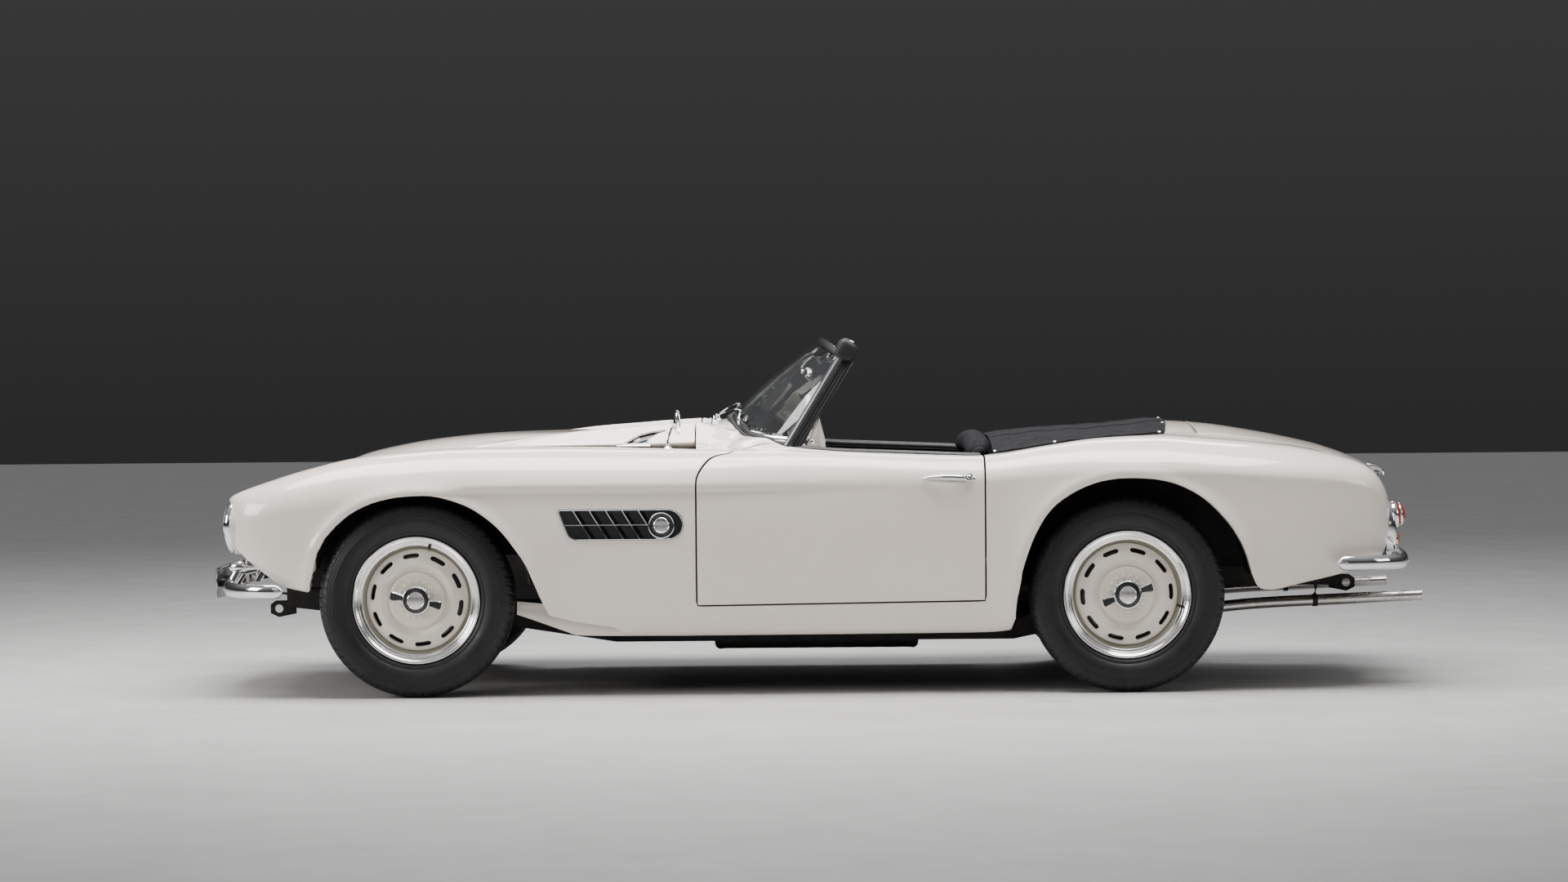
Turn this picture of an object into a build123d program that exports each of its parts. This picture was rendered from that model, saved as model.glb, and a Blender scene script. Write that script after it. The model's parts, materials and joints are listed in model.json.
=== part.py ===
# Two-seat open roadster of the late 1950s, in millimetres.
# Frame: +Z up, ground at z = 0, the car faces -X, so its left side is -Y. The origin is on the ground under the
# middle of the overall length. "w" below is always a half-width, a distance from the centre plane.
from build123d import *
import math
import os

os.makedirs("parts", exist_ok=True)

# ---------------------------------------------------------------- driving dimensions
LENGTH = 4380.0            # over plate and bumper
WHEELBASE = 2480.0
AXLE_F, AXLE_R = -1380.0, 1100.0
TRACK_F, TRACK_R = 1445.0, 1425.0
TYRE_R, TYRE_W = 342.0, 162.0
RIM_R, RIM_W = 218.0, 122.0
HUB_Z = TYRE_R
SKIN = 12.0                # thickness of a pressed panel with its flange
GAP = 6.0                  # shut line
DOOR_X0, DOOR_X1 = -391.0, 596.0
DOOR_IN = 700.0            # inner face of a door
DOOR_HINGE_X, DOOR_HINGE_W = -365.0, 800.0
ARCH_F = (-1376.0, 340.0, 384.0)   # x, z, radius of the front wheel opening
ARCH_R = (1130.0, 344.0, 410.0)
KINGPIN_W = 655.0
BONNET_X0, BONNET_X1 = -1985.0, -409.0
LID_X0 = 1374.0
TONNEAU_X0, TONNEAU_X1 = 540.0, 1248.0
EYE_R = 15.0               # hole of a towing eye

# ---------------------------------------------------------------- body sections
# x, crown w, crown z, widest w, widest z, bottom w, bottom z
SIDE = [
    (-2040, 600, 703, 703, 604, 640, 500),
    (-1990, 612, 731, 737, 640, 668, 462),
    (-1932, 622, 751, 762, 672, 700, 428),
    (-1830, 634, 782, 788, 700, 735, 372),
    (-1700, 640, 817, 807, 718, 760, 340),
    (-1520, 640, 848, 819, 723, 765, 320),
    (-1300, 632, 867, 823, 723, 765, 300),
    (-1080, 632, 871, 825, 723, 765, 290),
    (-914, 636, 870, 824, 723, 762, 284),
    (-831, 640, 869, 823, 723, 756, 207),
    (-620, 655, 865, 821, 723, 752, 207),
    (-400, 690, 858, 818, 723, 748, 207),
    (-280, 722, 852, 816, 723, 747, 207),
    (-60, 735, 853, 814, 723, 746, 208),
    (226, 736, 841, 812, 724, 746, 209),
    (416, 735, 833, 812, 727, 747, 210),
    (600, 728, 829, 815, 732, 750, 211),
    (690, 712, 839, 818, 738, 752, 213),
    (800, 690, 858, 821, 745, 755, 260),
    (950, 668, 880, 824, 752, 758, 300),
    (1100, 652, 891, 825, 756, 760, 310),
    (1300, 638, 892, 822, 755, 758, 320),
    (1500, 622, 875, 813, 750, 752, 340),
    (1600, 612, 863, 804, 745, 748, 349),
    (1760, 595, 838, 778, 728, 722, 384),
    (1880, 575, 812, 744, 700, 690, 411),
    (1960, 555, 778, 708, 668, 655, 430),
    (2005, 535, 730, 672, 630, 622, 444),
    (2030, 510, 675, 632, 590, 590, 462),
]
# x, inner-edge w, inner-edge z of a front wing (where the bonnet sits)
WING_IN = [(-2040, 500, 632), (-1985, 492, 662), (-1870, 490, 708), (-1700, 492, 777), (-1520, 494, 826), (-1300, 496, 854),
           (-1080, 499, 863), (-831, 503, 865), (-620, 507, 863), (-400, 512, 859)]
# the same of a rear wing (tonneau opening, then boot lid)
WING_RIN = [(600, 668, 829), (690, 640, 838), (800, 615, 853), (950, 590, 872), (1100, 560, 884), (1300, 492, 900),
            (1500, 486, 887), (1600, 484, 874), (1760, 480, 846), (1880, 476, 813), (1960, 472, 780), (2005, 466, 728), (2030, 460, 672)]
# x, centre z, ridge w, ridge z of the bonnet's top
BONNET = [(-1985, 682, 300, 678), (-1870, 748, 330, 738), (-1760, 793, 350, 778), (-1636, 838, 370, 815), (-1500, 868, 390, 842),
          (-1330, 894, 410, 862), (-1160, 908, 430, 880), (-900, 914, 440, 903), (-660, 920, 445, 923), (-409, 934, 450, 928)]


def at(table, x, col):
    """Value of a column of a table at x, on straight lines between its rows."""
    rows = table
    if x <= rows[0][0]:
        return rows[0][col]
    for a, b in zip(rows, rows[1:]):
        if x <= b[0]:
            return a[col] + (b[col] - a[col]) * (x - a[0]) / (b[0] - a[0])
    return rows[-1][col]


def outer_curve(x, n_up=5, n_low=6, grow=0.0):
    """(w, z) points of the body side from the crown down to the bottom edge: a quarter ellipse, then a fuller curve."""
    wc, zc, wk, zk, wb, zb = (at(SIDE, x, c) for c in range(1, 7))
    pts = []
    for i in range(n_up):
        t = math.radians(90 * i / n_up)
        pts.append((wc + (wk - wc) * math.sin(t), zk + (zc - zk) * math.cos(t)))
    for i in range(n_low + 1):
        s = i / n_low
        pts.append((wb + (wk - wb) * (1 - s ** 2.6) ** (1 / 2.6), zk - s * (zk - zb)))
    if grow:
        pts = offset(pts, -grow)
    return pts


def offset(pts, t):
    """An open (w, z) chain moved by t towards its right-hand side as it is walked, which is inwards for a side curve."""
    out = []
    for i, (w, z) in enumerate(pts):
        a, b = pts[max(i - 1, 0)], pts[min(i + 1, len(pts) - 1)]
        d = math.hypot(b[0] - a[0], b[1] - a[1])
        out.append((w + t * (b[1] - a[1]) / d, z - t * (b[0] - a[0]) / d))
    return out


def ring_x(x, pts, side):
    return Wire.make_polygon([Vector(x, side * w, z) for w, z in pts], close=True)


def ruled(wires):
    return Solid.make_loft(wires, ruled=True)


def slab_y(pts_xz, y0, y1):
    """A polygon in the XZ plane, from y0 to y1."""
    f = Face(Wire.make_polygon([Vector(x, y0, z) for x, z in pts_xz], close=True))
    return Solid.extrude(f, Vector(0, y1 - y0, 0))


def slab_z(pts_xy, z0, z1):
    f = Face(Wire.make_polygon([Vector(x, y, z0) for x, y in pts_xy], close=True))
    return Solid.extrude(f, Vector(0, 0, z1 - z0))


def slab_x(pts_yz, x0, x1):
    f = Face(Wire.make_polygon([Vector(x0, y, z) for y, z in pts_yz], close=True))
    return Solid.extrude(f, Vector(x1 - x0, 0, 0))


def block(x0, x1, y0, y1, z0, z1):
    return Pos((x0 + x1) / 2, (y0 + y1) / 2, (z0 + z1) / 2) * Box(abs(x1 - x0), abs(y1 - y0), abs(z1 - z0))


def rod(a, b, r):
    """A round bar from point a to point b."""
    a, b = Vector(*a), Vector(*b)
    return Solid.make_cylinder(r, (b - a).length, Plane(origin=a, z_dir=b - a))


def cyl_y(x, z, r, y0, y1):
    return Solid.make_cylinder(r, abs(y1 - y0), Plane(origin=(x, min(y0, y1), z), z_dir=(0, 1, 0)))


def turned(profile, y, x=0.0, z=0.0):
    """A (radius, y) profile turned about the Y axis, at a wheel centre."""
    f = Face(Wire.make_polygon([Vector(r, v, 0) for r, v in profile], close=True))
    return Pos(x, y, z) * Solid.revolve(f, 360, Axis.Y)


def solids_of(shape):
    return list(shape.solids())


def save(name, *shapes):
    found = [s for sh in shapes for s in solids_of(sh)]
    big = max(s.volume for s in found)
    found = [s for s in found if s.volume > 1e-3 * big]
    for s in found:
        s.label = name
    export_step(Compound(children=found) if len(found) > 1 else found[0], f"parts/{name}.step")
    return found


# ---------------------------------------------------------------- cutters
def door_outline(gap):
    """XZ outline of the door opening, grown by gap: upright front edge, swept front corner, top open."""
    corner = []
    for i in range(9):
        t = math.radians(90 * i / 8)
        corner.append((DOOR_X0 + 112 * (1 - math.cos(t)) - gap * math.cos(t), 735 + 118 * math.sin(t) + gap * math.sin(t)))
    return ([(DOOR_X1 + gap, 337 - gap), (DOOR_X0 - gap, 326 - gap)] + corner)


def door_region(gap, top=900.0):
    """Outline closed above the door's top edge."""
    pts = door_outline(gap)
    return pts + [(pts[-1][0], top), (DOOR_X1 + gap, top)]


# ---------------------------------------------------------------- front wings
def wing_section(x, inner_table, t=SKIN):
    wi, zi = at(inner_table, x, 1), at(inner_table, x, 2)
    wc, zc = at(SIDE, x, 1), at(SIDE, x, 2)
    inner = []
    for s in (0.0, 0.33, 0.66):
        k = s * s * (3 - 2 * s)
        inner.append((wi + (wc - wi) * s, zi + (zc - zi) * (1 - (1 - s) ** 2)))
    outer = inner + outer_curve(x)
    return outer + offset(outer, t)[::-1]


def panel(stations, table, side):
    return ruled([ring_x(x, wing_section(x, table), side) for x in stations])


def arch_cut(arch, side, w0=690.0, w1=900.0):
    x, z, r = arch
    return cyl_y(x, z, r, side * w0, side * w1)


WINGS = {}
for name, side in (("left", -1), ("right", 1)):
    st = [-2040, -1990, -1932, -1830, -1700, -1520, -1300, -1080, -914, -831, -620, -402.5]
    wing = panel(st, WING_IN, side)
    cut = arch_cut(ARCH_F, side, 600, 900)
    x, z, r = ARCH_F
    tail_leg = slab_y([(x, z + 10), (x + 383, z + 10), (x + 466, z - 55), (x + 470, 180), (x - 300, 180), (x - 388, 300), (x - 386, z + 10)], side * 600, side * 900)
    wing = wing - cut - tail_leg
    # the piece of the wing that runs back over the door's swept front corner
    top = ruled([ring_x(xx, wing_section(xx, [(-402.5, 512, 860), (-62, 690, 855)]), side) for xx in (-402.5, -280, -66)])
    top = top - slab_y(door_region(GAP), side * 400, side * 900) - slab_y([(-403, 100), (0, 100), (0, 730), (-403, 730)], side * 400, side * 900)
    top = top - slab_y([(-300, 700), (0, 700), (0, 900), (-300, 900)], side * 722, side * 900)
    # cut away what lies inside the cowl's own edge
    top = top - slab_z([(-500, side * 0), (-500, side * 640), (-60, side * 688), (0, side * 688), (0, 0)], 700, 1000)
    # the wing's front end, behind the headlamp
    front = [(at(WING_IN, -2036, 1), 500)] + wing_section(-2036, WING_IN)[:14]
    cap = slab_x([(side * w, z) for w, z in front], -2040, -2032)
    wing = Solid.fuse(*solids_of(wing), *solids_of(top), cap)
    WINGS[name] = wing
    save(f"front_wing_{name}", wing)

# ---------------------------------------------------------------- doors
DOORS = {}
for name, side in (("left", -1), ("right", 1)):
    secs = []
    for x in (-400, -280, -60, 226, 416, 604):
        pts = outer_curve(x)
        low = [p for p in pts if p[1] > 300]
        zc = at(SIDE, x, 2)
        ring = [(DOOR_IN, zc)] + pts[:-1] + [(DOOR_IN, 225)]
        secs.append(ring_x(x, ring, side))
    shell = ruled(secs)
    door = shell & slab_y(door_region(0.0), side * 600, side * 900)
    # the rear edge is an arc about the hinge, so the inner corner passes the rear wing as it swings
    door = door & Solid.make_cylinder(DOOR_X1 - DOOR_HINGE_X, 900, Plane(origin=(DOOR_HINGE_X, side * DOOR_HINGE_W, 100)))
    # hollow for the wound-down glass
    DOORS[name] = door
    save(f"door_{name}", door)
    hx = 482.0
    w = at(SIDE, hx, 3)
    handle = rod((hx - 90, side * (w + 24), 750), (hx + 70, side * (w + 26), 756), 8)
    feet = [block(hx + o - 8, hx + o + 8, side * (w - 6 + 8), side * (w + 24), 746, 760) for o in (-60, 60)]
    handle = Solid.fuse(handle, *[s for f in feet for s in f.solids()])
    handle = handle - door
    save(f"door_handle_{name}", handle)

# ---------------------------------------------------------------- bonnet: hinged at its front edge, opens forward
def bonnet_section(x, t=SKIN):
    z0, wr, zr = (at(BONNET, x, c) for c in (1, 2, 3))
    we, ze = at(WING_IN, x, 1) - GAP, at(WING_IN, x, 2)
    half = [(0.0, z0), (wr * 0.5, z0 - 0.18 * (z0 - zr) - 1), (wr * 0.8, min(z0, zr) - 2), (wr, zr), (we, ze)]
    top = [(-w, z) for w, z in half[::-1]] + half[1:]
    under = [(w * (1 - 2 * t / 1000), z - t) for w, z in top]
    if x == BONNET_X0:      # rounded over at its hinged edge
        top, under = [(w, z - 3.5) for w, z in top], [(w, z + 3.5) for w, z in under]
    return top + under[::-1]


bonnet_st = [BONNET_X0, BONNET_X0 + 5, -1870, -1760, -1636, -1500, -1330, -1160, -900, -660, BONNET_X1]
bonnet = ruled([Wire.make_polygon([Vector(x, w, z) for w, z in bonnet_section(x)], close=True) for x in bonnet_st])
save("bonnet", bonnet)


# ---------------------------------------------------------------- nose panel with the grille mouth
def nose_section(w, t=SKIN):
    """(x, z) chain at half-width w, from the bonnet's front edge over the nose and under the apron."""
    k = (w / 480.0) ** 2
    back = 62 * k
    zf = 682 - 26 * k
    pts = [(BONNET_X0 - GAP, zf - 3), (-2040 + back * 0.5, zf - 34), (-2088 + back, 622 - 10 * k), (-2112 + back, 590), (-2108 + back, 520),
           (-2095 + back, 440), (-2062 + back, 392), (-1990 + back * 0.6, 352), (-1900, 338)]
    inn = []
    for i, (x, z) in enumerate(pts):
        a, b = pts[max(i - 1, 0)], pts[min(i + 1, len(pts) - 1)]
        d = math.hypot(b[0] - a[0], b[1] - a[1])
        inn.append((x - t * (b[1] - a[1]) / d, z + t * (b[0] - a[0]) / d))
    return pts + inn[::-1]


nose = ruled([Wire.make_polygon([Vector(x, y, z) for x, z in nose_section(abs(y))], close=True) for y in (-484, -340, -180, 0, 180, 340, 484)])
GRILLE = (-430, 430, 446, 580)   # y0, y1, z0, z1 of the mouth
mouth = block(-2200, -1995, GRILLE[0], GRILLE[1], GRILLE[2], GRILLE[3])
nose = nose - mouth
save("nose_panel", nose)

# grille: a frame and upright bars in the mouth
gx0, gx1 = -2078.0, -2048.0
gy0, gy1, gz0, gz1 = GRILLE[0] + 4, GRILLE[1] - 4, GRILLE[2] + 4, GRILLE[3] - 4
# the mouth is bowed, so the grille is three bowed rails joined by bars
def bowed(y):
    return -2062 + 62 * (abs(y) / 480) ** 2


rails = []
ys = [-420, -280, -140, 0, 140, 280, 420]
for z in (gz0 + 4, (gz0 + gz1) / 2, gz1 - 4):
    for a, b in zip(ys, ys[1:]):
        rails.append(rod((bowed(a), a, z), (bowed(b), b, z), 6))
for i in range(15):
    y = -392 + 56 * i
    rails.append(block(bowed(y) - 5, bowed(y) + 5, y - 4, y + 4, gz0 + 1, gz1 - 1).solid())
save("grille", Solid.fuse(*rails))

# ---------------------------------------------------------------- cowl (scuttle) between bonnet and windscreen
# windscreen base and top: (x, w, z), from the centre plane to the corner
SCREEN_BASE = [(-300, 0, 962), (-293, 200, 952), (-270, 350, 925), (-232, 500, 897), (-165, 590, 880), (-72, 655, 872)]
SCREEN_TOP = [(40, 0, 1238), (44, 170, 1234), (56, 300, 1224), (76, 430, 1207), (98, 520, 1192), (122, 585, 1176)]


def cowl_section(x, t=SKIN):
    k = (x + 403) / 343.0
    z0 = 936 + 48 * k
    half = [(0, z0), (220, z0 - 8 - 4 * k), (400, z0 - 34 - 12 * k), (520, z0 - 66 - 28 * k), (640, 868 - 4 * k), (684, 862 - 5 * k)]
    top = [(-w, z) for w, z in half[::-1]] + half[1:]
    return top + [(w, z - t) for w, z in top[::-1]]


cowl = ruled([Wire.make_polygon([Vector(x, w, z) for w, z in cowl_section(x)], close=True) for x in (-402, -300, -200, -66)])
base_plan = [(x, -w) for x, w, z in SCREEN_BASE[::-1]] + [(x, w) for x, w, z in SCREEN_BASE[1:]]
grown = [(x - 4, y) for x, y in base_plan]
cowl = cowl - slab_z([(200, -640)] + [(-66, -650)] + grown[1:-1] + [(-66, 650), (200, 640)], 600, 1200)
# stay clear of the wings' inner edge
wing_plan = [(-500, 519), (-402.5, 519), (-402.5, 640), (-60, 688), (0, 688)]
for side in (-1, 1):
    cowl = cowl - slab_z([(-500, side * 519), (-396, side * 519), (-396, side * 636), (-60, side * 684), (-60, side * 900), (-500, side * 900)], 600, 1200)
save("cowl", cowl)


# ---------------------------------------------------------------- windscreen
def screen(s_index, t):
    a, b = SCREEN_BASE[s_index], SCREEN_TOP[s_index]
    return tuple(a[i] + (b[i] - a[i]) * t for i in range(3))


def screen_ring(t, thick, depth=0.0, s0=0):
    """A closed plan ring of the screen at share t of its height, thick mm thick, depth behind the outer face."""
    out = [screen(i, t) for i in range(s0, len(SCREEN_BASE))]
    pts = [(x, -w, z) for x, w, z in out[::-1]] + [(x, w, z) for x, w, z in (out[1:] if s0 == 0 else out)]
    return pts


def thick_patch(rows, vec):
    """A closed solid over a grid of points, thickened along vec(i, j), from triangles."""
    n, m = len(rows), len(rows[0])
    A = [[Vector(*rows[i][j]) for j in range(m)] for i in range(n)]
    B = [[A[i][j] + Vector(*vec(i, j)) for j in range(m)] for i in range(n)]
    faces = []

    def quad(a, b, c, d):
        faces.append(Face(Wire.make_polygon([a, b, c], close=True)))
        faces.append(Face(Wire.make_polygon([a, c, d], close=True)))

    for i in range(n - 1):
        for j in range(m - 1):
            quad(A[i][j], A[i + 1][j], A[i + 1][j + 1], A[i][j + 1])
            quad(B[i][j], B[i][j + 1], B[i + 1][j + 1], B[i + 1][j])
    for i in range(n - 1):
        for j in (0, m - 1):
            quad(A[i][j], A[i + 1][j], B[i + 1][j], B[i][j])
    for j in range(m - 1):
        for i in (0, n - 1):
            quad(A[i][j], A[i][j + 1], B[i][j + 1], B[i][j])
    return Solid(Shell(faces))


def plan_normal(j, m, t):
    """Unit vector into the cabin at column j of the mirrored screen."""
    ring = screen_ring(t, 0)
    a, b = ring[max(j - 1, 0)], ring[min(j + 1, m - 1)]
    dx, dy = b[0] - a[0], b[1] - a[1]
    d = math.hypot(dx, dy)
    n = (dy / d, -dx / d)
    if n[0] < 0 and abs(n[0]) > 0.3:
        n = (-n[0], -n[1])
    return n


M = 2 * len(SCREEN_BASE) - 1
glass_rows = [screen_ring(t, 0) for t in (0.045, 0.5, 0.95)]
glass = thick_patch(glass_rows, lambda i, j: tuple(6 * c for c in plan_normal(j, M, 0.5)) + (0,))
frame_bits = []
frame_bits.append(thick_patch([screen_ring(0.955, 0), screen_ring(1.03, 0)], lambda i, j: tuple(26 * c for c in plan_normal(j, M, 0.5)) + (0,)))
frame_bits.append(thick_patch([screen_ring(0.006, 0), screen_ring(0.04, 0)], lambda i, j: tuple(16 * c for c in plan_normal(j, M, 0.5)) + (0,)))
for side in (-1, 1):
    bx, bw, bz = SCREEN_BASE[-1]
    tx, tw, tz = SCREEN_TOP[-1]
    lo = [(bx + 4, side * (bw + 4)), (bx + 46, side * (bw + 1)), (bx + 46, side * (bw - 25)), (bx + 4, side * (bw - 22))]
    hi = [(tx + 4, side * (tw + 4)), (tx + 40, side * (tw + 1)), (tx + 40, side * (tw - 25)), (tx + 4, side * (tw - 22))]
    frame_bits.append(ruled([Wire.make_polygon([Vector(x, y, bz - 6) for x, y in lo], close=True),
                             Wire.make_polygon([Vector(x, y, tz + 8) for x, y in hi], close=True)]))
frame = Solid.fuse(*[s for b in frame_bits for s in b.solids()])
glass = glass - frame
frame = frame - cowl - WINGS["left"] - WINGS["right"]
save("windscreen_frame", frame)
save("windscreen_glass", glass - cowl)

# ---------------------------------------------------------------- dashboard
dash_plan = [(x + 26, -w * 0.97) for x, w, z in SCREEN_BASE[::-1]] + [(x + 26, w * 0.97) for x, w, z in SCREEN_BASE[1:]]
dash_plan = [(-40, -636)] + [(x, y) for x, y in dash_plan if abs(y) < 600] + [(-40, 636)]
dash = slab_z(dash_plan, 690, 868)
dash_face = slab_z([(-40, -636), (-18, -600), (-6, 0), (-18, 600), (-40, 636)], 690, 868)
dash = Solid.fuse(dash.solid(), dash_face.solid())
dash = dash - block(-400, -110, -600, 600, 600, 840)
TILT = math.radians(12)
SW = Vector(32, -360, 845)                           # middle of the steering wheel
ax = Vector(math.cos(TILT), 0, math.sin(TILT))       # along the column, towards the driver
dash = dash - rod(tuple(SW + ax * 20), tuple(SW - ax * 400), 26)
dash = dash - frame
save("dashboard", dash)

# ---------------------------------------------------------------- rear wings
RWINGS = {}
for name, side in (("left", -1), ("right", 1)):
    st = [602, 690, 800, 950, 1100, 1300, 1500, 1600, 1760, 1880, 1960, 2005, 2030]
    wing = panel(st, WING_RIN, side)
    x, z, r = ARCH_R
    wing = wing - arch_cut(ARCH_R, side, 600, 900)
    wing = wing - slab_y([(x - 405, z + 5), (x - 430, 200), (x + 440, 200), (x + 445, z - 10), (x + 407, z + 5)], side * 600, side * 900)
    rear = [(at(WING_RIN, 2026, 1), 462)] + wing_section(2026, WING_RIN)[:14]
    wing = Solid.fuse(*solids_of(wing), slab_x([(side * w, z) for w, z in rear], 2022, 2030))
    RWINGS[name] = wing
    save(f"rear_wing_{name}", wing)

# ---------------------------------------------------------------- rear deck, boot lid and tail panel
# x, z of the centre line over the boot and down the tail
DECK = [(1254, 937), (1364, 929.3), (LID_X0, 928.5), (1467, 920), (1587, 901), (1707, 878), (1827, 850), (1900, 828), (1960, 802),
        (2010, 768), (2050, 722), (2080, 668), (2094, 620)]
TAIL = [(2095, 613), (2103, 560), (2100, 500), (2088, 455), (2060, 425), (2005, 408), (1962, 402)]


def deck_chain(table, w, t, i0=0, i1=None):
    k = (w / 480.0) ** 2
    rows = table[i0:i1]
    pts = []
    for x, z in rows:
        back = 62 * max(0.0, min(1.0, (x - 1850) / 240)) * k
        pts.append((x - back, z - 30 * k * max(0.0, 1 - max(0.0, (x - 1950)) / 130)))
    inn = []
    for i, (x, z) in enumerate(pts):
        a, b = pts[max(i - 1, 0)], pts[min(i + 1, len(pts) - 1)]
        d = math.hypot(b[0] - a[0], b[1] - a[1])
        inn.append((x + t * (b[1] - a[1]) / d, z - t * (b[0] - a[0]) / d))
    return pts + inn[::-1]


LID_YS = (-470, -320, -160, 0, 160, 320, 470)
lid = ruled([Wire.make_polygon([Vector(x, y, z) for x, z in deck_chain(DECK, abs(y), SKIN, 2)], close=True) for y in LID_YS])
lid = lid - slab_y([(1900, 0), (2200, 0), (2200, 1100), (1900, 1100)], -900, -468) - slab_y([(1900, 0), (2200, 0), (2200, 1100), (1900, 1100)], 468, 900)
# trim the lid to its edge inside the rear wings
edge = [(1370, 484), (1500, 480), (1600, 478), (1760, 474), (1880, 470), (1960, 465), (2005, 459), (2030, 453), (2120, 450)]
lid_plan = [(x, -w) for x, w in edge] + [(x, w) for x, w in edge[::-1]]
lid = lid & slab_z(lid_plan, 300, 1100)
save("boot_lid", lid)
deck = ruled([Wire.make_polygon([Vector(x, y, z) for x, z in deck_chain(DECK, abs(y), SKIN, 0, 2)], close=True) for y in (-478, -320, -160, 0, 160, 320, 478)])
save("rear_deck", deck)
tail = ruled([Wire.make_polygon([Vector(x, y, z) for x, z in deck_chain(TAIL, abs(y), SKIN)], close=True) for y in (-470, -320, -160, 0, 160, 320, 470)])
tail = tail - RWINGS["left"] - RWINGS["right"]
save("tail_panel", tail)

# ---------------------------------------------------------------- tonneau cover over the folded top
# x, edge w, edge z, middle z
TONNEAU = [(540, 560, 848, 868), (560, 640, 850, 905), (600, 655, 840, 912), (660, 640, 846, 898), (800, 604, 862, 915), (950, 578, 882, 925),
           (1100, 548, 892, 935), (1200, 510, 904, 948), (1248, 488, 908, 950)]
ton = []
for x, we, ze, zm in TONNEAU:
    half = [(0, zm), (we * 0.5, zm - 0.12 * (zm - ze)), (we * 0.8, zm - 0.4 * (zm - ze)), (we, ze)]
    top = [(-w, z) for w, z in half[::-1]] + half[1:]
    base = [(we, 818), (-we, 818)] if x < 700 else [(we - 18, 818), (-we + 18, 818)]
    ton.append(Wire.make_polygon([Vector(x, w, z) for w, z in top + base], close=True))
tonneau = ruled(ton)
tonneau = tonneau - RWINGS["left"] - RWINGS["right"]
tonneau = Solid(max(tonneau.solids(), key=lambda s: s.volume).wrapped)
save("tonneau_cover", tonneau)

# ---------------------------------------------------------------- sills, floor, bulkheads
sill_pts = [(620, 205), (742, 205), (766, 232), (786, 280), (792, 318), (620, 318)]
sills = [ruled([ring_x(x, sill_pts, side) for x in (-395, 596)]) for side in (-1, 1)]
sills = [s - WINGS[n] - RWINGS[n] for s, n in zip(sills, ("left", "right"))]
save("sills", *sills)
floor = block(-640, 690, -615, 615, 232, 242)
tunnel_cut = block(-640, 690, -125, 125, 200, 300)
tunnel = slab_x([(-125, 232), (-125, 380), (-85, 420), (85, 420), (125, 380), (125, 232), (115, 232), (115, 376), (81, 410), (-81, 410), (-115, 376), (-115, 232)], -640, 690)
floor_pan = Solid.fuse(*solids_of(floor - block(-700, 700, -124, 124, 200, 300)), tunnel)
toe = slab_y([(-640, 242), (-632, 242), (-436, 470), (-436, 484), (-640, 256)], -615, 615) - slab_x([(-126, 200), (-126, 381), (-85, 421), (85, 421), (126, 381), (126, 200)], -700, 0)
save("floor_pan", floor_pan, )
save("firewall", Solid.fuse(block(-436, -426, -640, 640, 486, 846).solid(), *solids_of(toe)) - slab_x([(-126, 200), (-126, 381), (-85, 421), (85, 421), (126, 381), (126, 200)], -700, 0) - floor_pan)
bulk = block(690.5, 700, -610, 610, 232, 812) - block(680, 710, -60, 60, 200, 420) - RWINGS["left"] - RWINGS["right"]
save("rear_bulkhead", bulk)
boot_floor = Solid.fuse(block(701, 1925, -480, 480, 500, 510).solid(), block(1935 - 10, 1935, -440, 440, 452, 510).solid())
save("boot_floor", boot_floor)

# wheel housings: half rings above the wheels
def housing(x, z, r, side, w0, w1, a0, a1):
    ring = cyl_y(x, z, r + 8, side * w0, side * w1) - cyl_y(x, z, r, side * (w0 - 5), side * (w1 + 5))
    pts = [(x, z)]
    for i in range(9):
        a = math.radians(a0 + (a1 - a0) * i / 8)
        pts.append((x + 2.2 * r * math.cos(a), z + 2.2 * r * math.sin(a)))
    return ring & slab_y(pts, side * (w0 - 10), side * (w1 + 10))


front_h = [housing(ARCH_F[0], ARCH_F[1], 392, s, 470, 794, 8, 165) for s in (-1, 1)]
rear_h = [housing(ARCH_R[0], ARCH_R[1], 414, s, 486, 796, 8, 172) for s in (-1, 1)]
front_h = [h - WINGS[n] for h, n in zip(front_h, ("left", "right"))]
rear_h = [h - RWINGS[n] for h, n in zip(rear_h, ("left", "right"))]
bulk_clear = block(686, 705, -900, 900, 200, 900)
rear_h = [h - bulk_clear for h in rear_h]


def inner_wall(x, z, r, side, w0, w1, z0, xs=(-2000, 3000)):
    """The upright inner side of a housing: the part of a disc above z0."""
    disc = cyl_y(x, z, r, side * w0, side * w1)
    return disc & block(xs[0], xs[1], side * 400, side * 900, z0, 1000)


front_h = [Solid.fuse(*solids_of(h), *solids_of(inner_wall(ARCH_F[0], ARCH_F[1], 396, s, 470, 478, 484))) for h, s in zip(front_h, (-1, 1))]
rear_h = [Solid.fuse(*solids_of(h), *solids_of(inner_wall(ARCH_R[0], ARCH_R[1], 418, s, 486, 494, 456, (706, 3000)))) for h, s in zip(rear_h, (-1, 1))]
save("front_wheel_housings", *front_h)
save("rear_wheel_housings", *rear_h)

# ---------------------------------------------------------------- frame, engine, driveline
# side view of a rail: top edge forwards to back, then the bottom edge back again
RAIL = [(-1880, 372), (-1560, 330), (-1250, 318), (-700, 231), (720, 231), (800, 262), (930, 452), (1300, 452), (1420, 420), (1880, 420),
        (1880, 350), (1440, 350), (1310, 385), (960, 385), (840, 190), (720, 165), (-700, 165), (-1250, 252), (-1560, 262), (-1880, 300)]
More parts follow.
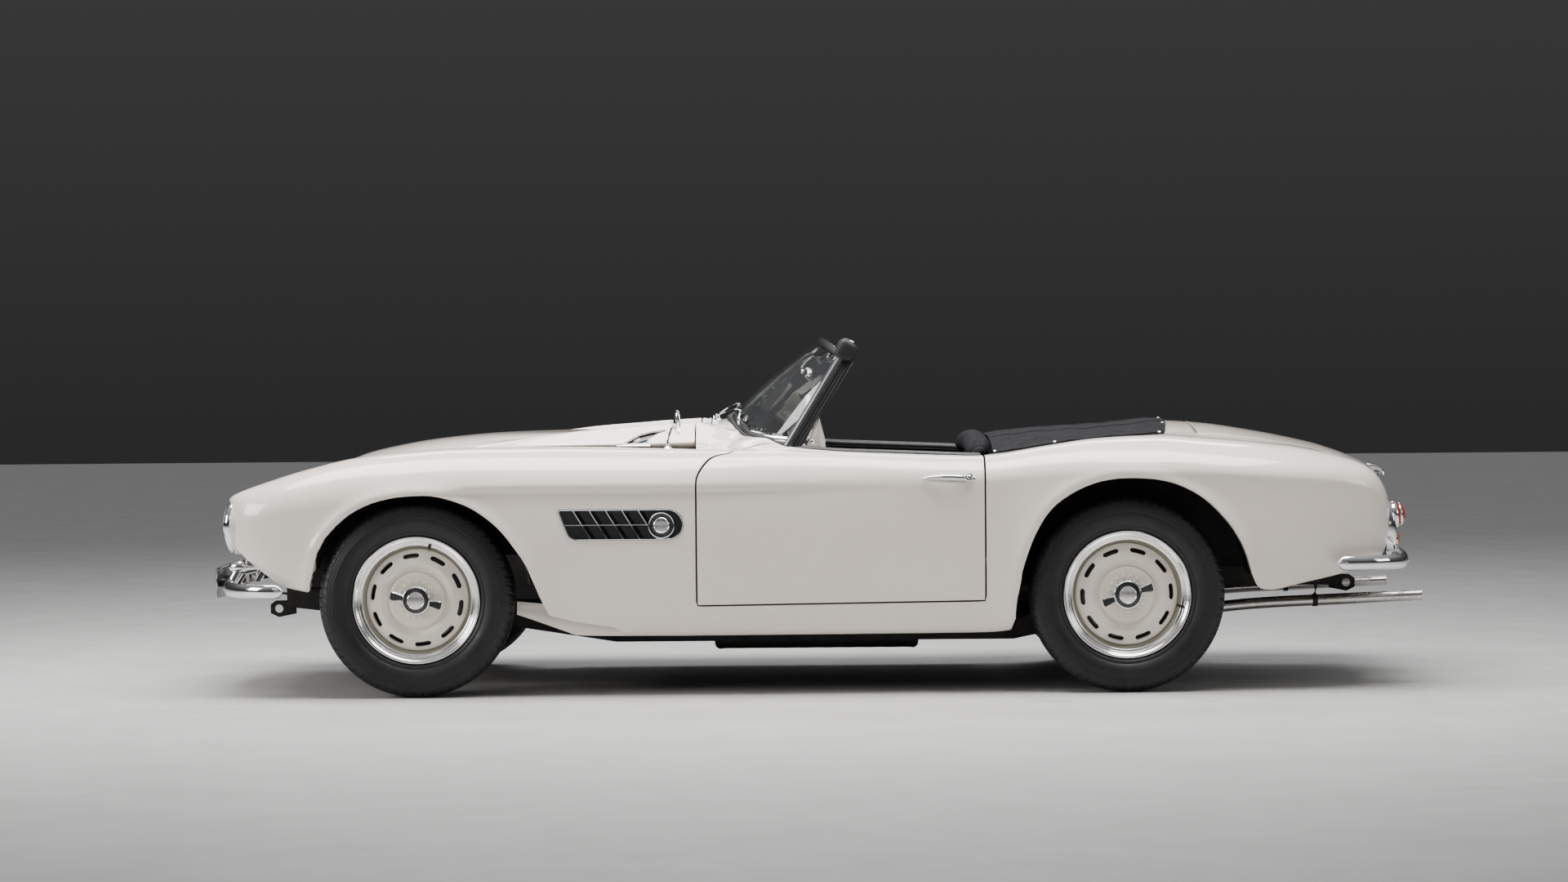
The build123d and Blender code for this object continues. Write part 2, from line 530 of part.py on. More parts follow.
# towing eyes under the frame's ends: x, z of the hole, x of the plate's root, z of its top
EYES = [(-1912, 292, -1850, 322), (1912, 356, 1850, 388)]
frame_rails = []
for s in (-1, 1):
    rail = slab_y(RAIL, s * 350, s * 410).solid()
    for xe, ze, xr, zt in EYES:
        sx = 1 if xe > 0 else -1
        plate = slab_y([(xr, ze - 18), (xe, ze - 30), (xe + sx * 30, ze - 16), (xe + sx * 30, ze + 16), (xe + sx * 12, ze + 29), (xr + sx * 30, zt), (xr, zt)], s * 374, s * 386)
        rail = Solid.fuse(*solids_of(rail), *solids_of(plate))
        rail = rail - cyl_y(xe, ze, EYE_R, s * 360, s * 400)
    frame_rails.append(rail)
# each rail is welded up from three lengths: the upswept front, the straight middle and the kick-up over the axle
for part, x0, x1 in (("front", -3000, -700), ("middle", -700, 720), ("rear", 720, 3000)):
    save(f"frame_rails_{part}", *[r & block(x0, x1, -900, 900, 0, 900) for r in frame_rails])
CROSS = [(-1840, 305, 360), (-1360, 268, 318), (-560, 168, 225), (770, 195, 228), (1250, 392, 440), (1840, 356, 412)]   # x, bottom z, top z
cross = [block(x - 32, x + 32, -349.5, 349.5, z0, z1) for x, z0, z1 in CROSS]
cross[3] = block(738, 802, -349.5, 349.5, 196, 226)
save("frame_crossmembers", *cross)
chassis = Compound(children=[q for r in frame_rails for q in solids_of(r)] + [q for c in cross for q in c.solids()])
engine = block(-1210, -640, -250, 250, 305, 800)
engine = engine & slab_x([(-120, 305), (120, 305), (250, 520), (250, 740), (160, 800), (-160, 800), (-250, 740), (-250, 520)], -1300, -600)
save("engine_block", engine)
gearbox = Solid.fuse(rod((-640, 0, 318), (-560, 0, 318), 83), rod((-560, 0, 318), (-250, 0, 312), 68), rod((-250, 0, 312), (970, 0, 330), 32))
save("gearbox_and_propshaft", gearbox)
axle = Solid.fuse(rod((AXLE_R, -610, HUB_Z), (AXLE_R, 610, HUB_Z), 34), cyl_y(AXLE_R, HUB_Z, 118, -80, 80), rod((972, 0, 330), (AXLE_R, 0, 336), 52))
axle = Solid.fuse(axle.solid(), *[cyl_y(AXLE_R, HUB_Z, 140, s * 606, s * 655) for s in (-1, 1)], *[cyl_y(AXLE_R, HUB_Z, 30, s * 650, s * 668) for s in (-1, 1)])
save("rear_axle", axle)
arms = []
for s in (-1, 1):
    low = slab_z([(AXLE_F - 130, s * 411), (AXLE_F - 95, s * 411), (AXLE_F, s * 545), (AXLE_F + 95, s * 411), (AXLE_F + 130, s * 411), (AXLE_F + 26, s * 606), (AXLE_F - 26, s * 606)], 226, 250)
    up = slab_z([(AXLE_F - 100, s * 411), (AXLE_F - 70, s * 411), (AXLE_F, s * 540), (AXLE_F + 70, s * 411), (AXLE_F + 100, s * 411), (AXLE_F + 22, s * 600), (AXLE_F - 22, s * 600)], 446, 466)
    tower = block(AXLE_F - 90, AXLE_F + 90, s * 372, s * 410.5, 331, 480)
    arms += [Solid.fuse(low.solid(), up.solid(), tower.solid(), block(AXLE_F - 130, AXLE_F + 130, s * 410.5, s * 424, 226, 470).solid())]
arms = [a - chassis for a in arms]
save("front_suspension_arms", *arms)

# ---------------------------------------------------------------- exhaust
def pipe(points, r, bend):
    path = FilletPolyline(*points, radius=bend)
    start = Plane(origin=path @ 0, z_dir=path % 0)
    return sweep(start * Circle(r), path=path)


ex = []
for s in (-1, 1):
    p = pipe([(-500, s * 300, 200), (300, s * 300, 200), (380, s * 300, 200), (760, s * 300, 200), (960, s * 440, 232), (1250, s * 452, 252), (1560, s * 455, 288), (2178, s * 455, 312)][2:], 20, 60)
    muff = rod((-380, s * 250, 168), (378, s * 300, 196), 48)
    muff = block(-360, 388, s * 215, s * 345, 120, 166 + 62)
    muff = muff & slab_x([(s * 225, 150), (s * 240, 135), (s * 330, 135), (s * 343, 150), (s * 343, 214), (s * 330, 228), (s * 240, 228), (s * 217, 214)], -360, 388)
    ex.append(Solid.fuse(*solids_of(p), *solids_of(muff)))
ex = [e - chassis - axle for e in ex]
save("exhaust_pipes", *ex)

# ---------------------------------------------------------------- bumpers and plates
def blade(points, height, thick):
    """A bumper blade: a lens-shaped bar along plan points (x, y), mirrored outline given in full."""
    rows = []
    n = len(points)
    for i, (x, y, z) in enumerate(points):
        a, b = points[max(i - 1, 0)], points[min(i + 1, n - 1)]
        dx, dy = b[0] - a[0], b[1] - a[1]
        d = math.hypot(dx, dy)
        nx, ny = dy / d, -dx / d          # outwards
        taper = 0.45 if i in (0, n - 1) else 1.0
        h = height * taper / 2
        rows.append([Vector(x + nx * thick * 0.5 * u, y + ny * thick * 0.5 * u, z + h * v) for u, v in
                     ((-1, -0.7), (0.3, -1), (1, -0.45), (1.15, 0), (1, 0.45), (0.3, 1), (-1, 0.7))])
    return ruled([Wire.make_polygon(r, close=True) for r in rows])


fb_half = [(-1852, 788), (-1930, 770), (-2010, 722), (-2078, 630), (-2120, 480), (-2142, 300), (-2150, 0)]
fb = [(x, -y, 378) for x, y in fb_half] + [(x, y, 378) for x, y in fb_half[-2::-1]]
front_blade = blade([(x, -y, z) for x, y, z in fb], 52, 26)
horns = [ruled([Wire.make_polygon([Vector(x, s * y, z) for x, y in plan], close=True) for z, plan in (
    (345, [(-2150, 312), (-2166, 330), (-2150, 348), (-2100, 348), (-2100, 312)]),
    (400, [(-2150, 305), (-2180, 330), (-2150, 355), (-2100, 350), (-2100, 310)]),
    (462, [(-2120, 318), (-2130, 330), (-2120, 342), (-2100, 340), (-2100, 320)]))]) for s in (-1, 1)]
fb_stays = [rod((-2146, s * 330, 378), (-1876, s * 382, 345), 12) for s in (-1, 1)]
front_bumper = Solid.fuse(front_blade, *horns, *fb_stays)
front_bumper = front_bumper - chassis - nose - WINGS["left"] - WINGS["right"]
save("front_bumper", front_bumper)
rb_half = [(1856, 802), (1930, 790), (2020, 752), (2092, 680), (2140, 560), (2164, 380), (2174, 0)]
rb = [(x, -y, 446) for x, y in rb_half] + [(x, y, 446) for x, y in rb_half[-2::-1]]
rear_blade = blade(rb, 50, 26)
rb_stays = [rod((2158, s * 400, 444), (1876, s * 385, 405), 12) for s in (-1, 1)]
rear_bumper = Solid.fuse(rear_blade, *rb_stays) - chassis - tail - RWINGS["left"] - RWINGS["right"]
save("rear_bumper", rear_bumper)
plate_f = block(-2190, -2183, -230, 230, 316, 428)
plate_fs = [block(-2183.5, -2162, s * 150 - 8, s * 150 + 8, 360, 392) for s in (-1, 1)]
plate_r = block(2114, 2120, -170, 170, 470, 585)
plate_rs = [block(2098, 2114.5, s * 120 - 8, s * 120 + 8, 515, 540) for s in (-1, 1)]
plates = [Solid.fuse(plate_f.solid(), *[p.solid() for p in plate_fs]) - front_bumper, Solid.fuse(plate_r.solid(), *[p.solid() for p in plate_rs]) - tail]
save("number_plates", *plates)

# ---------------------------------------------------------------- lamps
heads = []
for s in (-1, 1):
    body = Solid.revolve(Face(Wire.make_polygon([Vector(-2041, 0, 0), Vector(-2041, 98, 0), Vector(-2062, 98, 0), Vector(-2072, 88, 0), Vector(-2080, 60, 0), Vector(-2085, 0, 0)], close=True)), 360, Axis((0, 0, 0), (1, 0, 0)))
    heads.append(Pos(0, s * 600, 604) * body)
save("headlamps", *heads)
tails = []
for s in (-1, 1):
    house = slab_x([(s * (540 + 52 * math.cos(math.radians(a))), (600 if a <= 180 else 520) + 52 * math.sin(math.radians(a))) for a in range(0, 360, 20)], 2031, 2056)
    lens = [Solid.make_cylinder(44, 34, Plane(origin=(2055, s * 540, z), z_dir=(1, 0, 0))) for z in (604, 520)]
    tails.append(Solid.fuse(house.solid(), *lens))
tails = [t - tail - RWINGS[n] for t, n in zip(tails, ("left", "right"))]
save("tail_lamps", *tails)

# ---------------------------------------------------------------- side vents, wipers, mirror
vents = []
for s in (-1, 1):
    outline = [(-900, 655), (-812, 540), (-495, 540), (-462, 553), (-446, 575), (-443, 597), (-446, 620), (-462, 642), (-495, 655)]
    vents.append(slab_y(outline, s * 818, s * 828))
vents = [v - WINGS[n] for v, n in zip(vents, ("left", "right"))]
save("side_vents", *vents)
wip = []
for s in (-1, 1):
    base = rod((-345, s * 200, 930), (-345, s * 200, 982), 11)
    arm = rod((-345, s * 200, 976), (-262, s * 60, 1010), 5)
    blade_ = rod((-262, s * 60 + 90, 1004), (-262, s * 60 - 30, 1012), 4)
    wip.append(Solid.fuse(base, arm) - cowl)
save("wipers", *wip)
foot = rod((-505, -560, 850), (-505, -560, 893), 12)
stem = rod((-505, -560, 888), (-480, -560, 918), 6)
glass_m = Solid.make_cylinder(40, 10, Plane(origin=(-482, -560, 928), z_dir=(1, 0, 0.1)))
mirror = Solid.fuse(foot, stem, glass_m) - WINGS["left"]
mirror = max(mirror.solids(), key=lambda q: q.volume)
save("wing_mirror", mirror)

# ---------------------------------------------------------------- seats
seats = []
for s in (-1, 1):
    c = s * 355
    cushion = slab_y([(120, 262), (600, 262), (600, 400), (560, 430), (150, 445), (112, 420)], c - 225, c + 225)
    back = slab_y([(525, 425), (600, 405), (672, 760), (664, 815), (620, 822), (598, 790)], c - 225, c + 225)
    seats.append(Solid.fuse(cushion.solid(), back.solid()))
seats = [q - tonneau - bulk for q in seats]
save("seats", *seats)

# ---------------------------------------------------------------- steering column and wheel
col = rod(tuple(SW - ax * 38), tuple(SW - ax * 462), 22)
save("steering_column", col)
plane = Plane(origin=SW, x_dir=(0, 1, 0), z_dir=ax)
rim = plane * Torus(195, 11)
hub = plane * Pos(0, 0, -8) * Cylinder(32, 44)
spokes = [plane * Rot(0, 0, a) * Pos(100, 0, -4) * Box(186, 20, 8) for a in (180, 60, -60, 0)][:1] 
spokes = [plane * Rot(0, 0, a) * Pos(108, 0, -4) * Box(176, 18, 8) for a in (0, 180, 270)]
wheel = Solid.fuse(rim.solid(), hub.solid(), *[q.solid() for q in spokes])
save("steering_wheel", wheel)


# ---------------------------------------------------------------- wheels, tyres and knuckles
def tyre(x, y):
    h = TYRE_W / 2
    prof = [(RIM_R - 8, -RIM_W / 2 + 8), (RIM_R + 6, -RIM_W / 2 + 8), (RIM_R + 30, -h * 0.93), (270, -h), (300, -h * 0.97), (322, -h * 0.86), (335, -h * 0.70), (TYRE_R, -h * 0.45),
            (TYRE_R, h * 0.45), (335, h * 0.70), (322, h * 0.86), (300, h * 0.97), (270, h), (RIM_R + 30, h * 0.93), (RIM_R + 6, RIM_W / 2 - 8), (RIM_R - 8, RIM_W / 2 - 8)]
    return turned(prof, y, x, HUB_Z)


def road_wheel(x, y, s):
    """Steel disc wheel: s is +1 or -1, the outer side along Y."""
    h = RIM_W / 2
    rim = [(RIM_R - 9, -h + 8), (RIM_R + 5, -h + 8), (RIM_R + 5, -h), (RIM_R - 13, -h), (RIM_R - 40, -h * 0.5), (RIM_R - 40, h * 0.5), (RIM_R - 13, h), (RIM_R + 5, h), (RIM_R + 5, h - 8), (RIM_R - 9, h - 8),
           (RIM_R - 34, h * 0.5 - 4), (RIM_R - 34, -h * 0.5 + 4)]
    rim = turned([(r, s * v) for r, v in rim], y, x, HUB_Z)
    disc = [(26, 36), (88, 37), (97, 32), (103, 27), (121, 44), (131, 44), (148, 34), (166, 20), (RIM_R - 39, 10), (RIM_R - 39, 3), (163, 13), (146, 27), (130, 37), (123, 37), (105, 19), (96, 24), (86, 30), (26, 29)]
    disc = turned([(r, s * v) for r, v in disc], y, x, HUB_Z)
    nut = turned([(0, s * -2), (50, s * -2), (50, s * 76), (44, s * 84), (28, s * 90), (0, s * 90)], y, x, HUB_Z)
    ears = Pos(x, y + s * 76, HUB_Z) * Rot(0, -18 if x > 0 else 10, 0) * Box(182, 22, 28)
    wheel = Solid.fuse(rim, disc, nut, ears.solid())
    for i in range(10):
        a = 36 * i + 8
        slot = Pos(x, y, HUB_Z) * Rot(0, a, 0) * Pos(156, 0, 0) * Box(18, 120, 56)
        wheel = wheel - slot
    return wheel


for end, x, track in (("front", AXLE_F, TRACK_F), ("rear", AXLE_R, TRACK_R)):
    for name, s in (("left", -1), ("right", 1)):
        y = s * track / 2
        w = road_wheel(x, y, s)
        save(f"wheel_{end}_{name}", w)
        save(f"tyre_{end}_{name}", tyre(x, y) - w)

for name, s in (("left", -1), ("right", 1)):
    drum = cyl_y(AXLE_F, HUB_Z, 140, s * 628, s * 680)
    stub = cyl_y(AXLE_F, HUB_Z, 24, s * 680, s * 714)
    post = rod((AXLE_F, s * 640, 268), (AXLE_F, s * 640, 430), 16)
    arm = block(AXLE_F + 20, AXLE_F + 150, s * 600, s * 616, 262, 278)
    carrier = block(AXLE_F - 22, AXLE_F + 30, s * 600, s * 632, 258, 438)
    k = Solid.fuse(drum, stub, carrier.solid(), arm.solid())
    save(f"knuckle_{name}", k)
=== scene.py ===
import math
import json
import bpy
import bmesh
import numpy as np
from mathutils import Vector, Matrix, geometry

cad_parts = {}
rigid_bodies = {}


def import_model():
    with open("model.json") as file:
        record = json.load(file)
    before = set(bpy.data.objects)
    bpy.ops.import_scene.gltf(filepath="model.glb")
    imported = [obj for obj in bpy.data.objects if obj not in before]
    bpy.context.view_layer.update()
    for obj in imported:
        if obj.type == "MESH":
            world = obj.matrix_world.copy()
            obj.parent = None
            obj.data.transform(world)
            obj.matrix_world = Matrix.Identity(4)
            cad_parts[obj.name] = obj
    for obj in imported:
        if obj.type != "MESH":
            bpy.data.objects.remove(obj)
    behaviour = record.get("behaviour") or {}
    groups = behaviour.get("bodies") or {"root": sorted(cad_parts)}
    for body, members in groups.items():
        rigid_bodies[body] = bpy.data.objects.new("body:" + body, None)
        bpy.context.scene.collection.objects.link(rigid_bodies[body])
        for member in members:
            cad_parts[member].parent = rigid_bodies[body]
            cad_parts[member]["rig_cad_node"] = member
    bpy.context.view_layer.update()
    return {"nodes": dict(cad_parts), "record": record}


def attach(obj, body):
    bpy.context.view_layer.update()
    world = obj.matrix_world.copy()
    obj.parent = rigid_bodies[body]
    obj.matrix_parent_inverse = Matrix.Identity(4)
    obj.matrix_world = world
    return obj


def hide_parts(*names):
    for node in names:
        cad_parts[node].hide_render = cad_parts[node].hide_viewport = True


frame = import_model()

PI = math.pi
rng = np.random.default_rng(7)


# =============================================================== small maths
def pchip(xs, ys, xq):
    """Shape-keeping cubic through (xs, ys); straight beyond the ends."""
    xs, ys, xq = np.asarray(xs, float), np.asarray(ys, float), np.asarray(xq, float)
    h = np.diff(xs)
    d = np.diff(ys) / h
    m = np.zeros_like(xs)
    if len(xs) > 2:
        w1, w2 = 2 * h[1:] + h[:-1], h[1:] + 2 * h[:-1]
        same = d[:-1] * d[1:] > 0
        with np.errstate(divide="ignore", invalid="ignore"):
            hm = (w1 + w2) / (w1 / d[:-1] + w2 / d[1:])
        m[1:-1] = np.where(same, hm, 0.0)
        m[0] = d[0] + (d[0] - m[1]) * 0.5 if d[0] * d[1] > 0 else d[0]
        m[-1] = d[-1] + (d[-1] - m[-2]) * 0.5 if d[-1] * d[-2] > 0 else d[-1]
    else:
        m[:] = d[0]
    i = np.clip(np.searchsorted(xs, xq) - 1, 0, len(xs) - 2)
    t = (xq - xs[i]) / h[i]
    tc = np.clip(t, 0, 1)
    y = (ys[i] * (2 * tc ** 3 - 3 * tc ** 2 + 1) + ys[i + 1] * (3 * tc ** 2 - 2 * tc ** 3)
         + h[i] * (m[i] * (tc ** 3 - 2 * tc ** 2 + tc) + m[i + 1] * (tc ** 3 - tc ** 2)))
    y = np.where(xq < xs[0], ys[0] + m[0] * (xq - xs[0]), y)
    return np.where(xq > xs[-1], ys[-1] + m[-1] * (xq - xs[-1]), y)


class Tab:
    """A smooth curve through a few points: shape-keeping cubic, then a small blur."""
    def __init__(self, xs, ys, sig=0.02, step=0.001):
        pad = 4 * sig + 0.05
        self.x = np.arange(xs[0] - pad, xs[-1] + pad + step, step)
        y = pchip(xs, ys, self.x)
        if sig > 0:
            n = int(math.ceil(3.5 * sig / step))
            k = np.exp(-0.5 * (np.arange(-n, n + 1) * step / sig) ** 2)
            y = np.convolve(np.pad(y, n, mode="reflect", reflect_type="odd"), k / k.sum(), mode="valid")
        self.y = y

    def __call__(self, x):
        return np.interp(x, self.x, self.y)


def tab(pairs, sig=0.02, step=0.001):
    return Tab([p[0] for p in pairs], [p[1] for p in pairs], sig, step)


def sstep(a, b, x):
    t = np.clip((np.asarray(x, float) - a) / (b - a), 0, 1)
    return t * t * (3 - 2 * t)


def poly_dist(px, pz, poly):
    """Distance of many points to an open polyline."""
    best = np.full(np.shape(px), 1e9)
    for (ax, az), (bx, bz) in zip(poly[:-1], poly[1:]):
        dx, dz = bx - ax, bz - az
        t = np.clip(((px - ax) * dx + (pz - az) * dz) / (dx * dx + dz * dz), 0, 1)
        best = np.minimum(best, np.hypot(px - ax - t * dx, pz - az - t * dz))
    return best


def smooth_line(pts, step=0.008):
    """Catmull-Rom through the points, resampled at an even step."""
    p = np.asarray(pts, float)
    q = np.vstack([2 * p[0] - p[1], p, 2 * p[-1] - p[-2]])
    out = []
    for i in range(1, len(q) - 2):
        p0, p1, p2, p3 = q[i - 1], q[i], q[i + 1], q[i + 2]
        n = 12
        for k in range(n):
            t = k / n
            out.append(0.5 * ((2 * p1) + (-p0 + p2) * t + (2 * p0 - 5 * p1 + 4 * p2 - p3) * t * t + (-p0 + 3 * p1 - 3 * p2 + p3) * t ** 3))
    out.append(p[-1])
    return resample(np.array(out), step)


def resample(p, step, closed=False):
    p = np.asarray(p, float)
    if closed:
        p = np.vstack([p, p[:1]])
    d = np.concatenate([[0], np.cumsum(np.linalg.norm(np.diff(p, axis=0), axis=1))])
    n = max(2, int(math.ceil(d[-1] / step)) + 1)
    s = np.linspace(0, d[-1], n)
    out = np.stack([np.interp(s, d, p[:, k]) for k in range(p.shape[1])], 1)
    return out[:-1] if closed else out


# =============================================================== the body's shape
# Measured profiles, in metres: x against half-width or height.
CROWN_Z = tab([(-2.045, .700), (-1.989, .7305), (-1.932, .750), (-1.874, .770), (-1.817, .787), (-1.759, .804), (-1.701, .817), (-1.644, .831),
               (-1.55, .845), (-1.434, .856), (-1.296, .867), (-1.167, .871), (-.974, .871), (-.68, .867), (-.423, .859), (-.06, .852), (.226, .8405),
               (.416, .832), (.567, .8295), (.604, .829), (.68, .8375), (.791, .857), (.891, .872), (.984, .885), (1.084, .891), (1.23, .895),
               (1.365, .885), (1.553, .868), (1.677, .852), (1.802, .831)], .028)
WIDE = tab([(-1.75, .803), (-1.65, .811), (-1.52, .8185), (-1.38, .8205), (-1.10, .8205), (-.70, .820), (-.395, .818), (0, .8135), (.3, .811), (.6, .8145), (.85, .820),
            (1.1, .823), (1.4, .819), (1.6, .805), (1.8, .770)], .04)
CROWN_W = tab([(-1.52, .640), (-1.167, .632), (-.70, .640), (-.395, .668), (-.2, .694), (0, .703), (.3, .705), (.6, .703), (.8, .688), (1.1, .645), (1.4, .612), (1.6, .612)], .05)
BELT_Z = tab([(-1.75, .652), (-1.65, .676), (-1.52, .697), (-1.42, .705), (-1.34, .7085), (-1.28, .7125), (-1.2, .7185), (-1.1, .7212), (-.7, .7208), (-.4, .7208), (0, .7235), (.3, .727),
              (.6, .735), (.8, .750), (.95, .762), (1.1, .768), (1.25, .764), (1.45, .753), (1.6, .742), (1.7, .734)], .02)
LOW_Z = tab([(-1.75, .367), (-1.65, .340), (-1.52, .320), (-1.3, .300), (-1.1, .285), (-.95, .255), (-.831, .222), (-.75, .210), (-.6, .207), (.4, .209), (.6, .211), (.68, .216), (.76, .240), (.9, .280),
             (1.1, .310), (1.3, .322), (1.5, .338), (1.6, .350), (1.7, .372)], .02)
TUCK = tab([(-1.75, .055), (-1.5, .056), (-1.2, .06), (-.9, .075), (-.7, .092), (.5, .092), (.7, .08), (.9, .066), (1.2, .058), (1.7, .056)], .04)
VALLEY_W = tab([(-1.52, .494), (-1.167, .4955), (-.9, .499), (-.68, .503), (-.48, .509), (-.409, .511), (-.33, .524), (-.25, .544), (-.20, .562), (-.165, .590), (-.115, .628),
                (-.072, .657), (-.03, .678), (.03, .692), (.15, .699), (.35, .700), (.52, .698), (.60, .690), (.69, .655), (.8, .622), (.95, .594), (1.1, .560), (1.2, .528), (1.3, .493),
                (1.4, .487), (1.6, .484)], .012)
SKIRT = {}

BON_Z0 = tab([(-2.0, .668), (-1.9, .722), (-1.8, .768), (-1.7, .808), (-1.636, .8370), (-1.517, .8655), (-1.399, .886), (-1.28, .8995), (-1.161, .9085), (-1.042, .9125), (-.923, .9145),
              (-.805, .9165), (-.6, .922), (-.409, .936)], .03)
BON_ZV = tab([(-2.0, .655), (-1.8, .736), (-1.644, .800), (-1.52, .826), (-1.4, .845), (-1.167, .862), (-.9, .865), (-.68, .862), (-.409, .857)], .03)
BON_N = tab([(-2.0, 2.3), (-1.6, 2.4), (-1.2, 3.2), (-.9, 5.5), (-.6, 8.0), (-.409, 9.0)], .04)
BON_M = tab([(-2.0, 1.0), (-1.2, 1.0), (-.8, 1.25), (-.409, 1.45)], .04)
RIDGE_A = tab([(-1.22, 0), (-1.12, .004), (-1.0, .012), (-.9, .019), (-.789, .026), (-.672, .028), (-.556, .030), (-.409, .026)], .025)
RIDGE_W = tab([(-1.25, .462), (-1.0, .449), (-.789, .438), (-.672, .433), (-.52, .430), (-.409, .430)], .03)


def bonnet_z(x, w):
    x, w = np.broadcast_arrays(np.asarray(x, float), np.asarray(w, float))
    w = np.abs(w)
    we = np.where(x < -1.52, .4925, VALLEY_W(x))
    z0, zv, n, m = BON_Z0(x), BON_ZV(x), BON_N(x), BON_M(x)
    q = np.clip(w / we, 0, 1.0)
    base = zv + (z0 - zv) * np.clip(1 - q ** n, 0, 1) ** (1 / m)
    A, wr = np.maximum(RIDGE_A(x), 0), RIDGE_W(x)
    d = w - wr
    bump = A * np.exp(-0.5 * (d / np.where(d < 0, .026, .021)) ** 2)
    fade = np.clip(A / .03, 0, 1)
    gut = -.008 * fade * np.exp(-0.5 * ((w - wr + .062) / .022) ** 2)
    edge = sstep(we, we - .035, w)
    return base + (bump + gut) * edge


# glass line at the foot of the windscreen, from the middle to the corner
BASE_PTS = [(-.300, 0, .958), (-.293, .200, .949), (-.270, .350, .921), (-.232, .500, .890), (-.165, .590, .8755), (-.072, .657, .864)]
SCUTTLE = tab([(0, 0.0), (.2, -.007), (.35, -.036), (.44, -.058), (.5, -.0695), (.56, -.079), (.6, -.084), (.66, -.0925), (.72, -.100)], .02)
SCUTTLE_Z0 = tab([(-.42, .9345), (-.36, .9455), (-.30, .957), (-.22, .972), (-.1, .985)], .015)


def cowl_z(x, w):
    """Height of the scuttle behind the bonnet; it runs out into the wings."""
    x, w = np.broadcast_arrays(np.asarray(x, float), np.asarray(w, float))
    w = np.abs(w)
    front = bonnet_z(np.full(x.shape, -.409), np.minimum(w, .511)) + (SCUTTLE_Z0(x) - SCUTTLE_Z0(-.409)) * np.clip(1 - (w / .5) ** 2, 0, 1)
    front = np.where(w > .511, .857 - (w - .511) * 0.0, front)
    back = SCUTTLE_Z0(x) + SCUTTLE(w)
    k = sstep(-.415, -.225, x)
    return front * (1 - k) + back * k


# front arch and rear arch openings in side view (x, z)
ARCH_F = smooth_line([(-1.7557, .3796), (-1.7535, .398), (-1.7485, .420), (-1.7405, .450), (-1.7279, .4999), (-1.7145, .5296), (-1.6955, .5621), (-1.6736, .5885), (-1.6466, .6155), (-1.6150, .6415), (-1.5784, .6640),
                      (-1.5378, .6825), (-1.4940, .6960), (-1.4426, .7060), (-1.3884, .7105), (-1.3380, .7105), (-1.2960, .7050), (-1.2637, .6975), (-1.2310, .6870), (-1.1983, .6740), (-1.1685, .6580), (-1.1412, .6393),
                      (-1.1142, .6187), (-1.0870, .5940), (-1.0597, .5630), (-1.0327, .5265), (-1.0054, .4880), (-.9864, .4540), (-.9747, .4250), (-.9605, .3919), (-.9441, .3512), (-.9279, .3155), (-.9142, .2884)], .010)
_ar = [(-377, 45), (-369, 90), (-352, 146), (-330, 203), (-301, 258), (-273, 297), (-240, 329), (-197, 358), (-149, 382), (-98, 399), (-47, 408), (4, 411), (54, 409.5), (106, 404), (156, 393), (207, 373), (257, 344), (300, 309),
       (339, 268), (366, 234), (389, 197), (407, 162), (420, 126), (431, 88), (441, 55), (453, 31), (471, 17.5), (493, 14.5)]
ARCH_R = smooth_line([(.706, .262), (.7075, .290), (.712, .330)] + [(1.1 + a / 1000, .342 + b / 1000) for a, b in _ar] + [(1.610, .3555), (1.640, .3600)], .010)

FL_F = tab([(0, -.5), (3, 1.6), (8, 4.0), (14, 5.8), (20, 6.4), (28, 5.8), (42, 3.8), (64, 1.6), (90, .4), (120, 0), (400, 0)], 2.0, .5)
FL_R = tab([(0, -.5), (5, 2.0), (12, 5.0), (20, 7.6), (29, 8.8), (42, 8.0), (66, 5.0), (100, 2.0), (140, .4), (180, 0), (400, 0)], 3.0, .5)
CR_F = tab([(-400, 0), (-230, 0), (-150, -1.6), (-80, -4.4), (-40, -7.2), (-20, -8.8), (-9, -9.4), (-5, -7.6), (0, -2.4), (4, 1.4), (8, 3.2), (14, 5.0), (20, 5.6), (28, 5.0), (42, 3.0), (65, 1.0), (95, 0), (400, 0)], 1.3, .5)
CR_R = tab([(-500, 0), (-280, 0), (-170, -2.2), (-95, -4.6), (-45, -4.8), (-20, -2.6), (-7, 1.0), (0, 2.8), (6, 3.8), (14, 3.8), (30, 2.6), (60, .9), (110, 0), (500, 0)], 3.0, .5)
T_F = tab([(-1.50, 0), (-1.36, 0), (-1.31, .3), (-1.24, .85), (-1.18, 1), (-.5, 1), (-.38, .92), (-.2, .7), (0, .42), (.15, .2), (.30, .04), (.42, 0), (2.2, 0)], .02)
T_R = tab([(-2.2, 0), (1.02, 0), (1.12, .35), (1.22, .9), (1.30, 1), (1.55, .9), (1.75, .6), (1.9, .3), (2.0, .05), (2.03, 0), (2.2, 0)], .02)
HUB_F, HUB_R = (-1.380, .342), (1.100, .342)


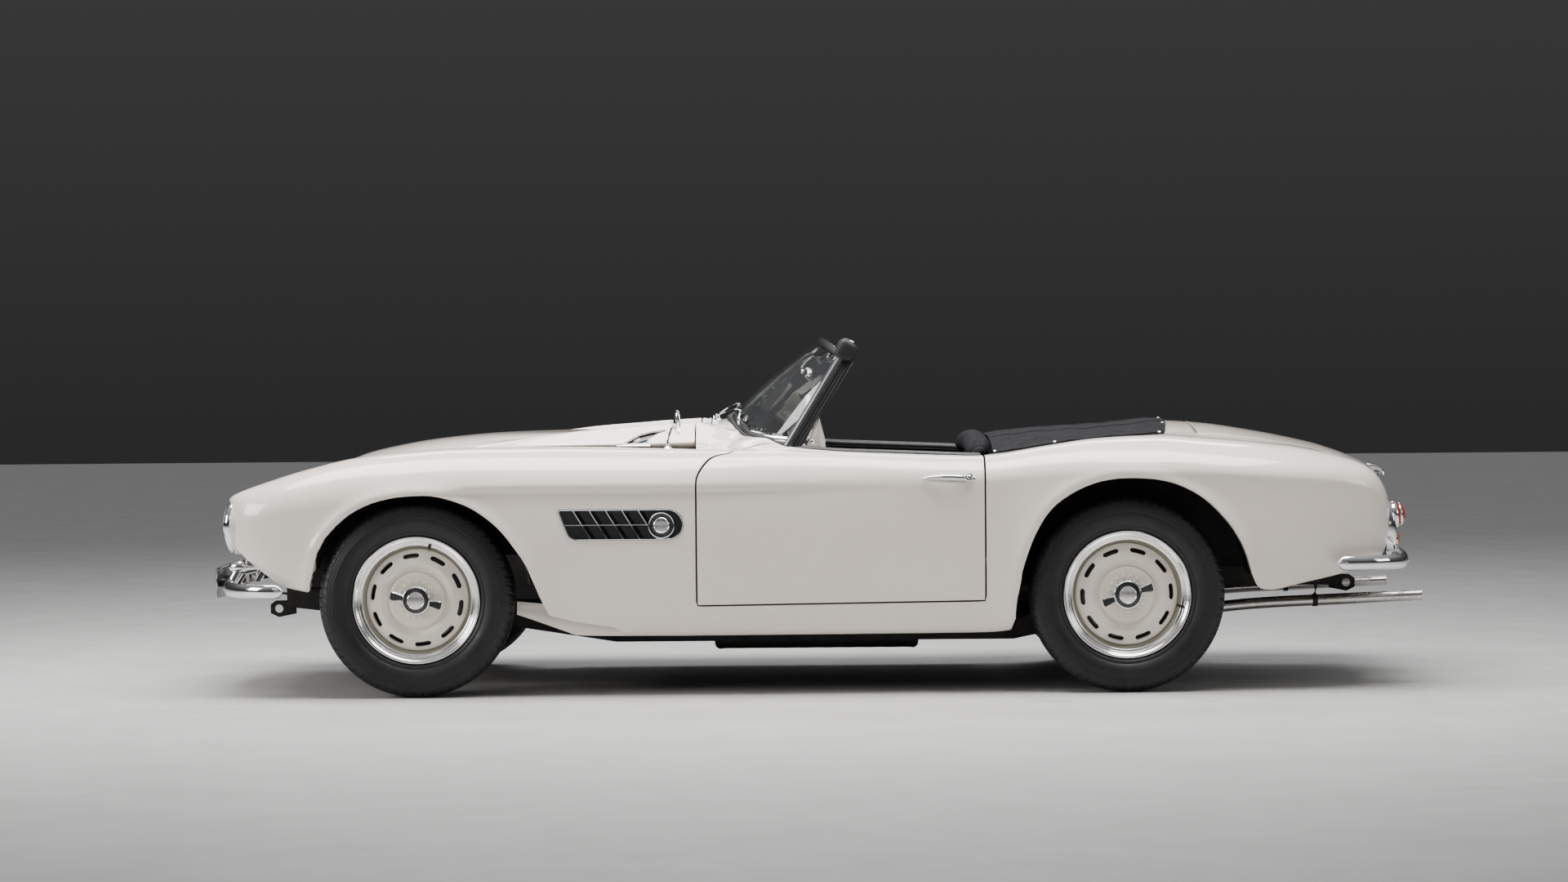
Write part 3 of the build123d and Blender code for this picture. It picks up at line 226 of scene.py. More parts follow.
def offset_out(x, z, zk):
    """How far the skin stands out of its plain section: feature lines and the flares around the wheel openings."""
    out = 1e-3 * CR_F((z - zk) * 1e3) * T_F(x) + 1e-3 * CR_R((z - zk) * 1e3) * T_R(x)
    for arch, hub, tabf, a0, a1 in ((ARCH_F, HUB_F, FL_F, 62, 92), (ARCH_R, HUB_R, FL_R, 66, 92)):
        near = (np.abs(x - hub[0]) < .62) & (z > .2)
        if not np.any(near):
            continue
        ang = np.degrees(np.arctan2(z - hub[1], x - hub[0]))
        wgt = np.where(ang < -90, 1.0, sstep(a0, a1, ang))
        e = poly_dist(x, z, arch[::3] if len(arch) > 60 else arch)
        out = out + np.where(near, 1e-3 * tabf(np.minimum(e, .35) * 1e3) * wgt, 0)
        # a thin rolled lip on the far leg
        out = out + np.where(near, 1e-3 * 1.6 * np.exp(-(e * 1e3 / 9) ** 2) * (1 - wgt), 0)
    return out


# key sections: belt (x, w), inner edge (x, w, z), crown (inward distance, height, slope), foot (inward distance, height), belt height, slope at the inner edge, fullness
KEYS = [
    # Bx, Bw, Ix, Iw, zi, dc, zc, mc, db, zb, zk, mi, rho, pw
    (-2.062, .490, -1.985, .490, .662, .045, .645, .50, .080, .490, .6045, .10, 1.2, 2.2),
    (-2.064, .545, -1.978, .491, .664, .035, .675, .10, .085, .496, .6045, .02, 1.8, 2.2),
    (-2.062, .600, -1.965, .491, .667, .030, .699, .02, .078, .503, .6045, -.05, 2.3, 2.2),
    (-2.050, .655, -1.945, .490, .676, .050, .712, .02, .075, .505, .6045, -.05, 1.9, 2.2),
    (-2.024, .700, -1.920, .490, .688, .092, .730, .03, .065, .496, .608, -.04, 1.3, 2.4),
    (-1.982, .736, -1.890, .490, .699, .125, .746, .02, .055, .468, .616, -.04, 1.0, 2.8),
    (-1.930, .762, -1.855, .490, .714, .145, .762, .02, .050, .436, .627, -.04, .85, 3.0),
    (-1.850, .785, -1.805, .490, .735, .156, .783, .015, .052, .388, .641, -.04, .76, 3.2),
    (-1.750, .8025, -1.730, .4905, .765, .165, .8065, .01, .055, .369, .655, -.03, .70, 3.2),
    (-1.650, .811, -1.645, .492, .799, .172, .829, .01, .055, .345, .676, -.02, .68, 3.2),
]
for _x in (-1.52, -1.38, -1.25, -1.1, -.95, -.8, -.7, -.6, -.5, -.42, -.36, -.3, -.25, -.2, -.165, -.13, -.1, -.06, 0, .1, .2, .3, .416, .5, .567, .604, .64, .68, .735, .791, .84, .891, .984, 1.084, 1.16, 1.23, 1.30, 1.365, 1.45, 1.553, 1.60):
    _w, _wc, _wi = float(WIDE(_x)), float(CROWN_W(_x)), float(VALLEY_W(_x))
    if _x <= -.41:
        _zi, _mi = float(BON_ZV(_x)), 0.0
    elif _x <= -.165:
        _zi = float(cowl_z(_x, _wi))
        _mi = float((cowl_z(_x, _wi - .002) - cowl_z(_x, _wi + .002)) / .004)
    elif _x < .58:
        _zi = float(np.interp(_x, [-.165, -.072, 0, .1, .58], [float(cowl_z(-.165, _wi)), .864, .8565, .8485, .8285]))
        _mi = float(np.interp(_x, [-.165, -.072, 0, .1, .58], [.14, .08, .03, .0, .0]))
    else:
        _zi = float(np.interp(_x, [.58, .69, .8, .95, 1.1, 1.3, 1.5, 1.6], [.8275, .840, .857, .8775, .889, .9005, .887, .874]))
        _mi = float(np.interp(_x, [.58, .8, 1.1, 1.3, 1.6], [.0, .05, .06, .10, .10]))
    KEYS.append((_x, _w, _x, _wi, _zi, _w - _wc, float(CROWN_Z(_x)), 0.0, float(TUCK(_x)), float(LOW_Z(_x)), float(BELT_Z(_x)), _mi, .64, 3.2))
KEYS += [
    (1.700, .790, 1.690, .482, .859, .190, .8515, .015, .055, .372, .7345, .08, .66, 3.2),
    (1.800, .767, 1.775, .479, .841, .183, .8345, .02, .055, .392, .727, .08, .70, 3.2),
    (1.885, .739, 1.845, .475, .822, .172, .817, .03, .055, .410, .716, .09, .78, 3.0),
    (1.955, .704, 1.900, .470, .806, .142, .797, .05, .055, .428, .696, .10, .88, 2.8),
    (2.004, .664, 1.935, .470, .794, .115, .775, .14, .055, .446, .668, .11, .98, 2.6),
    (2.032, .620, 1.955, .470, .786, .092, .752, .36, .058, .458, .632, .16, 1.0, 2.5),
    (2.045, .570, 1.963, .470, .781, .075, .742, .52, .060, .466, .605, .30, 1.0, 2.4),
    (2.052, .520, 1.966, .470, .779, .065, .742, .66, .060, .468, .585, .45, 1.0, 2.4),
    (2.057, .470, 1.968, .470, .778, .060, .745, .72, .060, .468, .570, .60, 1.0, 2.4),
]
KEYS = np.array(KEYS, float)
_bu = np.concatenate([[0], np.cumsum(np.hypot(np.diff(KEYS[:, 0]), np.diff(KEYS[:, 1])))])
U1 = float(_bu[-1])
_names = ["bx", "bw", "ix", "iw", "zi", "dc", "zc", "mc", "db", "zb", "zk", "mi", "rho", "pw"]
SK = {n: Tab(_bu, KEYS[:, i], .012 if n in ("ix", "iw", "zi", "mi") else .018) for i, n in enumerate(_names)}
TV = [0.0, .14, .34, .84]          # metric length given to the three bands of a section


def side_raw(u, t):
    """Point of the left body side, given with positive w, at belt length u and section position t."""
    u, t = np.broadcast_arrays(np.asarray(u, float), np.asarray(t, float))
    g = {n: SK[n](u) for n in _names}
    lx, lw = g["ix"] - g["bx"], g["iw"] - g["bw"]
    L = np.hypot(lx, lw)
    ex, ew = lx / L, lw / L
    dc, zc, mc, zk, zb = g["dc"], g["zc"], g["mc"], g["zk"], g["zb"]
    # crown to inner edge
    s = np.clip(1 - t / TV[1], -.2, 1)
    H = L - dc
    h00, h10, h01, h11 = 2 * s ** 3 - 3 * s ** 2 + 1, s ** 3 - 2 * s ** 2 + s, 3 * s ** 2 - 2 * s ** 3, s ** 3 - s ** 2
    d1, z1 = dc + H * s, h00 * zc + h10 * H * mc + h01 * g["zi"] + h11 * H * g["mi"]
    # belt to crown
    q = np.clip(1 - (t - TV[1]) / (TV[2] - TV[1]), 0, 1)
    w = g["rho"]
    b0, b1, b2 = (1 - q) ** 2, 2 * w * q * (1 - q), q ** 2
    den = b0 + b1 + b2
    d2 = (b2 * dc) / den
    z2 = (b0 * zk + b1 * (zc - mc * dc) + b2 * zc) / den
    # belt to foot
    r = np.clip((t - TV[2]) / (TV[3] - TV[2]), 0, 1)
    ss = 1 - (1 - r) ** 1.35
    z3 = zk - ss * (zk - zb)
    d3 = g["db"] * (1 - np.sqrt(np.clip(1 - ss ** g["pw"], 0, 1)))
    d = np.where(t < TV[1], d1, np.where(t < TV[2], d2, d3))
    z = np.where(t < TV[1], z1, np.where(t < TV[2], z2, z3))
    x0 = g["bx"] + ex * d
    off = offset_out(x0, z, zk) * sstep(0.0, TV[1], t)
    d = d - off
    return np.stack([g["bx"] + ex * d, g["bw"] + ew * d, z], -1)


def normals_of(f, a, b, ea=.0015, eb=.0012):
    a, b = np.asarray(a, float), np.asarray(b, float)
    da = f(a + ea, b) - f(a - ea, b)
    db = f(a, b + eb) - f(a, b - eb)
    n = np.cross(da, db)
    return n / np.maximum(np.linalg.norm(n, axis=-1, keepdims=True), 1e-12)


def invert(f, comps, targets, ra, rb, na=420, nb=220):
    """Parameters at which two coordinates of f take the wanted values."""
    ga, gb = np.meshgrid(np.linspace(*ra, na), np.linspace(*rb, nb), indexing="ij")
    P = f(ga, gb)[..., list(comps)]
    out = []
    for tgt in targets:
        k = np.argmin(((P - np.asarray(tgt)) ** 2).sum(-1))
        out.append((ga.flat[k], gb.flat[k]))
    q = np.array(out)
    tgt = np.asarray(targets, float)
    for _ in range(6):
        e = 2e-4
        p0 = f(q[:, 0], q[:, 1])[..., list(comps)]
        pa = (f(q[:, 0] + e, q[:, 1])[..., list(comps)] - p0) / e
        pb = (f(q[:, 0], q[:, 1] + e)[..., list(comps)] - p0) / e
        r = tgt - p0
        det = pa[:, 0] * pb[:, 1] - pa[:, 1] * pb[:, 0]
        det = np.where(np.abs(det) < 1e-4, 1e-4, det)
        sa = (r[:, 0] * pb[:, 1] - r[:, 1] * pb[:, 0]) / det
        sb = (pa[:, 0] * r[:, 1] - pa[:, 1] * r[:, 0]) / det
        q[:, 0] = np.clip(q[:, 0] + np.clip(sa, -.02, .02), *ra)
        q[:, 1] = np.clip(q[:, 1] + np.clip(sb, -.02, .02), *rb)
    return q


# =============================================================== mesh helpers
def link(o):
    bpy.context.scene.collection.objects.link(o)
    return o


MATS = {}


def make(name, verts, faces, mat=None, body="body", smooth=True, normals=None, replaces=None):
    me = bpy.data.meshes.new(name)
    me.from_pydata(np.asarray(verts, float).tolist(), [], [tuple(int(i) for i in f) for f in faces])
    me.validate(verbose=False)
    if smooth:
        me.shade_smooth()
    if normals is not None and len(normals) == len(me.vertices):
        me.normals_split_custom_set_from_vertices(np.asarray(normals, float).tolist())
    o = link(bpy.data.objects.new(name, me))
    if mat:
        for m in (mat if isinstance(mat, (list, tuple)) else [mat]):
            me.materials.append(MATS[m])
    # faces inside a shut line take the black trim material: painted shade in the gap
    if getattr(faces, "shade_faces", None) and len(me.polygons) == len(faces):
        me.materials.append(MATS["black_trim"])
        for i in faces.shade_faces:
            me.polygons[i].material_index = len(me.materials) - 1
    if body:
        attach(o, body)
    if replaces:
        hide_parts(*([replaces] if isinstance(replaces, str) else replaces))
    return o


def inside(px, py, loops):
    """Even-odd test of many points against closed loops."""
    c = np.zeros(px.shape, bool)
    for lp in loops:
        x0, y0 = lp[:, 0], lp[:, 1]
        x1, y1 = np.roll(x0, -1), np.roll(y0, -1)
        for i in range(len(lp)):
            if y0[i] == y1[i]:
                continue
            m = (y0[i] > py) != (y1[i] > py)
            xi = (x1[i] - x0[i]) * (py - y0[i]) / (y1[i] - y0[i]) + x0[i]
            c ^= m & (px < xi)
    return c


def loop_dist(px, py, lp):
    best = np.full(px.shape, 1e9)
    q = np.vstack([lp, lp[:1]])
    for (ax, ay), (bx, by) in zip(q[:-1], q[1:]):
        dx, dy = bx - ax, by - ay
        L = dx * dx + dy * dy
        if L < 1e-14:
            continue
        t = np.clip(((px - ax) * dx + (py - ay) * dy) / L, 0, 1)
        best = np.minimum(best, np.hypot(px - ax - t * dx, py - ay - t * dy))
    return best


class FaceList(list):
    """Faces, with the numbers of those that lie inside a shut line; make() gives these faces the black trim material as
    painted shade in the gap.
    """

    def __init__(self, it=(), shade_faces=()):
        super().__init__(it)
        self.shade_faces = set(shade_faces)


def skin(f, loops, us, ts, kinds, roll=.0035, flange=.015, keep=.004, flip=False):
    """Triangles of the surface f inside the loops (the first is the outline), with rolled edges.
    kinds[i] is, per loop, an array of one flange depth per edge: 0 for a butt seam."""
    loops = [np.asarray(l, float) for l in loops]
    gu, gt = np.meshgrid(us, ts, indexing="ij")
    gu, gt = gu.ravel(), gt.ravel()
    lo, hi = loops[0].min(0), loops[0].max(0)
    m = (gu > lo[0]) & (gu < hi[0]) & (gt > lo[1]) & (gt < hi[1])
    gu, gt = gu[m], gt[m]
    m = inside(gu, gt, loops)
    gu, gt = gu[m], gt[m]
    for l in loops:
        m = loop_dist(gu, gt, l) > keep
        gu, gt = gu[m], gt[m]
    pts = [tuple(p) for l in loops for p in l] + list(zip(gu.tolist(), gt.tolist()))
    edges, base = [], 0
    for l in loops:
        n = len(l)
        edges += [(base + i, base + (i + 1) % n) for i in range(n)]
        base += n
    vo, eo, fo, *_ = geometry.delaunay_2d_cdt([Vector(p) for p in pts], edges, [], 0, 1e-7)
    V = np.array([tuple(v) for v in vo])
    F = np.array([f_ for f_ in fo if len(f_) == 3])
    c = V[F].mean(1)
    F = F[inside(c[:, 0], c[:, 1], loops)]
    P, N = f(V[:, 0], V[:, 1]), normals_of(f, V[:, 0], V[:, 1])
    # make faces agree with normals
    fn = np.cross(P[F[:, 1]] - P[F[:, 0]], P[F[:, 2]] - P[F[:, 0]])
    if flip:
        N = -N
    bad = (fn * N[F].mean(1)).sum(1) < 0
    F[bad] = F[bad][:, ::-1]
    verts, norms, faces = [P], [N], FaceList([tuple(r) for r in F])
    nv = len(P)
    for li, l in enumerate(loops):
        n = len(l)
        kd = np.asarray(kinds[li], float) * np.ones(n)
        if not np.any(kd):
            continue
        nxt, prv = np.roll(l, -1, 0), np.roll(l, 1, 0)
        tg = nxt - prv
        area = 0.5 * np.sum(l[:, 0] * nxt[:, 1] - nxt[:, 0] * l[:, 1])
        out2 = np.stack([tg[:, 1], -tg[:, 0]], 1) * (1 if area > 0 else -1)
        if li > 0:
            out2 = -out2
        out2 /= np.maximum(np.linalg.norm(out2, axis=1, keepdims=True), 1e-12)
        Pb = f(l[:, 0], l[:, 1])
        Nb = normals_of(f, l[:, 0], l[:, 1]) * (-1 if flip else 1)
        e = 3e-4
        T = f(l[:, 0] + out2[:, 0] * e, l[:, 1] + out2[:, 1] * e) - Pb
        tau = np.roll(Pb, -1, 0) - np.roll(Pb, 1, 0)
        tau /= np.maximum(np.linalg.norm(tau, axis=1, keepdims=True), 1e-12)
        C = np.cross(tau, Nb)
        sgn = np.sign((C * T).sum(1, keepdims=True))
        sgn[sgn == 0] = 1
        T = C * sgn
        T /= np.maximum(np.linalg.norm(T, axis=1, keepdims=True), 1e-12)
        kv = np.maximum(kd, np.roll(kd, 1))
        rows, rn = [Pb], [Nb]
        for a in (30, 60, 90):
            a = math.radians(a)
            rows.append(Pb + T * roll * math.sin(a) - Nb * roll * (1 - math.cos(a)))
            rn.append(Nb * math.cos(a) + T * math.sin(a))
        rows.append(rows[-1] - Nb * kv[:, None])
        rn.append(T)
        k = len(rows)
        start = nv
        verts.append(np.concatenate(rows))
        norms.append(np.concatenate(rn))
        nv += k * n
        for j in range(k - 1):
            for i in range(n):
                if kd[i] == 0:
                    continue
                i2 = (i + 1) % n
                a, b, c_, d = start + j * n + i, start + j * n + i2, start + (j + 1) * n + i2, start + (j + 1) * n + i
                q0 = rows[j][i2] - rows[j][i]
                q1 = rows[j + 1][i] - rows[j][i]
                nn = np.cross(q0, q1)
                # the innermost rows of a door or top shut line are marked for black: painted shade deep in the gap
                if j >= k - 3 and kd[i] == .016 or j >= k - 2 and kd[i] == .010:
                    faces.shade_faces.add(len(faces))
                faces.append((a, b, c_, d) if (nn * (rn[j][i] + rn[j + 1][i])).sum() > 0 else (d, c_, b, a))
    return np.concatenate(verts), np.concatenate(norms), faces


def both_sides(name_l, name_r, V, N, faces, mat, body_l="body", body_r="body", rep_l=None, rep_r=None):
    """V has positive w; the left side of the car is -Y."""
    L, NL = V * [1, -1, 1], N * [1, -1, 1]
    a = make(name_l, L, FaceList([tuple(f)[::-1] for f in faces], getattr(faces, "shade_faces", ())), mat, body_l, normals=NL, replaces=rep_l)
    b = make(name_r, V, faces, mat, body_r, normals=N, replaces=rep_r)
    return a, b


# =============================================================== body panels
U_OF_X = lambda x: float(np.interp(x, KEYS[:, 0][2:-2], _bu[2:-2]))     # along the belt, away from the ends
GAPE = .0120                                                            # lip offset that leaves a shut line


def xz_to_ut(pts, ra=None, rb=(.145, .8395)):
    ra = ra or (0.0, U1)
    return invert(side_raw, (0, 2), pts, ra, rb)


def ut_line(p, q, step=.012):
    p, q = np.asarray(p, float), np.asarray(q, float)
    n = max(2, int(np.linalg.norm(q - p) / step) + 1)
    return np.linspace(p, q, n)


def chain(*parts):
    """Joins polylines into one closed loop with a flange depth per edge. parts: (points, flange)."""
    P, K = [], []
    for pts, k in parts:
        pts = np.asarray(pts, float)
        P.append(pts[:-1])
        K += [k] * (len(pts) - 1)
    return np.concatenate(P), np.array(K, float)


UG = np.concatenate([np.arange(0, .55, .010), np.arange(.55, U1 - .5, .014), np.arange(U1 - .5, U1 + .005, .010)])
TG = np.unique(np.round(np.concatenate([np.arange(0, .14, .013), np.arange(.14, .26, .012), np.arange(.26, .325, .007), np.arange(.325, .36, .0035), np.arange(.36, .44, .008), np.arange(.44, .78, .014), np.arange(.78, .845, .008)]), 5))
UF_END = U_OF_X(-.3975)        # rear end of the front wing below the crown

# the door's edge, in (u, t): the upright front edge, the swept corner, then inwards to the foot of the windscreen
_corner = xz_to_ut([(-.3950, .7239), (-.3920, .7600), (-.3745, .7945), (-.3465, .8255), (-.3140, .8385), (-.2800, .8455)], ra=(U_OF_X(-.5), U_OF_X(-.1)), rb=(.10, .5))
_top = [(U_OF_X(-.225), .108), (U_OF_X(-.15), .060), (U_OF_X(-.09), .020), (U_OF_X(-.066), .0)]
DOOR_CORNER = smooth_line(np.vstack([_corner, _top]), .008)
_db = xz_to_ut([(x, z) for x, z in zip(np.linspace(-.395, .600, 60), np.linspace(.3205, .3307, 60))], ra=(U_OF_X(-.5), U_OF_X(.7)), rb=(.36, .8395))
_df = np.array([(U_OF_X(-.395), t) for t in np.linspace(_db[0, 1], DOOR_CORNER[0, 1], 40)])
_rc = xz_to_ut([(.6000, .790), (.5985, .806), (.5925, .8175), (.5800, .826)], ra=(U_OF_X(.4), U_OF_X(.7)), rb=(.10, .5))
_dr = np.vstack([[(U_OF_X(.600), t) for t in np.linspace(_db[-1, 1], _rc[0, 1] + .012, 40)]])


def offset_loop(P, d):
    """Moves a closed loop outwards by d (inwards if negative), in the parameter plane."""
    P = np.asarray(P, float)
    nxt, prv = np.roll(P, -1, 0), np.roll(P, 1, 0)
    tg = nxt - prv
    area = 0.5 * np.sum(P[:, 0] * nxt[:, 1] - nxt[:, 0] * P[:, 1])
    n = np.stack([tg[:, 1], -tg[:, 0]], 1) * (1 if area > 0 else -1)
    n /= np.maximum(np.linalg.norm(n, axis=1, keepdims=True), 1e-12)
    return P + n * d


_door_rear = [(U_OF_X(.600), t) for t in np.linspace(_db[-1, 1], .20, 44)] + [(U_OF_X(.600), .175), (U_OF_X(.5995), .150), (U_OF_X(.5985), .120), (U_OF_X(.598), .06), (U_OF_X(.598), .0)]
_door_top = ut_line((U_OF_X(.598), 0.0), (U_OF_X(-.066), 0.0), .014)
DOOR_LOOP, DOOR_K = chain((_df[::-1], .016), (_db, .016), (_door_rear, .016), (_door_top, .010), (DOOR_CORNER[::-1], .016))


def poly_gap(px, pz, line):
    """Distance from points to an open line."""
    sh = px.shape
    p = np.stack([px.ravel(), pz.ravel()], 1)
    out = np.full(len(p), 9.0)
    a, b = line[:-1], line[1:]
    ab = b - a
    L2 = np.maximum((ab ** 2).sum(1), 1e-12)
    for k in range(0, len(p), 4000):
        q = p[k:k + 4000, None, :] - a[None]
        t = np.clip((q * ab).sum(-1) / L2, 0, 1)
        out[k:k + 4000] = np.sqrt(((q - t[..., None] * ab) ** 2).sum(-1)).min(1)
    return out.reshape(sh)


def wing_surface(line):
    line = resample(np.asarray(line, float), .012)

    def f(u, t):
        P = side_raw(u, t)
        d = poly_gap(P[..., 0], P[..., 2], line)
        P = P.copy()
        P[..., 1] += .0120 * np.exp(-(d / .027) ** 2)
        return P
    return f


def build_body_panels():
    # ---------- front wing: nose seam, bonnet gutter, scuttle seam, door gap, lower edge, wheel opening
    g = GAPE
    corner_w = offset_loop(DOOR_LOOP, g)            # the wings' side of the shut line
    nd = [len(_df) - 1, len(_db) - 1, len(_door_rear) - 1, len(_door_top) - 1, len(DOOR_CORNER) - 1]
    i0 = 0
    segs = []
    for n_ in nd:
        segs.append(np.vstack([corner_w[i0:i0 + n_], corner_w[(i0 + n_) % len(corner_w)][None]]))
        i0 += n_
    w_front, w_bottom, w_rear, _, w_corner = segs   # w_front runs down, w_corner runs from the pillar foot forward and down
    # arch leg crossings
    archf = xz_to_ut(ARCH_F, ra=(U_OF_X(-1.8), U_OF_X(-.8)), rb=(.2, .8395))
    a0, a1 = archf[0], archf[-1]
    low = xz_to_ut([(-.9142, .2884), (-.9000, .2830), (-.8708, .2756), (-.830, .2660), (-.762, .2530), (-.690, .2420)], ra=(U_OF_X(-1.0), U_OF_X(-.3)), rb=(.5, .8395))
    uS = float(w_bottom[0, 0]) - .001
    end_t = TV[3]
    sill_join = ut_line((uS, float(w_bottom[0, 1])), (uS, end_t - .0005), .010)
    low2 = np.vstack([low[-1], [(u, float(np.interp(u, [low[-1, 0], low[-1, 0] + .05, uS], [low[-1, 1], end_t - .012, end_t - .0005]))) for u in np.linspace(low[-1, 0] + .012, uS, 30)]])
    front_low_u = np.linspace(0, a0[0] - .014, 70)
    foot = np.stack([front_low_u, np.full(70, end_t - .0005)], 1)
    foot = np.vstack([foot, [(a0[0] - .006, end_t - .006), tuple(a0)]])
    nose_seam = ut_line((0, 0), (0, end_t - .0005), .010)
    bon = ut_line((0, 0.0), (U_OF_X(-.409), 0.0), .012)
    cow = ut_line((U_OF_X(-.409), 0.0), (U_OF_X(-.066), 0.0), .010)
    pillar = np.array([cow[-1], w_corner[0]])
    # w_corner starts near (u(-.066), <0): trim the part with t < 0
    wc = w_corner[w_corner[:, 1] > .004]
    loop, kinds = chain((foot, .012), (archf, .030), (low, .014), (low2, .008), (sill_join[::-1], 0), (np.vstack([sill_join[0], w_front[::-1]]), .016),
                        (np.vstack([w_front[0], wc[::-1]]), .016), (np.vstack([wc[0], cow[::-1]]), .010), (cow[::-1], 0), (bon[::-1], .018), (nose_seam, 0))
    # loop runs: foot (front to arch) ... back along the top to the nose, then down the seam
    keep = np.ones(len(loop), bool)
    d = np.linalg.norm(loop - np.roll(loop, 1, 0), axis=1)
    keep[d < 1e-6] = False
    loop, kinds = loop[keep], kinds[keep]
    lamp = LAMP_LOOP
    V, N, F = skin(wing_surface(ARCH_F), [loop, lamp, VENT_LOOP], UG, TG, [kinds, .02, .03], keep=.0045)
    both_sides("front_wing_panel_left", "front_wing_panel_right", V, N, F, "paint", rep_l="front_wing_left", rep_r="front_wing_right")

    # ---------- sill below the door
    wb = w_bottom
    U_SILL = float(w_bottom[-1, 0]) + .001
    sl = np.vstack([[(uS, wb[0, 1])], wb, [(U_SILL, wb[-1, 1])]])
    sl = sl[np.concatenate([[True], np.linalg.norm(np.diff(sl, axis=0), axis=1) > 1e-5])]
    sill_r = ut_line((U_SILL, float(wb[-1, 1])), (U_SILL, end_t - .0005), .010)
    sill_b = ut_line((U_SILL, end_t - .0005), (uS, end_t - .0005), .014)
    loop, kinds = chain((sl, .016), (sill_r, 0), (sill_b, .020), (sill_join[::-1], 0))
    V, N, F = skin(side_raw, [loop], UG, TG, [kinds], keep=.0045)
    a, b = both_sides("sill_panel_left", "sill_panel_right", V, N, F, "paint")
    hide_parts("sills")

    # ---------- rear wing
    archr = xz_to_ut(ARCH_R, ra=(U_OF_X(.62), U_OF_X(1.75)), rb=(.2, .8395))
    foot_r = np.array([(u, end_t - .0005) for u in np.linspace(U_SILL, archr[0, 0] - .012, 10)])
    foot_r = np.vstack([foot_r, archr[0]])
    foot2 = np.array([(u, end_t - .0005) for u in np.linspace(archr[-1, 0] + .015, U1, 70)])
    foot2 = np.vstack([archr[-1], foot2])
    tail_seam = ut_line((U1, end_t - .0005), (U1, 0.0), .010)
    topline = ut_line((U1, 0.0), (float(w_rear[-1, 0]), 0.0), .012)
    rearedge = w_rear[w_rear[:, 1] > .003]            # from the door's bottom rear corner upwards
    up = np.vstack([topline[-1], rearedge[::-1], sill_r[0]])
    loop, kinds = chain((sill_r, 0), (foot_r, .014), (archr, .030), (foot2, .012), (tail_seam, 0), (topline, .015), (up, .016))
    d = np.linalg.norm(loop - np.roll(loop, 1, 0), axis=1)
    keep = d > 1e-6
    loop, kinds = loop[keep], kinds[keep]
    V, N, F = skin(wing_surface(ARCH_R), [loop], UG, TG, [kinds], keep=.0045)
    both_sides("rear_wing_panel_left", "rear_wing_panel_right", V, N, F, "paint", rep_l="rear_wing_left", rep_r="rear_wing_right")

    # ---------- doors
    V, N, F = skin(side_raw, [DOOR_LOOP], UG, TG, [DOOR_K], keep=.0045)
    both_sides("door_skin_left", "door_skin_right", V, N, F, "paint", "door_left", "door_right", rep_l="door_left", rep_r="door_right")


# headlamp hole: a ring of radius .1 round the lamp centre, seen from the front
_th = np.linspace(0, 2 * PI, 64, endpoint=False)
LAMP_C = (-2.047, .600, .6045)
LAMP_LOOP = invert(side_raw, (1, 2), [(.600 + .0935 * math.cos(a), .6045 + .0935 * math.sin(a)) for a in _th], (0.0, .26), (.10, .80))


def rounded_outline(pts, r, n=6):
    """Closed polygon with rounded corners."""
    P = [np.array(p, float) for p in pts]
    R = r if hasattr(r, "__len__") else [r] * len(P)
    out = []
    for i, p in enumerate(P):
        a, b = P[i - 1] - p, P[(i + 1) % len(P)] - p
        la, lb = np.linalg.norm(a), np.linalg.norm(b)
        ua, ub = a / la, b / lb
        ang = math.acos(np.clip(ua @ ub, -1, 1))
        c = min(R[i] / math.tan(ang / 2), la * .49, lb * .49)
        rr = c * math.tan(ang / 2)
        bis = (ua + ub) / np.linalg.norm(ua + ub)
        cen = p + bis * rr / math.sin(ang / 2)
        s, e = p + ua * c - cen, p + ub * c - cen
        t0, t1 = math.atan2(s[1], s[0]), math.atan2(e[1], e[0])
        dt = (t1 - t0 + PI) % (2 * PI) - PI
        out += [cen + rr * np.array([math.cos(t0 + dt * k / n), math.sin(t0 + dt * k / n)]) for k in range(n + 1)]
    return np.array(out)


# side vent outline in (x, z): pointed front end, half-round rear end
VX0, VX1, VZ0, VZ1 = -.9005, -.4425, .5435, .6590
_vc = ((VX1 - .058), .60125)
_vent = [(VX0 + .012, VZ1)] + [(_vc[0] + .058 * math.cos(a), _vc[1] + .0578 * math.sin(a)) for a in np.linspace(PI / 2, -PI / 2, 25)] + [(VX0 + .080, VZ0), (VX0 + .052, VZ0 + .012)]
VENT_XZ = resample(rounded_outline(_vent, [.010] + [.001] * 25 + [.030, .03], 5), .010, closed=True)
VENT_LOOP = invert(side_raw, (0, 2), VENT_XZ, (U_OF_X(-1.0), U_OF_X(-.35)), (.34, .70))


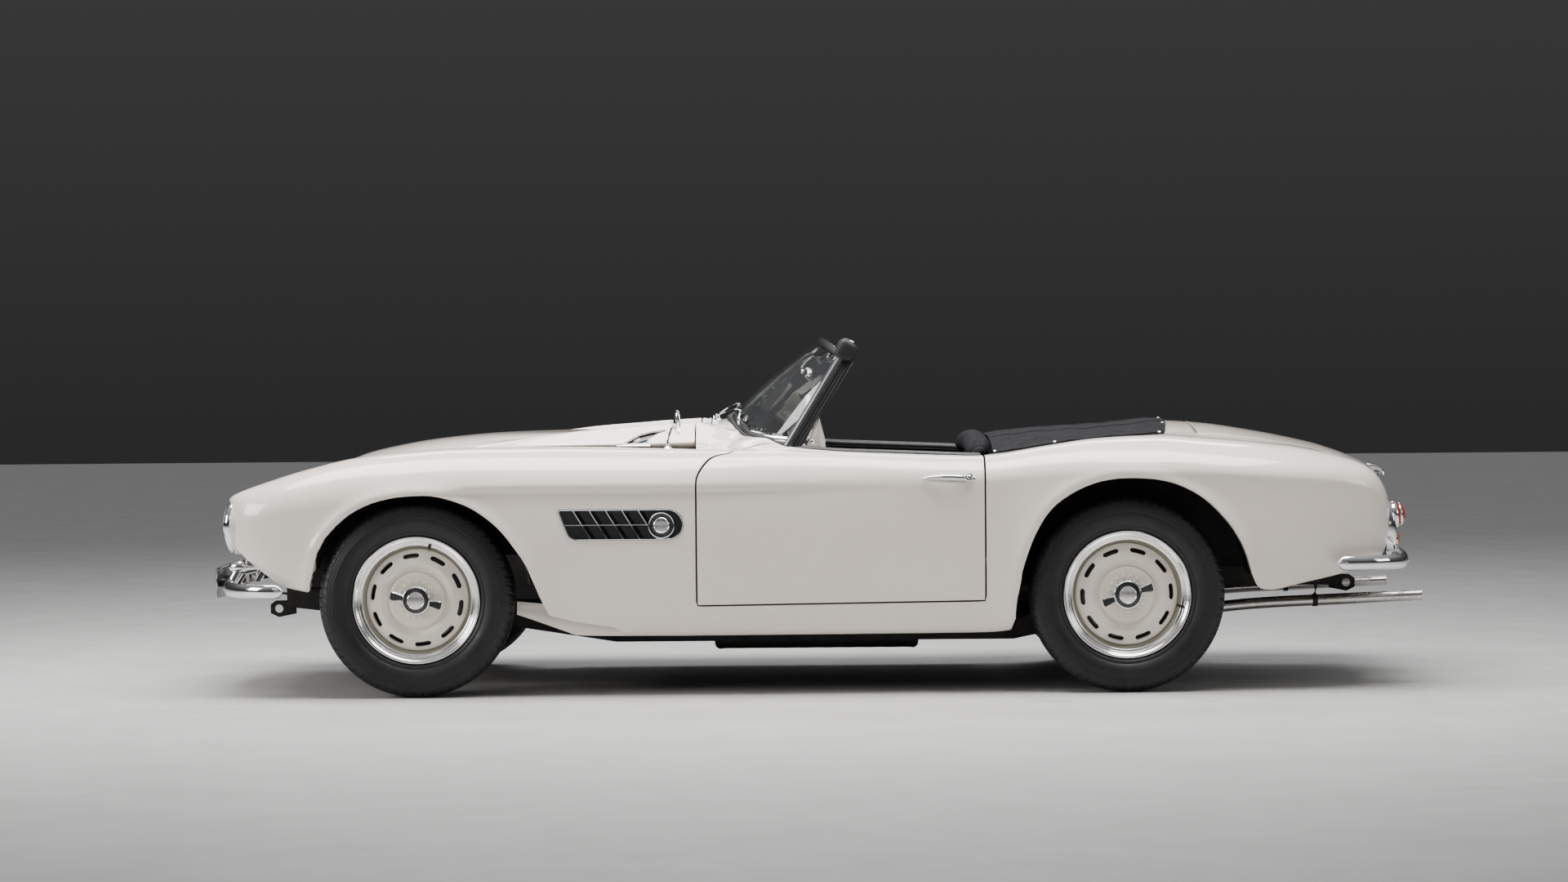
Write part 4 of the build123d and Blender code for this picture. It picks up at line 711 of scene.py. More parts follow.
# ---------- nose and tail: skins that run across between the two sides
def nose_f(a, t):
    """a from -1 (left) to 1 (right) across the nose; t as in the side section at its first station."""
    a, t = np.broadcast_arrays(np.asarray(a, float), np.asarray(t, float))
    E = side_raw(np.zeros(t.shape), t)
    we = E[..., 1]
    q = a * a
    cx = np.interp(t, [0, .05, .10, .14, .19, .24, .29, .34, .42, .50, .60, .70, .78, .84], [-1.988, -2.022, -2.052, -2.070, -2.092, -2.106, -2.1155, -2.119, -2.1185, -2.115, -2.104, -2.086, -2.060, -2.02])
    cz = np.interp(t, [0, .05, .10, .14, .19, .24, .29, .34, .42, .50, .60, .70, .78, .84], [.6700, .6630, .6510, .6395, .6210, .6010, .5800, .5600, .525, .491, .452, .420, .398, .383])
    x = cx * (1 - q) + E[..., 0] * q
    qz = np.abs(a) ** (2 + 6 * sstep(.36, .80, t))
    z = cz * (1 - qz) + E[..., 2] * qz
    r = (15 - .62) / (15 - np.abs(a) * we)
    zp = 1.21 - (1.21 - z) * r
    lim = np.interp(zp, [.365, .3875, .406, .425, .459, .4965, .510, .545], [-1.800, -1.849, -1.889, -1.905, -1.946, -1.989, -2.028, -2.22])
    xl = .021 + (lim + .006 - .021) / r
    d = (xl - x) / .006
    x = x + .006 * np.log1p(np.exp(np.clip(d, -40, 40))) * (1 - np.abs(a) ** 50)
    return np.stack([x, a * we, z], -1)


def build_nose():
    ag = np.linspace(-1, 1, 81)
    # mouth: a wide low rounded opening
    mouth = rounded_outline([(-.415, .452), (.415, .452), (.415, .574), (-.415, .574)], .052, 10)
    mouth = resample(mouth, .012, closed=True)
    m_ut = invert(nose_f, (1, 2), mouth, (-.98, .98), (.16, .75), 200, 220)
    seam_t = ut_line((0, 0), (0, TV[3] - .0005), .010)[:, 1]
    left = np.stack([np.full(len(seam_t), -1.0), seam_t], 1)
    right = np.stack([np.full(len(seam_t), 1.0), seam_t[::-1]], 1)
    bot = np.stack([np.linspace(-1, 1, 81), np.full(81, TV[3] - .0005)], 1)
    top = np.stack([np.linspace(1, -1, 81), np.zeros(81)], 1)
    loop, kinds = chain((left, 0), (bot, .018), (right, 0), (top, .015))
    V, N, F = skin(nose_f, [loop, m_ut], ag, TG, [kinds, .022], keep=.004)
    if N[len(N) // 2][0] > 0:
        pass
    make("nose_skin", V, F, "paint", "body", normals=N, replaces="nose_panel")


TAIL_C = smooth_line([(1.374, .9300), (1.467, .9205), (1.587, .9016), (1.707, .8790), (1.827, .8515), (1.887, .8330), (1.947, .8110), (2.007, .7835), (2.036, .762), (2.056, .735), (2.072, .700), (2.082, .655),
                      (2.087, .610), (2.086, .560), (2.080, .510), (2.068, .466), (2.050, .436), (2.030, .420)], .004)
_side_end = side_raw(np.full(170, U1), np.linspace(0, TV[3] - .0005, 170))
_EX = [1.374, 1.44, 1.5, 1.56, 1.6, 1.66, 1.72, 1.775, 1.845, 1.90, 1.935]
_E = np.vstack([[tuple(side_raw(np.interp(x, KEYS[:, 0][2:-2], _bu[2:-2]), 0.0)) for x in _EX], _side_end[[0] + list(range(4, 170, 4))]])
EDGE_T = resample(_E, .004)


def _split_arc(line, cuts):
    d = np.concatenate([[0], np.cumsum(np.linalg.norm(np.diff(line, axis=0), axis=1))])
    return d


def _param(line, xz_at_mid):
    """Arc parameter 0..1 with 0.5 at the given point."""
    d = np.concatenate([[0], np.cumsum(np.linalg.norm(np.diff(line, axis=0), axis=1))])
    k = int(np.argmin(np.linalg.norm(line - np.asarray(xz_at_mid), axis=1)))
    p = np.where(d <= d[k], .5 * d / d[k], .5 + .5 * (d - d[k]) / (d[-1] - d[k]))
    return p


_pc = _param(TAIL_C, (2.007, .7835))
_pe = _param(EDGE_T, tuple(_side_end[0]))


def tail_f(a, t):
    """a from -1 to 1 across; t from 0 at the lid's front edge to 1 at the foot."""
    a, t = np.broadcast_arrays(np.asarray(a, float), np.asarray(t, float))
    tt = np.clip(t, 0, 1)
    c = [np.interp(tt, _pc, TAIL_C[:, k]) for k in (0, 1)]
    e = [np.interp(tt, _pe, EDGE_T[:, k]) for k in (0, 1, 2)]
    dx = t - tt
    q = np.abs(a) ** 2.0
    x = c[0] * (1 - q) + e[0] * q + dx * 0
    z = c[1] * (1 - q) + e[2] * q
    return np.stack([x, a * e[1], z], -1)


def build_tail():
    ag = np.linspace(-1, 1, 81)
    tg = np.linspace(0, 1, 95)
    # the lid ends low on the tail
    t_end = .735
    gl = .0052
    lid_w = 1 - .0105 / .48
    n = 90
    cr = .06
    side_l = np.stack([np.full(n, -lid_w), np.linspace(.006, t_end - .05, n)], 1)
    arc_l = np.array([(-lid_w + .085 * (1 - math.cos(b)), t_end - .05 + .05 * math.sin(b)) for b in np.linspace(0, PI / 2, 10)])
    bot = np.stack([np.linspace(-lid_w + .085, lid_w - .085, 70), np.full(70, t_end)], 1)
    arc_r = arc_l[::-1] * [-1, 1]
    side_r = side_l[::-1] * [-1, 1]
    top = np.stack([np.linspace(lid_w, -lid_w, 81), np.full(81, .006)], 1)
    loop, kinds = chain((side_l, .014), (arc_l, .014), (bot, .014), (arc_r, .014), (side_r, .014), (top, .014))
    keep = np.linalg.norm(loop - np.roll(loop, 1, 0), axis=1) > 1e-6
    V, N, F = skin(tail_f, [loop[keep]], ag, tg, [kinds[keep]], keep=.003, flip=True)
    make("boot_lid_skin", V, F, "paint", "boot_lid", normals=N, replaces="boot_lid")
    # tail panel under and beside it
    seam = tail_f(np.full(170, -1.0), np.linspace(0, 1, 170))
    t0 = .5
    k = 60
    lo_l = np.stack([np.full(k, -1.0), np.linspace(t0, 1, k)], 1)
    bo = np.stack([np.linspace(-1, 1, 81), np.full(81, 1.0)], 1)
    lo_r = lo_l[::-1] * [-1, 1]
    in_r = np.stack([np.full(30, lid_w + .019), np.linspace(t0, t_end - .045, 30)], 1)
    arc2 = np.array([(lid_w + .019 - .085 * (1 - math.cos(b)), t_end - .045 + .060 * math.sin(b)) for b in np.linspace(0, PI / 2, 10)])
    mid = np.stack([np.linspace(lid_w + .019 - .085, -(lid_w + .019 - .085), 70), np.full(70, t_end + .015)], 1)
    arc3 = arc2[::-1] * [-1, 1]
    in_l = in_r[::-1] * [-1, 1]
    loop, kinds = chain((lo_l, 0), (bo, .018), (lo_r, 0), (np.array([lo_r[-1], in_r[0]]), 0), (in_r, .014), (arc2, .014), (mid, .014), (arc3, .014), (in_l, .014), (np.array([in_l[-1], lo_l[0]]), 0))
    keep = np.linalg.norm(loop - np.roll(loop, 1, 0), axis=1) > 1e-6
    V, N, F = skin(tail_f, [loop[keep]], ag, tg, [kinds[keep]], keep=.003, flip=True)
    make("tail_skin", V, F, "paint", "body", normals=N, replaces="tail_panel")


# ---------- bonnet and scuttle
def bonnet_f(x, a):
    x, a = np.broadcast_arrays(np.asarray(x, float), np.asarray(a, float))
    we = np.interp(x, [-1.99, -1.52], [.488, .4895])
    we = np.where(x < -1.52, we, VALLEY_W(x) - .0045)
    w = np.abs(a) * we
    z = bonnet_z(x, w)
    # front edge rolls down to the nose
    return np.stack([x, a * we, z], -1)


def cowl_f(x, a):
    x, a = np.broadcast_arrays(np.asarray(x, float), np.asarray(a, float))
    we = VALLEY_W(x)
    return np.stack([x, a * we, cowl_z(x, a * we)], -1)


def build_bonnet():
    x0f = lambda a: -1.983 + .062 * 0 * a * a
    xs = np.concatenate([np.arange(-1.99, -.42, .016), [-.4145]])
    ag = np.concatenate([np.linspace(-1, -.7, 26), np.linspace(-.68, .68, 60), np.linspace(.7, 1, 26)])
    X1 = -.4160
    A = .9867
    fr = np.stack([np.full(90, -1.9775), np.linspace(-A, A, 90)], 1)
    rt = np.stack([np.linspace(-1.9775, X1, 120), np.full(120, A)], 1)
    re = np.stack([np.full(130, X1), np.linspace(A, -A, 130)], 1)
    lf = np.stack([np.linspace(X1, -1.9775, 120), np.full(120, -A)], 1)
    loop, kinds = chain((fr, .014), (rt, .030), (re, .014), (lf, .030))
    holes = [BFIN_LOOP_R, BFIN_LOOP_L]
    V, N, F = skin(bonnet_f, [loop] + holes, xs, ag, [kinds, .010, .010], keep=.0045)
    make("bonnet_skin", V, F, "paint", "bonnet", normals=N, replaces="bonnet")


def build_cowl():
    n = 70
    xs = np.arange(-.405, -.02, .010)
    ag = np.concatenate([np.linspace(-1, -.6, 30), np.linspace(-.58, .58, 40), np.linspace(.6, 1, 30)])
    X0 = -.4045
    base = []
    for (x, w, z) in resample(smooth_line(BASE_PTS, .01), .012):
        base.append((x, w / float(VALLEY_W(x))))
    base = [(x, min(a, 1.0)) for x, a in base if a < .997]
    cow = [(x, 1.0) for x in np.linspace(X0, -.168, 40)]
    fr = np.stack([np.full(130, X0), np.linspace(-1, 1, 130)], 1)
    right = np.array(cow)
    bb = np.array([(x, a) for x, a in base[::-1]])
    full = np.vstack([right[-1], bb, (bb * [1, -1])[::-1][1:], (right[-1] * [1, -1])])
    left = (right * [1, -1])[::-1]
    loop, kinds = chain((fr, .014), (right, 0), (full, .006), (left, 0))
    keep = np.linalg.norm(loop - np.roll(loop, 1, 0), axis=1) > 1e-6
    V, N, F = skin(cowl_f, [loop[keep]], xs, ag, [kinds[keep]], keep=.0035)
    make("scuttle_skin", V, F, "paint", "body", normals=N, replaces="cowl")


# the fin-shaped outlet on the bonnet's shoulder, found in side view
_fin = resample(rounded_outline([(-.684, .8655), (-.577, .8665), (-.579, .8840), (-.566, .8990), (-.545, .9110), (-.512, .9205), (-.514, .9235), (-.569, .9170), (-.608, .9075), (-.648, .8865)], .002, 2), .008, closed=True)
_finp = invert(bonnet_f, (0, 2), _fin, (-.75, -.45), (.86, 1.0), 160, 300)
BFIN_LOOP_R = _finp
BFIN_LOOP_L = (_finp * [1, -1])[::-1]


# =============================================================== materials
class Nodes:
    """Small helper that writes a node tree."""
    def __init__(self, name):
        self.m = bpy.data.materials.new(name)
        self.m.use_nodes = True
        self.t = self.m.node_tree
        self.t.nodes.clear()
        self.out = self.t.nodes.new("ShaderNodeOutputMaterial")
        self.b = self.t.nodes.new("ShaderNodeBsdfPrincipled")
        self.t.links.new(self.b.outputs[0], self.out.inputs[0])
        self.co = self.t.nodes.new("ShaderNodeTexCoord").outputs["Object"]

    def set(self, **kw):
        names = {"base": "Base Color", "rough": "Roughness", "metal": "Metallic", "coat": "Coat Weight", "coatr": "Coat Roughness", "spec": "Specular IOR Level", "trans": "Transmission Weight",
                 "ior": "IOR", "sheen": "Sheen Weight", "sheenr": "Sheen Roughness", "alpha": "Alpha", "sub": "Subsurface Weight", "emis": "Emission Strength", "emisc": "Emission Color", "aniso": "Anisotropic"}
        for k, v in kw.items():
            s = self.b.inputs[names[k]]
            if k in ("base", "emisc"):
                s.default_value = (v[0], v[1], v[2], 1)
            else:
                s.default_value = v
        return self

    def tex(self, kind, scale=1.0, stretch=None, **kw):
        n = self.t.nodes.new(kind)
        co = self.co
        if stretch is not None:
            mp = self.t.nodes.new("ShaderNodeMapping")
            mp.inputs["Scale"].default_value = stretch
            self.t.links.new(co, mp.inputs["Vector"])
            co = mp.outputs[0]
        self.t.links.new(co, n.inputs["Vector"])
        n.inputs["Scale"].default_value = scale
        for k, v in kw.items():
            if k in n.inputs:
                n.inputs[k].default_value = v
            else:
                setattr(n, k, v)
        return n

    def noise(self, scale, detail=3.0, rough=.55, stretch=None):
        return self.tex("ShaderNodeTexNoise", scale, stretch, Detail=detail, Roughness=rough).outputs[0]

    def voronoi(self, scale, feature="F1", stretch=None, out="Distance"):
        n = self.tex("ShaderNodeTexVoronoi", scale, stretch)
        n.feature = feature
        return n.outputs[out]

    def wave(self, scale, direction="X", dist=0.0, stretch=None):
        n = self.tex("ShaderNodeTexWave", scale, stretch)
        n.bands_direction = direction
        n.inputs["Distortion"].default_value = dist
        return n.outputs["Fac"]

    def ramp(self, fac, a, b, lo=0.0, hi=1.0):
        n = self.t.nodes.new("ShaderNodeMapRange")
        n.inputs["From Min"].default_value, n.inputs["From Max"].default_value = lo, hi
        n.inputs["To Min"].default_value, n.inputs["To Max"].default_value = a, b
        self.t.links.new(fac, n.inputs["Value"])
        return n.outputs[0]

    def mix(self, fac, a, b):
        n = self.t.nodes.new("ShaderNodeMix")
        n.data_type = "RGBA"
        self.t.links.new(fac, n.inputs[0])
        n.inputs[6].default_value = (*a, 1)
        n.inputs[7].default_value = (*b, 1)
        return n.outputs[2]

    def math(self, op, a, b):
        n = self.t.nodes.new("ShaderNodeMath")
        n.operation = op
        for i, v in enumerate((a, b)):
            if isinstance(v, (int, float)):
                n.inputs[i].default_value = v
            else:
                self.t.links.new(v, n.inputs[i])
        return n.outputs[0]

    def bump(self, height, dist=.001, strength=1.0, target="Normal"):
        n = self.t.nodes.new("ShaderNodeBump")
        n.inputs["Strength"].default_value = strength
        n.inputs["Distance"].default_value = dist
        self.t.links.new(height, n.inputs["Height"])
        if getattr(self, "_bump", None):
            self.t.links.new(self._bump, n.inputs["Normal"])
        self._bump = n.outputs[0]
        self.t.links.new(n.outputs[0], self.b.inputs[target])
        return self

    def to(self, sock, out):
        self.t.links.new(out, self.b.inputs[sock])
        return self


def mat(key, name, **kw):
    n = Nodes(name)
    n.set(**kw)
    MATS[key] = n.m
    return n


def speckle_rough(n, lo, hi, scale=40.0):
    n.to("Roughness", n.ramp(n.noise(scale, 4.0, .6), lo, hi, .3, .7))
    return n


m = mat("paint", "ivory_paint", rough=.30, spec=.5, coat=1.0, coatr=.035)
m.to("Base Color", m.mix(m.ramp(m.noise(2.2, 3.0), 0, 1, .3, .7), (.790, .712, .640), (.815, .738, .668)))
speckle_rough(m, .26, .36, 90)
m.bump(m.noise(420, 1.0), .00002, .35)

m = mat("cream_wheel", "wheel_enamel", rough=.32, coat=.9, coatr=.06)
m.to("Base Color", m.mix(m.ramp(m.noise(9.0, 3.0), 0, 1, .3, .7), (.74, .68, .575), (.78, .725, .625)))
speckle_rough(m, .26, .40, 120)
m.bump(m.noise(300, 2.0), .00004, .4)

m = mat("chrome", "bright_chrome", base=(.86, .86, .87), metal=1.0)
speckle_rough(m, .045, .11, 60)
m.bump(m.noise(55, 2.0), .00005, .25)

m = mat("brushed", "polished_rim", base=(.80, .79, .77), metal=1.0)
speckle_rough(m, .12, .24, 80)
m.bump(m.noise(220, 2.0), .00004, .4)

m = mat("rubber", "black_rubber", base=(.012, .012, .013), rough=.5, spec=.35)
speckle_rough(m, .42, .60, 150)
m.bump(m.noise(600, 3.0), .0002, .35)

m = mat("tyre", "tyre_rubber", spec=.38)
m.to("Base Color", m.mix(m.ramp(m.noise(16, 5.0, .7), 0, 1, .35, .65), (.0045, .0048, .0060), (.0090, .0092, .0108)))
speckle_rough(m, .38, .58, 45)
m.bump(m.noise(900, 2.0), .0002, .35)
m.bump(m.noise(60, 3.0), .0004, .18)

m = mat("fabric", "black_hood_cloth", spec=.10, sheen=.02, sheenr=.4)
m.to("Base Color", m.mix(m.ramp(m.noise(22, 4.0), 0, 1, .3, .7), (.0055, .0055, .0072), (.0105, .0105, .0130)))
w1, w2 = m.wave(330, "X", .3), m.wave(330, "Y", .3)
m.bump(m.math("ADD", w1, w2), .0005, .45)
m.bump(m.noise(36, 4.0), .002, .25)
speckle_rough(m, .62, .82, 60)

m = mat("leather", "black_leather", spec=.45)
m.to("Base Color", m.mix(m.ramp(m.noise(14, 4.0), 0, 1, .3, .7), (.010, .010, .011), (.019, .0185, .019)))
m.bump(m.voronoi(330, "F1"), .0006, .40)
m.bump(m.noise(24, 3.0), .002, .20)
speckle_rough(m, .36, .52, 50)

m = mat("carpet", "black_carpet", spec=.1, sheen=.3)
m.to("Base Color", m.mix(m.ramp(m.noise(120, 3.0), 0, 1, .3, .7), (.008, .008, .009), (.024, .023, .023)))
m.set(rough=.95)
m.bump(m.noise(700, 3.0), .003, .7)

m = mat("ivory", "ivory_rim_plastic", coat=.6, coatr=.08)
m.to("Base Color", m.mix(m.ramp(m.noise(18, 2.0), 0, 1, .3, .7), (.72, .655, .53), (.77, .71, .59)))
speckle_rough(m, .22, .32, 80)
m.bump(m.noise(200, 2.0), .00006, .3)

m = mat("glass", "clear_glass", base=(.96, .985, .98), rough=.0, trans=1.0, ior=1.45)
m.to("Roughness", m.ramp(m.noise(14, 3.0), 0.0, .012, .5, .8))
m.bump(m.noise(6, 1.0), .00003, .1)

m = mat("lampglass", "fluted_lamp_glass", base=(.95, .97, .98), trans=1.0, ior=1.5)
m.to("Roughness", m.ramp(m.noise(20, 3.0), .0, .05, .3, .8))
m.bump(m.wave(34, "Y", .0), .004, .35)

m = mat("red", "red_lens", base=(.42, .008, .010), rough=.12, trans=.45, ior=1.5, coat=.5)
m.to("Base Color", m.mix(m.ramp(m.noise(30, 2.0), 0, 1, .3, .7), (.36, .004, .006), (.50, .012, .014)))
m.bump(m.wave(60, "Z", .0), .002, .4)

m = mat("amber", "amber_lens", rough=.12, trans=.4, ior=1.5)
m.to("Base Color", m.mix(m.ramp(m.noise(30, 2.0), 0, 1, .3, .7), (.62, .20, .02), (.72, .26, .03)))
m.bump(m.wave(60, "Y", .0), .002, .4)

m = mat("chassis", "black_chassis_paint", spec=.3)
m.to("Base Color", m.mix(m.ramp(m.noise(9, 5.0, .7), 0, 1, .35, .7), (.008, .008, .008), (.020, .018, .016)))
speckle_rough(m, .55, .8, 30)
m.bump(m.noise(120, 4.0), .0008, .4)

m = mat("engine", "cast_engine_metal", metal=.9)
m.to("Base Color", m.mix(m.ramp(m.noise(25, 5.0, .7), 0, 1, .3, .7), (.17, .17, .165), (.28, .275, .265)))
speckle_rough(m, .42, .62, 40)
m.bump(m.noise(160, 4.0), .001, .5)

m = mat("iron", "brake_iron", metal=.8)
m.to("Base Color", m.mix(m.ramp(m.noise(30, 5.0, .7), 0, 1, .3, .7), (.035, .031, .028), (.075, .064, .055)))
speckle_rough(m, .5, .75, 40)
m.bump(m.noise(180, 4.0), .0008, .5)

m = mat("exhaust", "exhaust_steel", metal=1.0)
m.to("Base Color", m.mix(m.ramp(m.noise(7, 4.0, .6), 0, 1, .3, .7), (.50, .48, .45), (.66, .64, .61)))
speckle_rough(m, .16, .32, 35)
m.bump(m.noise(140, 3.0), .0002, .35)

m = mat("plate", "dark_plate_enamel", coat=.4, coatr=.1)
m.to("Base Color", m.mix(m.ramp(m.noise(12, 3.0), 0, 1, .3, .7), (.030, .031, .034), (.045, .046, .050)))
speckle_rough(m, .28, .42, 60)
m.bump(m.noise(90, 2.0), .0002, .3)

m = mat("black_trim", "black_satin_trim", spec=.5, coat=.3, coatr=.15)
m.to("Base Color", m.mix(m.ramp(m.noise(20, 3.0), 0, 1, .3, .7), (.007, .007, .008), (.014, .014, .015)))
speckle_rough(m, .25, .4, 70)
m.bump(m.noise(260, 2.0), .0001, .3)

m = mat("dial", "dial_face", coat=.8, coatr=.03)
m.to("Base Color", m.mix(m.ramp(m.noise(40, 3.0), 0, 1, .3, .7), (.010, .010, .011), (.016, .016, .017)))
speckle_rough(m, .3, .4, 90)
m.bump(m.noise(400, 2.0), .0001, .3)

m = mat("dialmark", "dial_marks", rough=.4)
m.to("Base Color", m.mix(m.ramp(m.noise(60, 2.0), 0, 1, .3, .7), (.70, .69, .64), (.78, .77, .72)))
m.bump(m.noise(300, 2.0), .00005, .3)

m = mat("reflector", "lamp_reflector", base=(.90, .90, .91), metal=1.0)
speckle_rough(m, .06, .14, 60)
m.bump(m.noise(90, 2.0), .0002, .25)

m = mat("wire", "radiator_core", metal=.6)
m.to("Base Color", m.mix(m.ramp(m.wave(160, "Z", .2), 0, 1, .3, .7), (.004, .004, .004), (.02, .02, .02)))
speckle_rough(m, .5, .7, 60)
m.bump(m.wave(160, "Z", .2), .002, .6)

SLOT_MAT = {"body_paint": "paint", "wheel_paint": "cream_wheel", "frame_paint": "chassis", "column_paint": "black_trim", "plate_paint": "plate", "bright_chrome": "chrome", "engine_metal": "engine",
            "brake_iron": "iron", "exhaust_steel": "exhaust", "tyre_rubber": "tyre", "ivory_rim": "ivory", "lamp_glass": "lampglass", "red_lens": "red", "clear_glass": "glass", "seat_leather": "leather",
            "dash_leather": "leather", "black_cloth": "fabric", "carpet": "carpet", "boot_lining": "carpet"}
_node_slot = {}
for _s_ in frame["record"].get("materials", []):
    pass
for _p in frame["record"].get("subparts", []):
    _n = _p.get("node") or _p.get("name")
    _node_slot[_n] = _p.get("material_slot")
for _n, _o in frame["nodes"].items():
    _o.data.materials.clear()
    _o.data.materials.append(MATS[SLOT_MAT.get(_node_slot.get(_n), "chassis")])
for _n in ("front_wheel_housings", "rear_wheel_housings", "firewall", "rear_bulkhead", "floor_pan", "boot_floor", "sills", "grille"):
    if _n in frame["nodes"]:
        frame["nodes"][_n].data.materials.clear()
        frame["nodes"][_n].data.materials.append(MATS["chassis"])
EXTRA = []


# =============================================================== general solids
def grid_faces(nu, nv, close_u=False, close_v=False, base=0):
    F = []
    for i in range(nu if close_u else nu - 1):
        for j in range(nv if close_v else nv - 1):
            a, b = i * nv + j, ((i + 1) % nu) * nv + j
            c, d = ((i + 1) % nu) * nv + (j + 1) % nv, i * nv + (j + 1) % nv
            F.append((base + a, base + b, base + c, base + d))
    return F


def orient(V, F, outward=None):
    """Returns the points and faces unchanged."""
    return V, F


def mesh_of(name, V, F, smooth=True, angle=None, fix=True):
    me = bpy.data.meshes.new(name)
    me.from_pydata(np.asarray(V, float).tolist(), [], [tuple(int(i) for i in f) for f in F])
    me.validate(verbose=False)
    if fix:
        bm = bmesh.new()
        bm.from_mesh(me)
        bmesh.ops.remove_doubles(bm, verts=bm.verts, dist=1e-6)
        bmesh.ops.recalc_face_normals(bm, faces=bm.faces)
        bm.to_mesh(me)
        bm.free()
    if smooth:
        me.shade_smooth()
        if angle is not None:
            me.set_sharp_from_angle(angle=math.radians(angle))
    return me


def put(name, me, mats, body="body", replaces=None, M=None):
    o = link(bpy.data.objects.new(name, me))
    if mats and not me.materials:
        for m_ in ([mats] if isinstance(mats, str) else mats):
            me.materials.append(MATS[m_])
    if M is not None:
        o.matrix_world = M
    if body:
        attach(o, body)
    if replaces:
        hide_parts(*([replaces] if isinstance(replaces, str) else replaces))
    return o


def join(parts):
    """Joins (V, F, material index) lists."""
    V, F, M, b = [], [], [], 0
    for v, f, m_ in parts:
        v = np.asarray(v, float)
        V.append(v)
        F += [tuple(i + b for i in q) for q in f]
        M += [m_] * len(f)
        b += len(v)
    return np.concatenate(V), F, M


def multi(name, parts, mats, body="body", replaces=None, M=None, angle=35, fix=True):
    V, F, mi = join(parts)
    me = bpy.data.meshes.new(name)
    me.from_pydata(V.tolist(), [], [tuple(int(i) for i in f) for f in F])
    for m_ in mats:
        me.materials.append(MATS[m_])
    me.polygons.foreach_set("material_index", mi)
    if fix:
        bm = bmesh.new()
        bm.from_mesh(me)
        bmesh.ops.remove_doubles(bm, verts=bm.verts, dist=1e-6)
        bmesh.ops.recalc_face_normals(bm, faces=bm.faces)
        bm.to_mesh(me)
        bm.free()
    me.validate(verbose=False)
    me.shade_smooth()
    if angle:
        me.set_sharp_from_angle(angle=math.radians(angle))
    return put(name, me, None, body, replaces, M)


def revolve(prof, n=96, axis="y", a0=0.0, sign=-1):
    """(radius, offset) profile turned about Y; offset counts outwards, along sign * Y."""
    P = np.asarray(prof, float)
    th = np.linspace(0, 2 * PI, n, endpoint=False) + a0
    V = np.stack([np.outer(np.cos(th), P[:, 0]), np.tile(sign * P[:, 1], (n, 1)), np.outer(np.sin(th), P[:, 0])], -1).reshape(-1, 3)
    return V, grid_faces(n, len(P), close_u=True)


def frames_along(P, up=(0, 0, 1), closed=False):
    P = np.asarray(P, float)
    if closed:
        T = np.roll(P, -1, 0) - np.roll(P, 1, 0)
    else:
        T = np.gradient(P, axis=0)
    T /= np.maximum(np.linalg.norm(T, axis=1, keepdims=True), 1e-12)
    U = np.asarray(up, float) * np.ones_like(P)
    S = np.cross(T, U)
    bad = np.linalg.norm(S, axis=1) < 1e-4
    S[bad] = np.cross(T[bad], [1, 0, 0])
    S /= np.maximum(np.linalg.norm(S, axis=1, keepdims=True), 1e-12)
    N = np.cross(S, T)
    return T, S, N


def sweep(P, section, up=(0, 0, 1), closed=False, scale=None, caps=True):
    """A closed (side, up) section carried along the points."""
    P = np.asarray(P, float)
    T, S, N = frames_along(P, up, closed)
    sec = np.asarray(section, float)
    sc = np.ones(len(P)) if scale is None else np.asarray(scale, float)
    if sc.ndim == 1:
        sc = np.stack([sc, sc], 1)
    V = P[:, None, :] + S[:, None, :] * (sec[None, :, 0:1] * sc[:, None, 0:1]) + N[:, None, :] * (sec[None, :, 1:2] * sc[:, None, 1:2])
    n, k = len(P), len(sec)
    F = grid_faces(n, k, close_u=closed, close_v=True)
    V = V.reshape(-1, 3)
    if caps and not closed:
        F += [tuple(range(k))[::-1], tuple((n - 1) * k + i for i in range(k))]
    return V, F


def circle(r, n=12):
    return [(r * math.cos(2 * PI * i / n), r * math.sin(2 * PI * i / n)) for i in range(n)]


def tube(P, r, n=12, taper=None, closed=False):
    return sweep(P, circle(r, n), closed=closed, scale=taper)


def box_vf(lo, hi, bev=0.0):
    """A box, with chamfered edges when bev is given."""
    lo, hi = np.asarray(lo, float), np.asarray(hi, float)
    bm = bmesh.new()
    bmesh.ops.create_cube(bm, size=1.0)
    for v in bm.verts:
        v.co = Vector(lo + (np.array(v.co) + .5) * (hi - lo))
    if bev:
        bmesh.ops.bevel(bm, geom=bm.edges[:], offset=bev, segments=3, affect="EDGES", profile=.7)
    V = np.array([v.co[:] for v in bm.verts])
    bm.verts.ensure_lookup_table()
    F = [tuple(v.index for v in f.verts) for f in bm.faces]
    bm.free()
    return V, F


def dome(c, n, r, h, seg=12, rings=4):
    """A low rounded head of radius r and height h on a point c with direction n."""
    n = np.asarray(n, float) / np.linalg.norm(n)
    a = np.cross(n, [0, 0, 1.0]) if abs(n[2]) < .9 else np.cross(n, [1.0, 0, 0])
    a /= np.linalg.norm(a)
    b = np.cross(n, a)
    V, F = [], []
    for k in range(rings):
        t = k / rings * PI / 2
        for i in range(seg):
            p = 2 * PI * i / seg
            V.append(np.asarray(c) + (a * math.cos(p) + b * math.sin(p)) * r * math.cos(t) + n * h * math.sin(t))
    V.append(np.asarray(c) + n * h)
    for k in range(rings - 1):
        for i in range(seg):
            F.append((k * seg + i, k * seg + (i + 1) % seg, (k + 1) * seg + (i + 1) % seg, (k + 1) * seg + i))
    top = rings * seg
    F += [((rings - 1) * seg + i, (rings - 1) * seg + (i + 1) % seg, top) for i in range(seg)]
    return np.array(V), F


def spline_pts(pts, step):
    return smooth_line(pts, step)


# =============================================================== wheels and tyres
MM = 1e-3


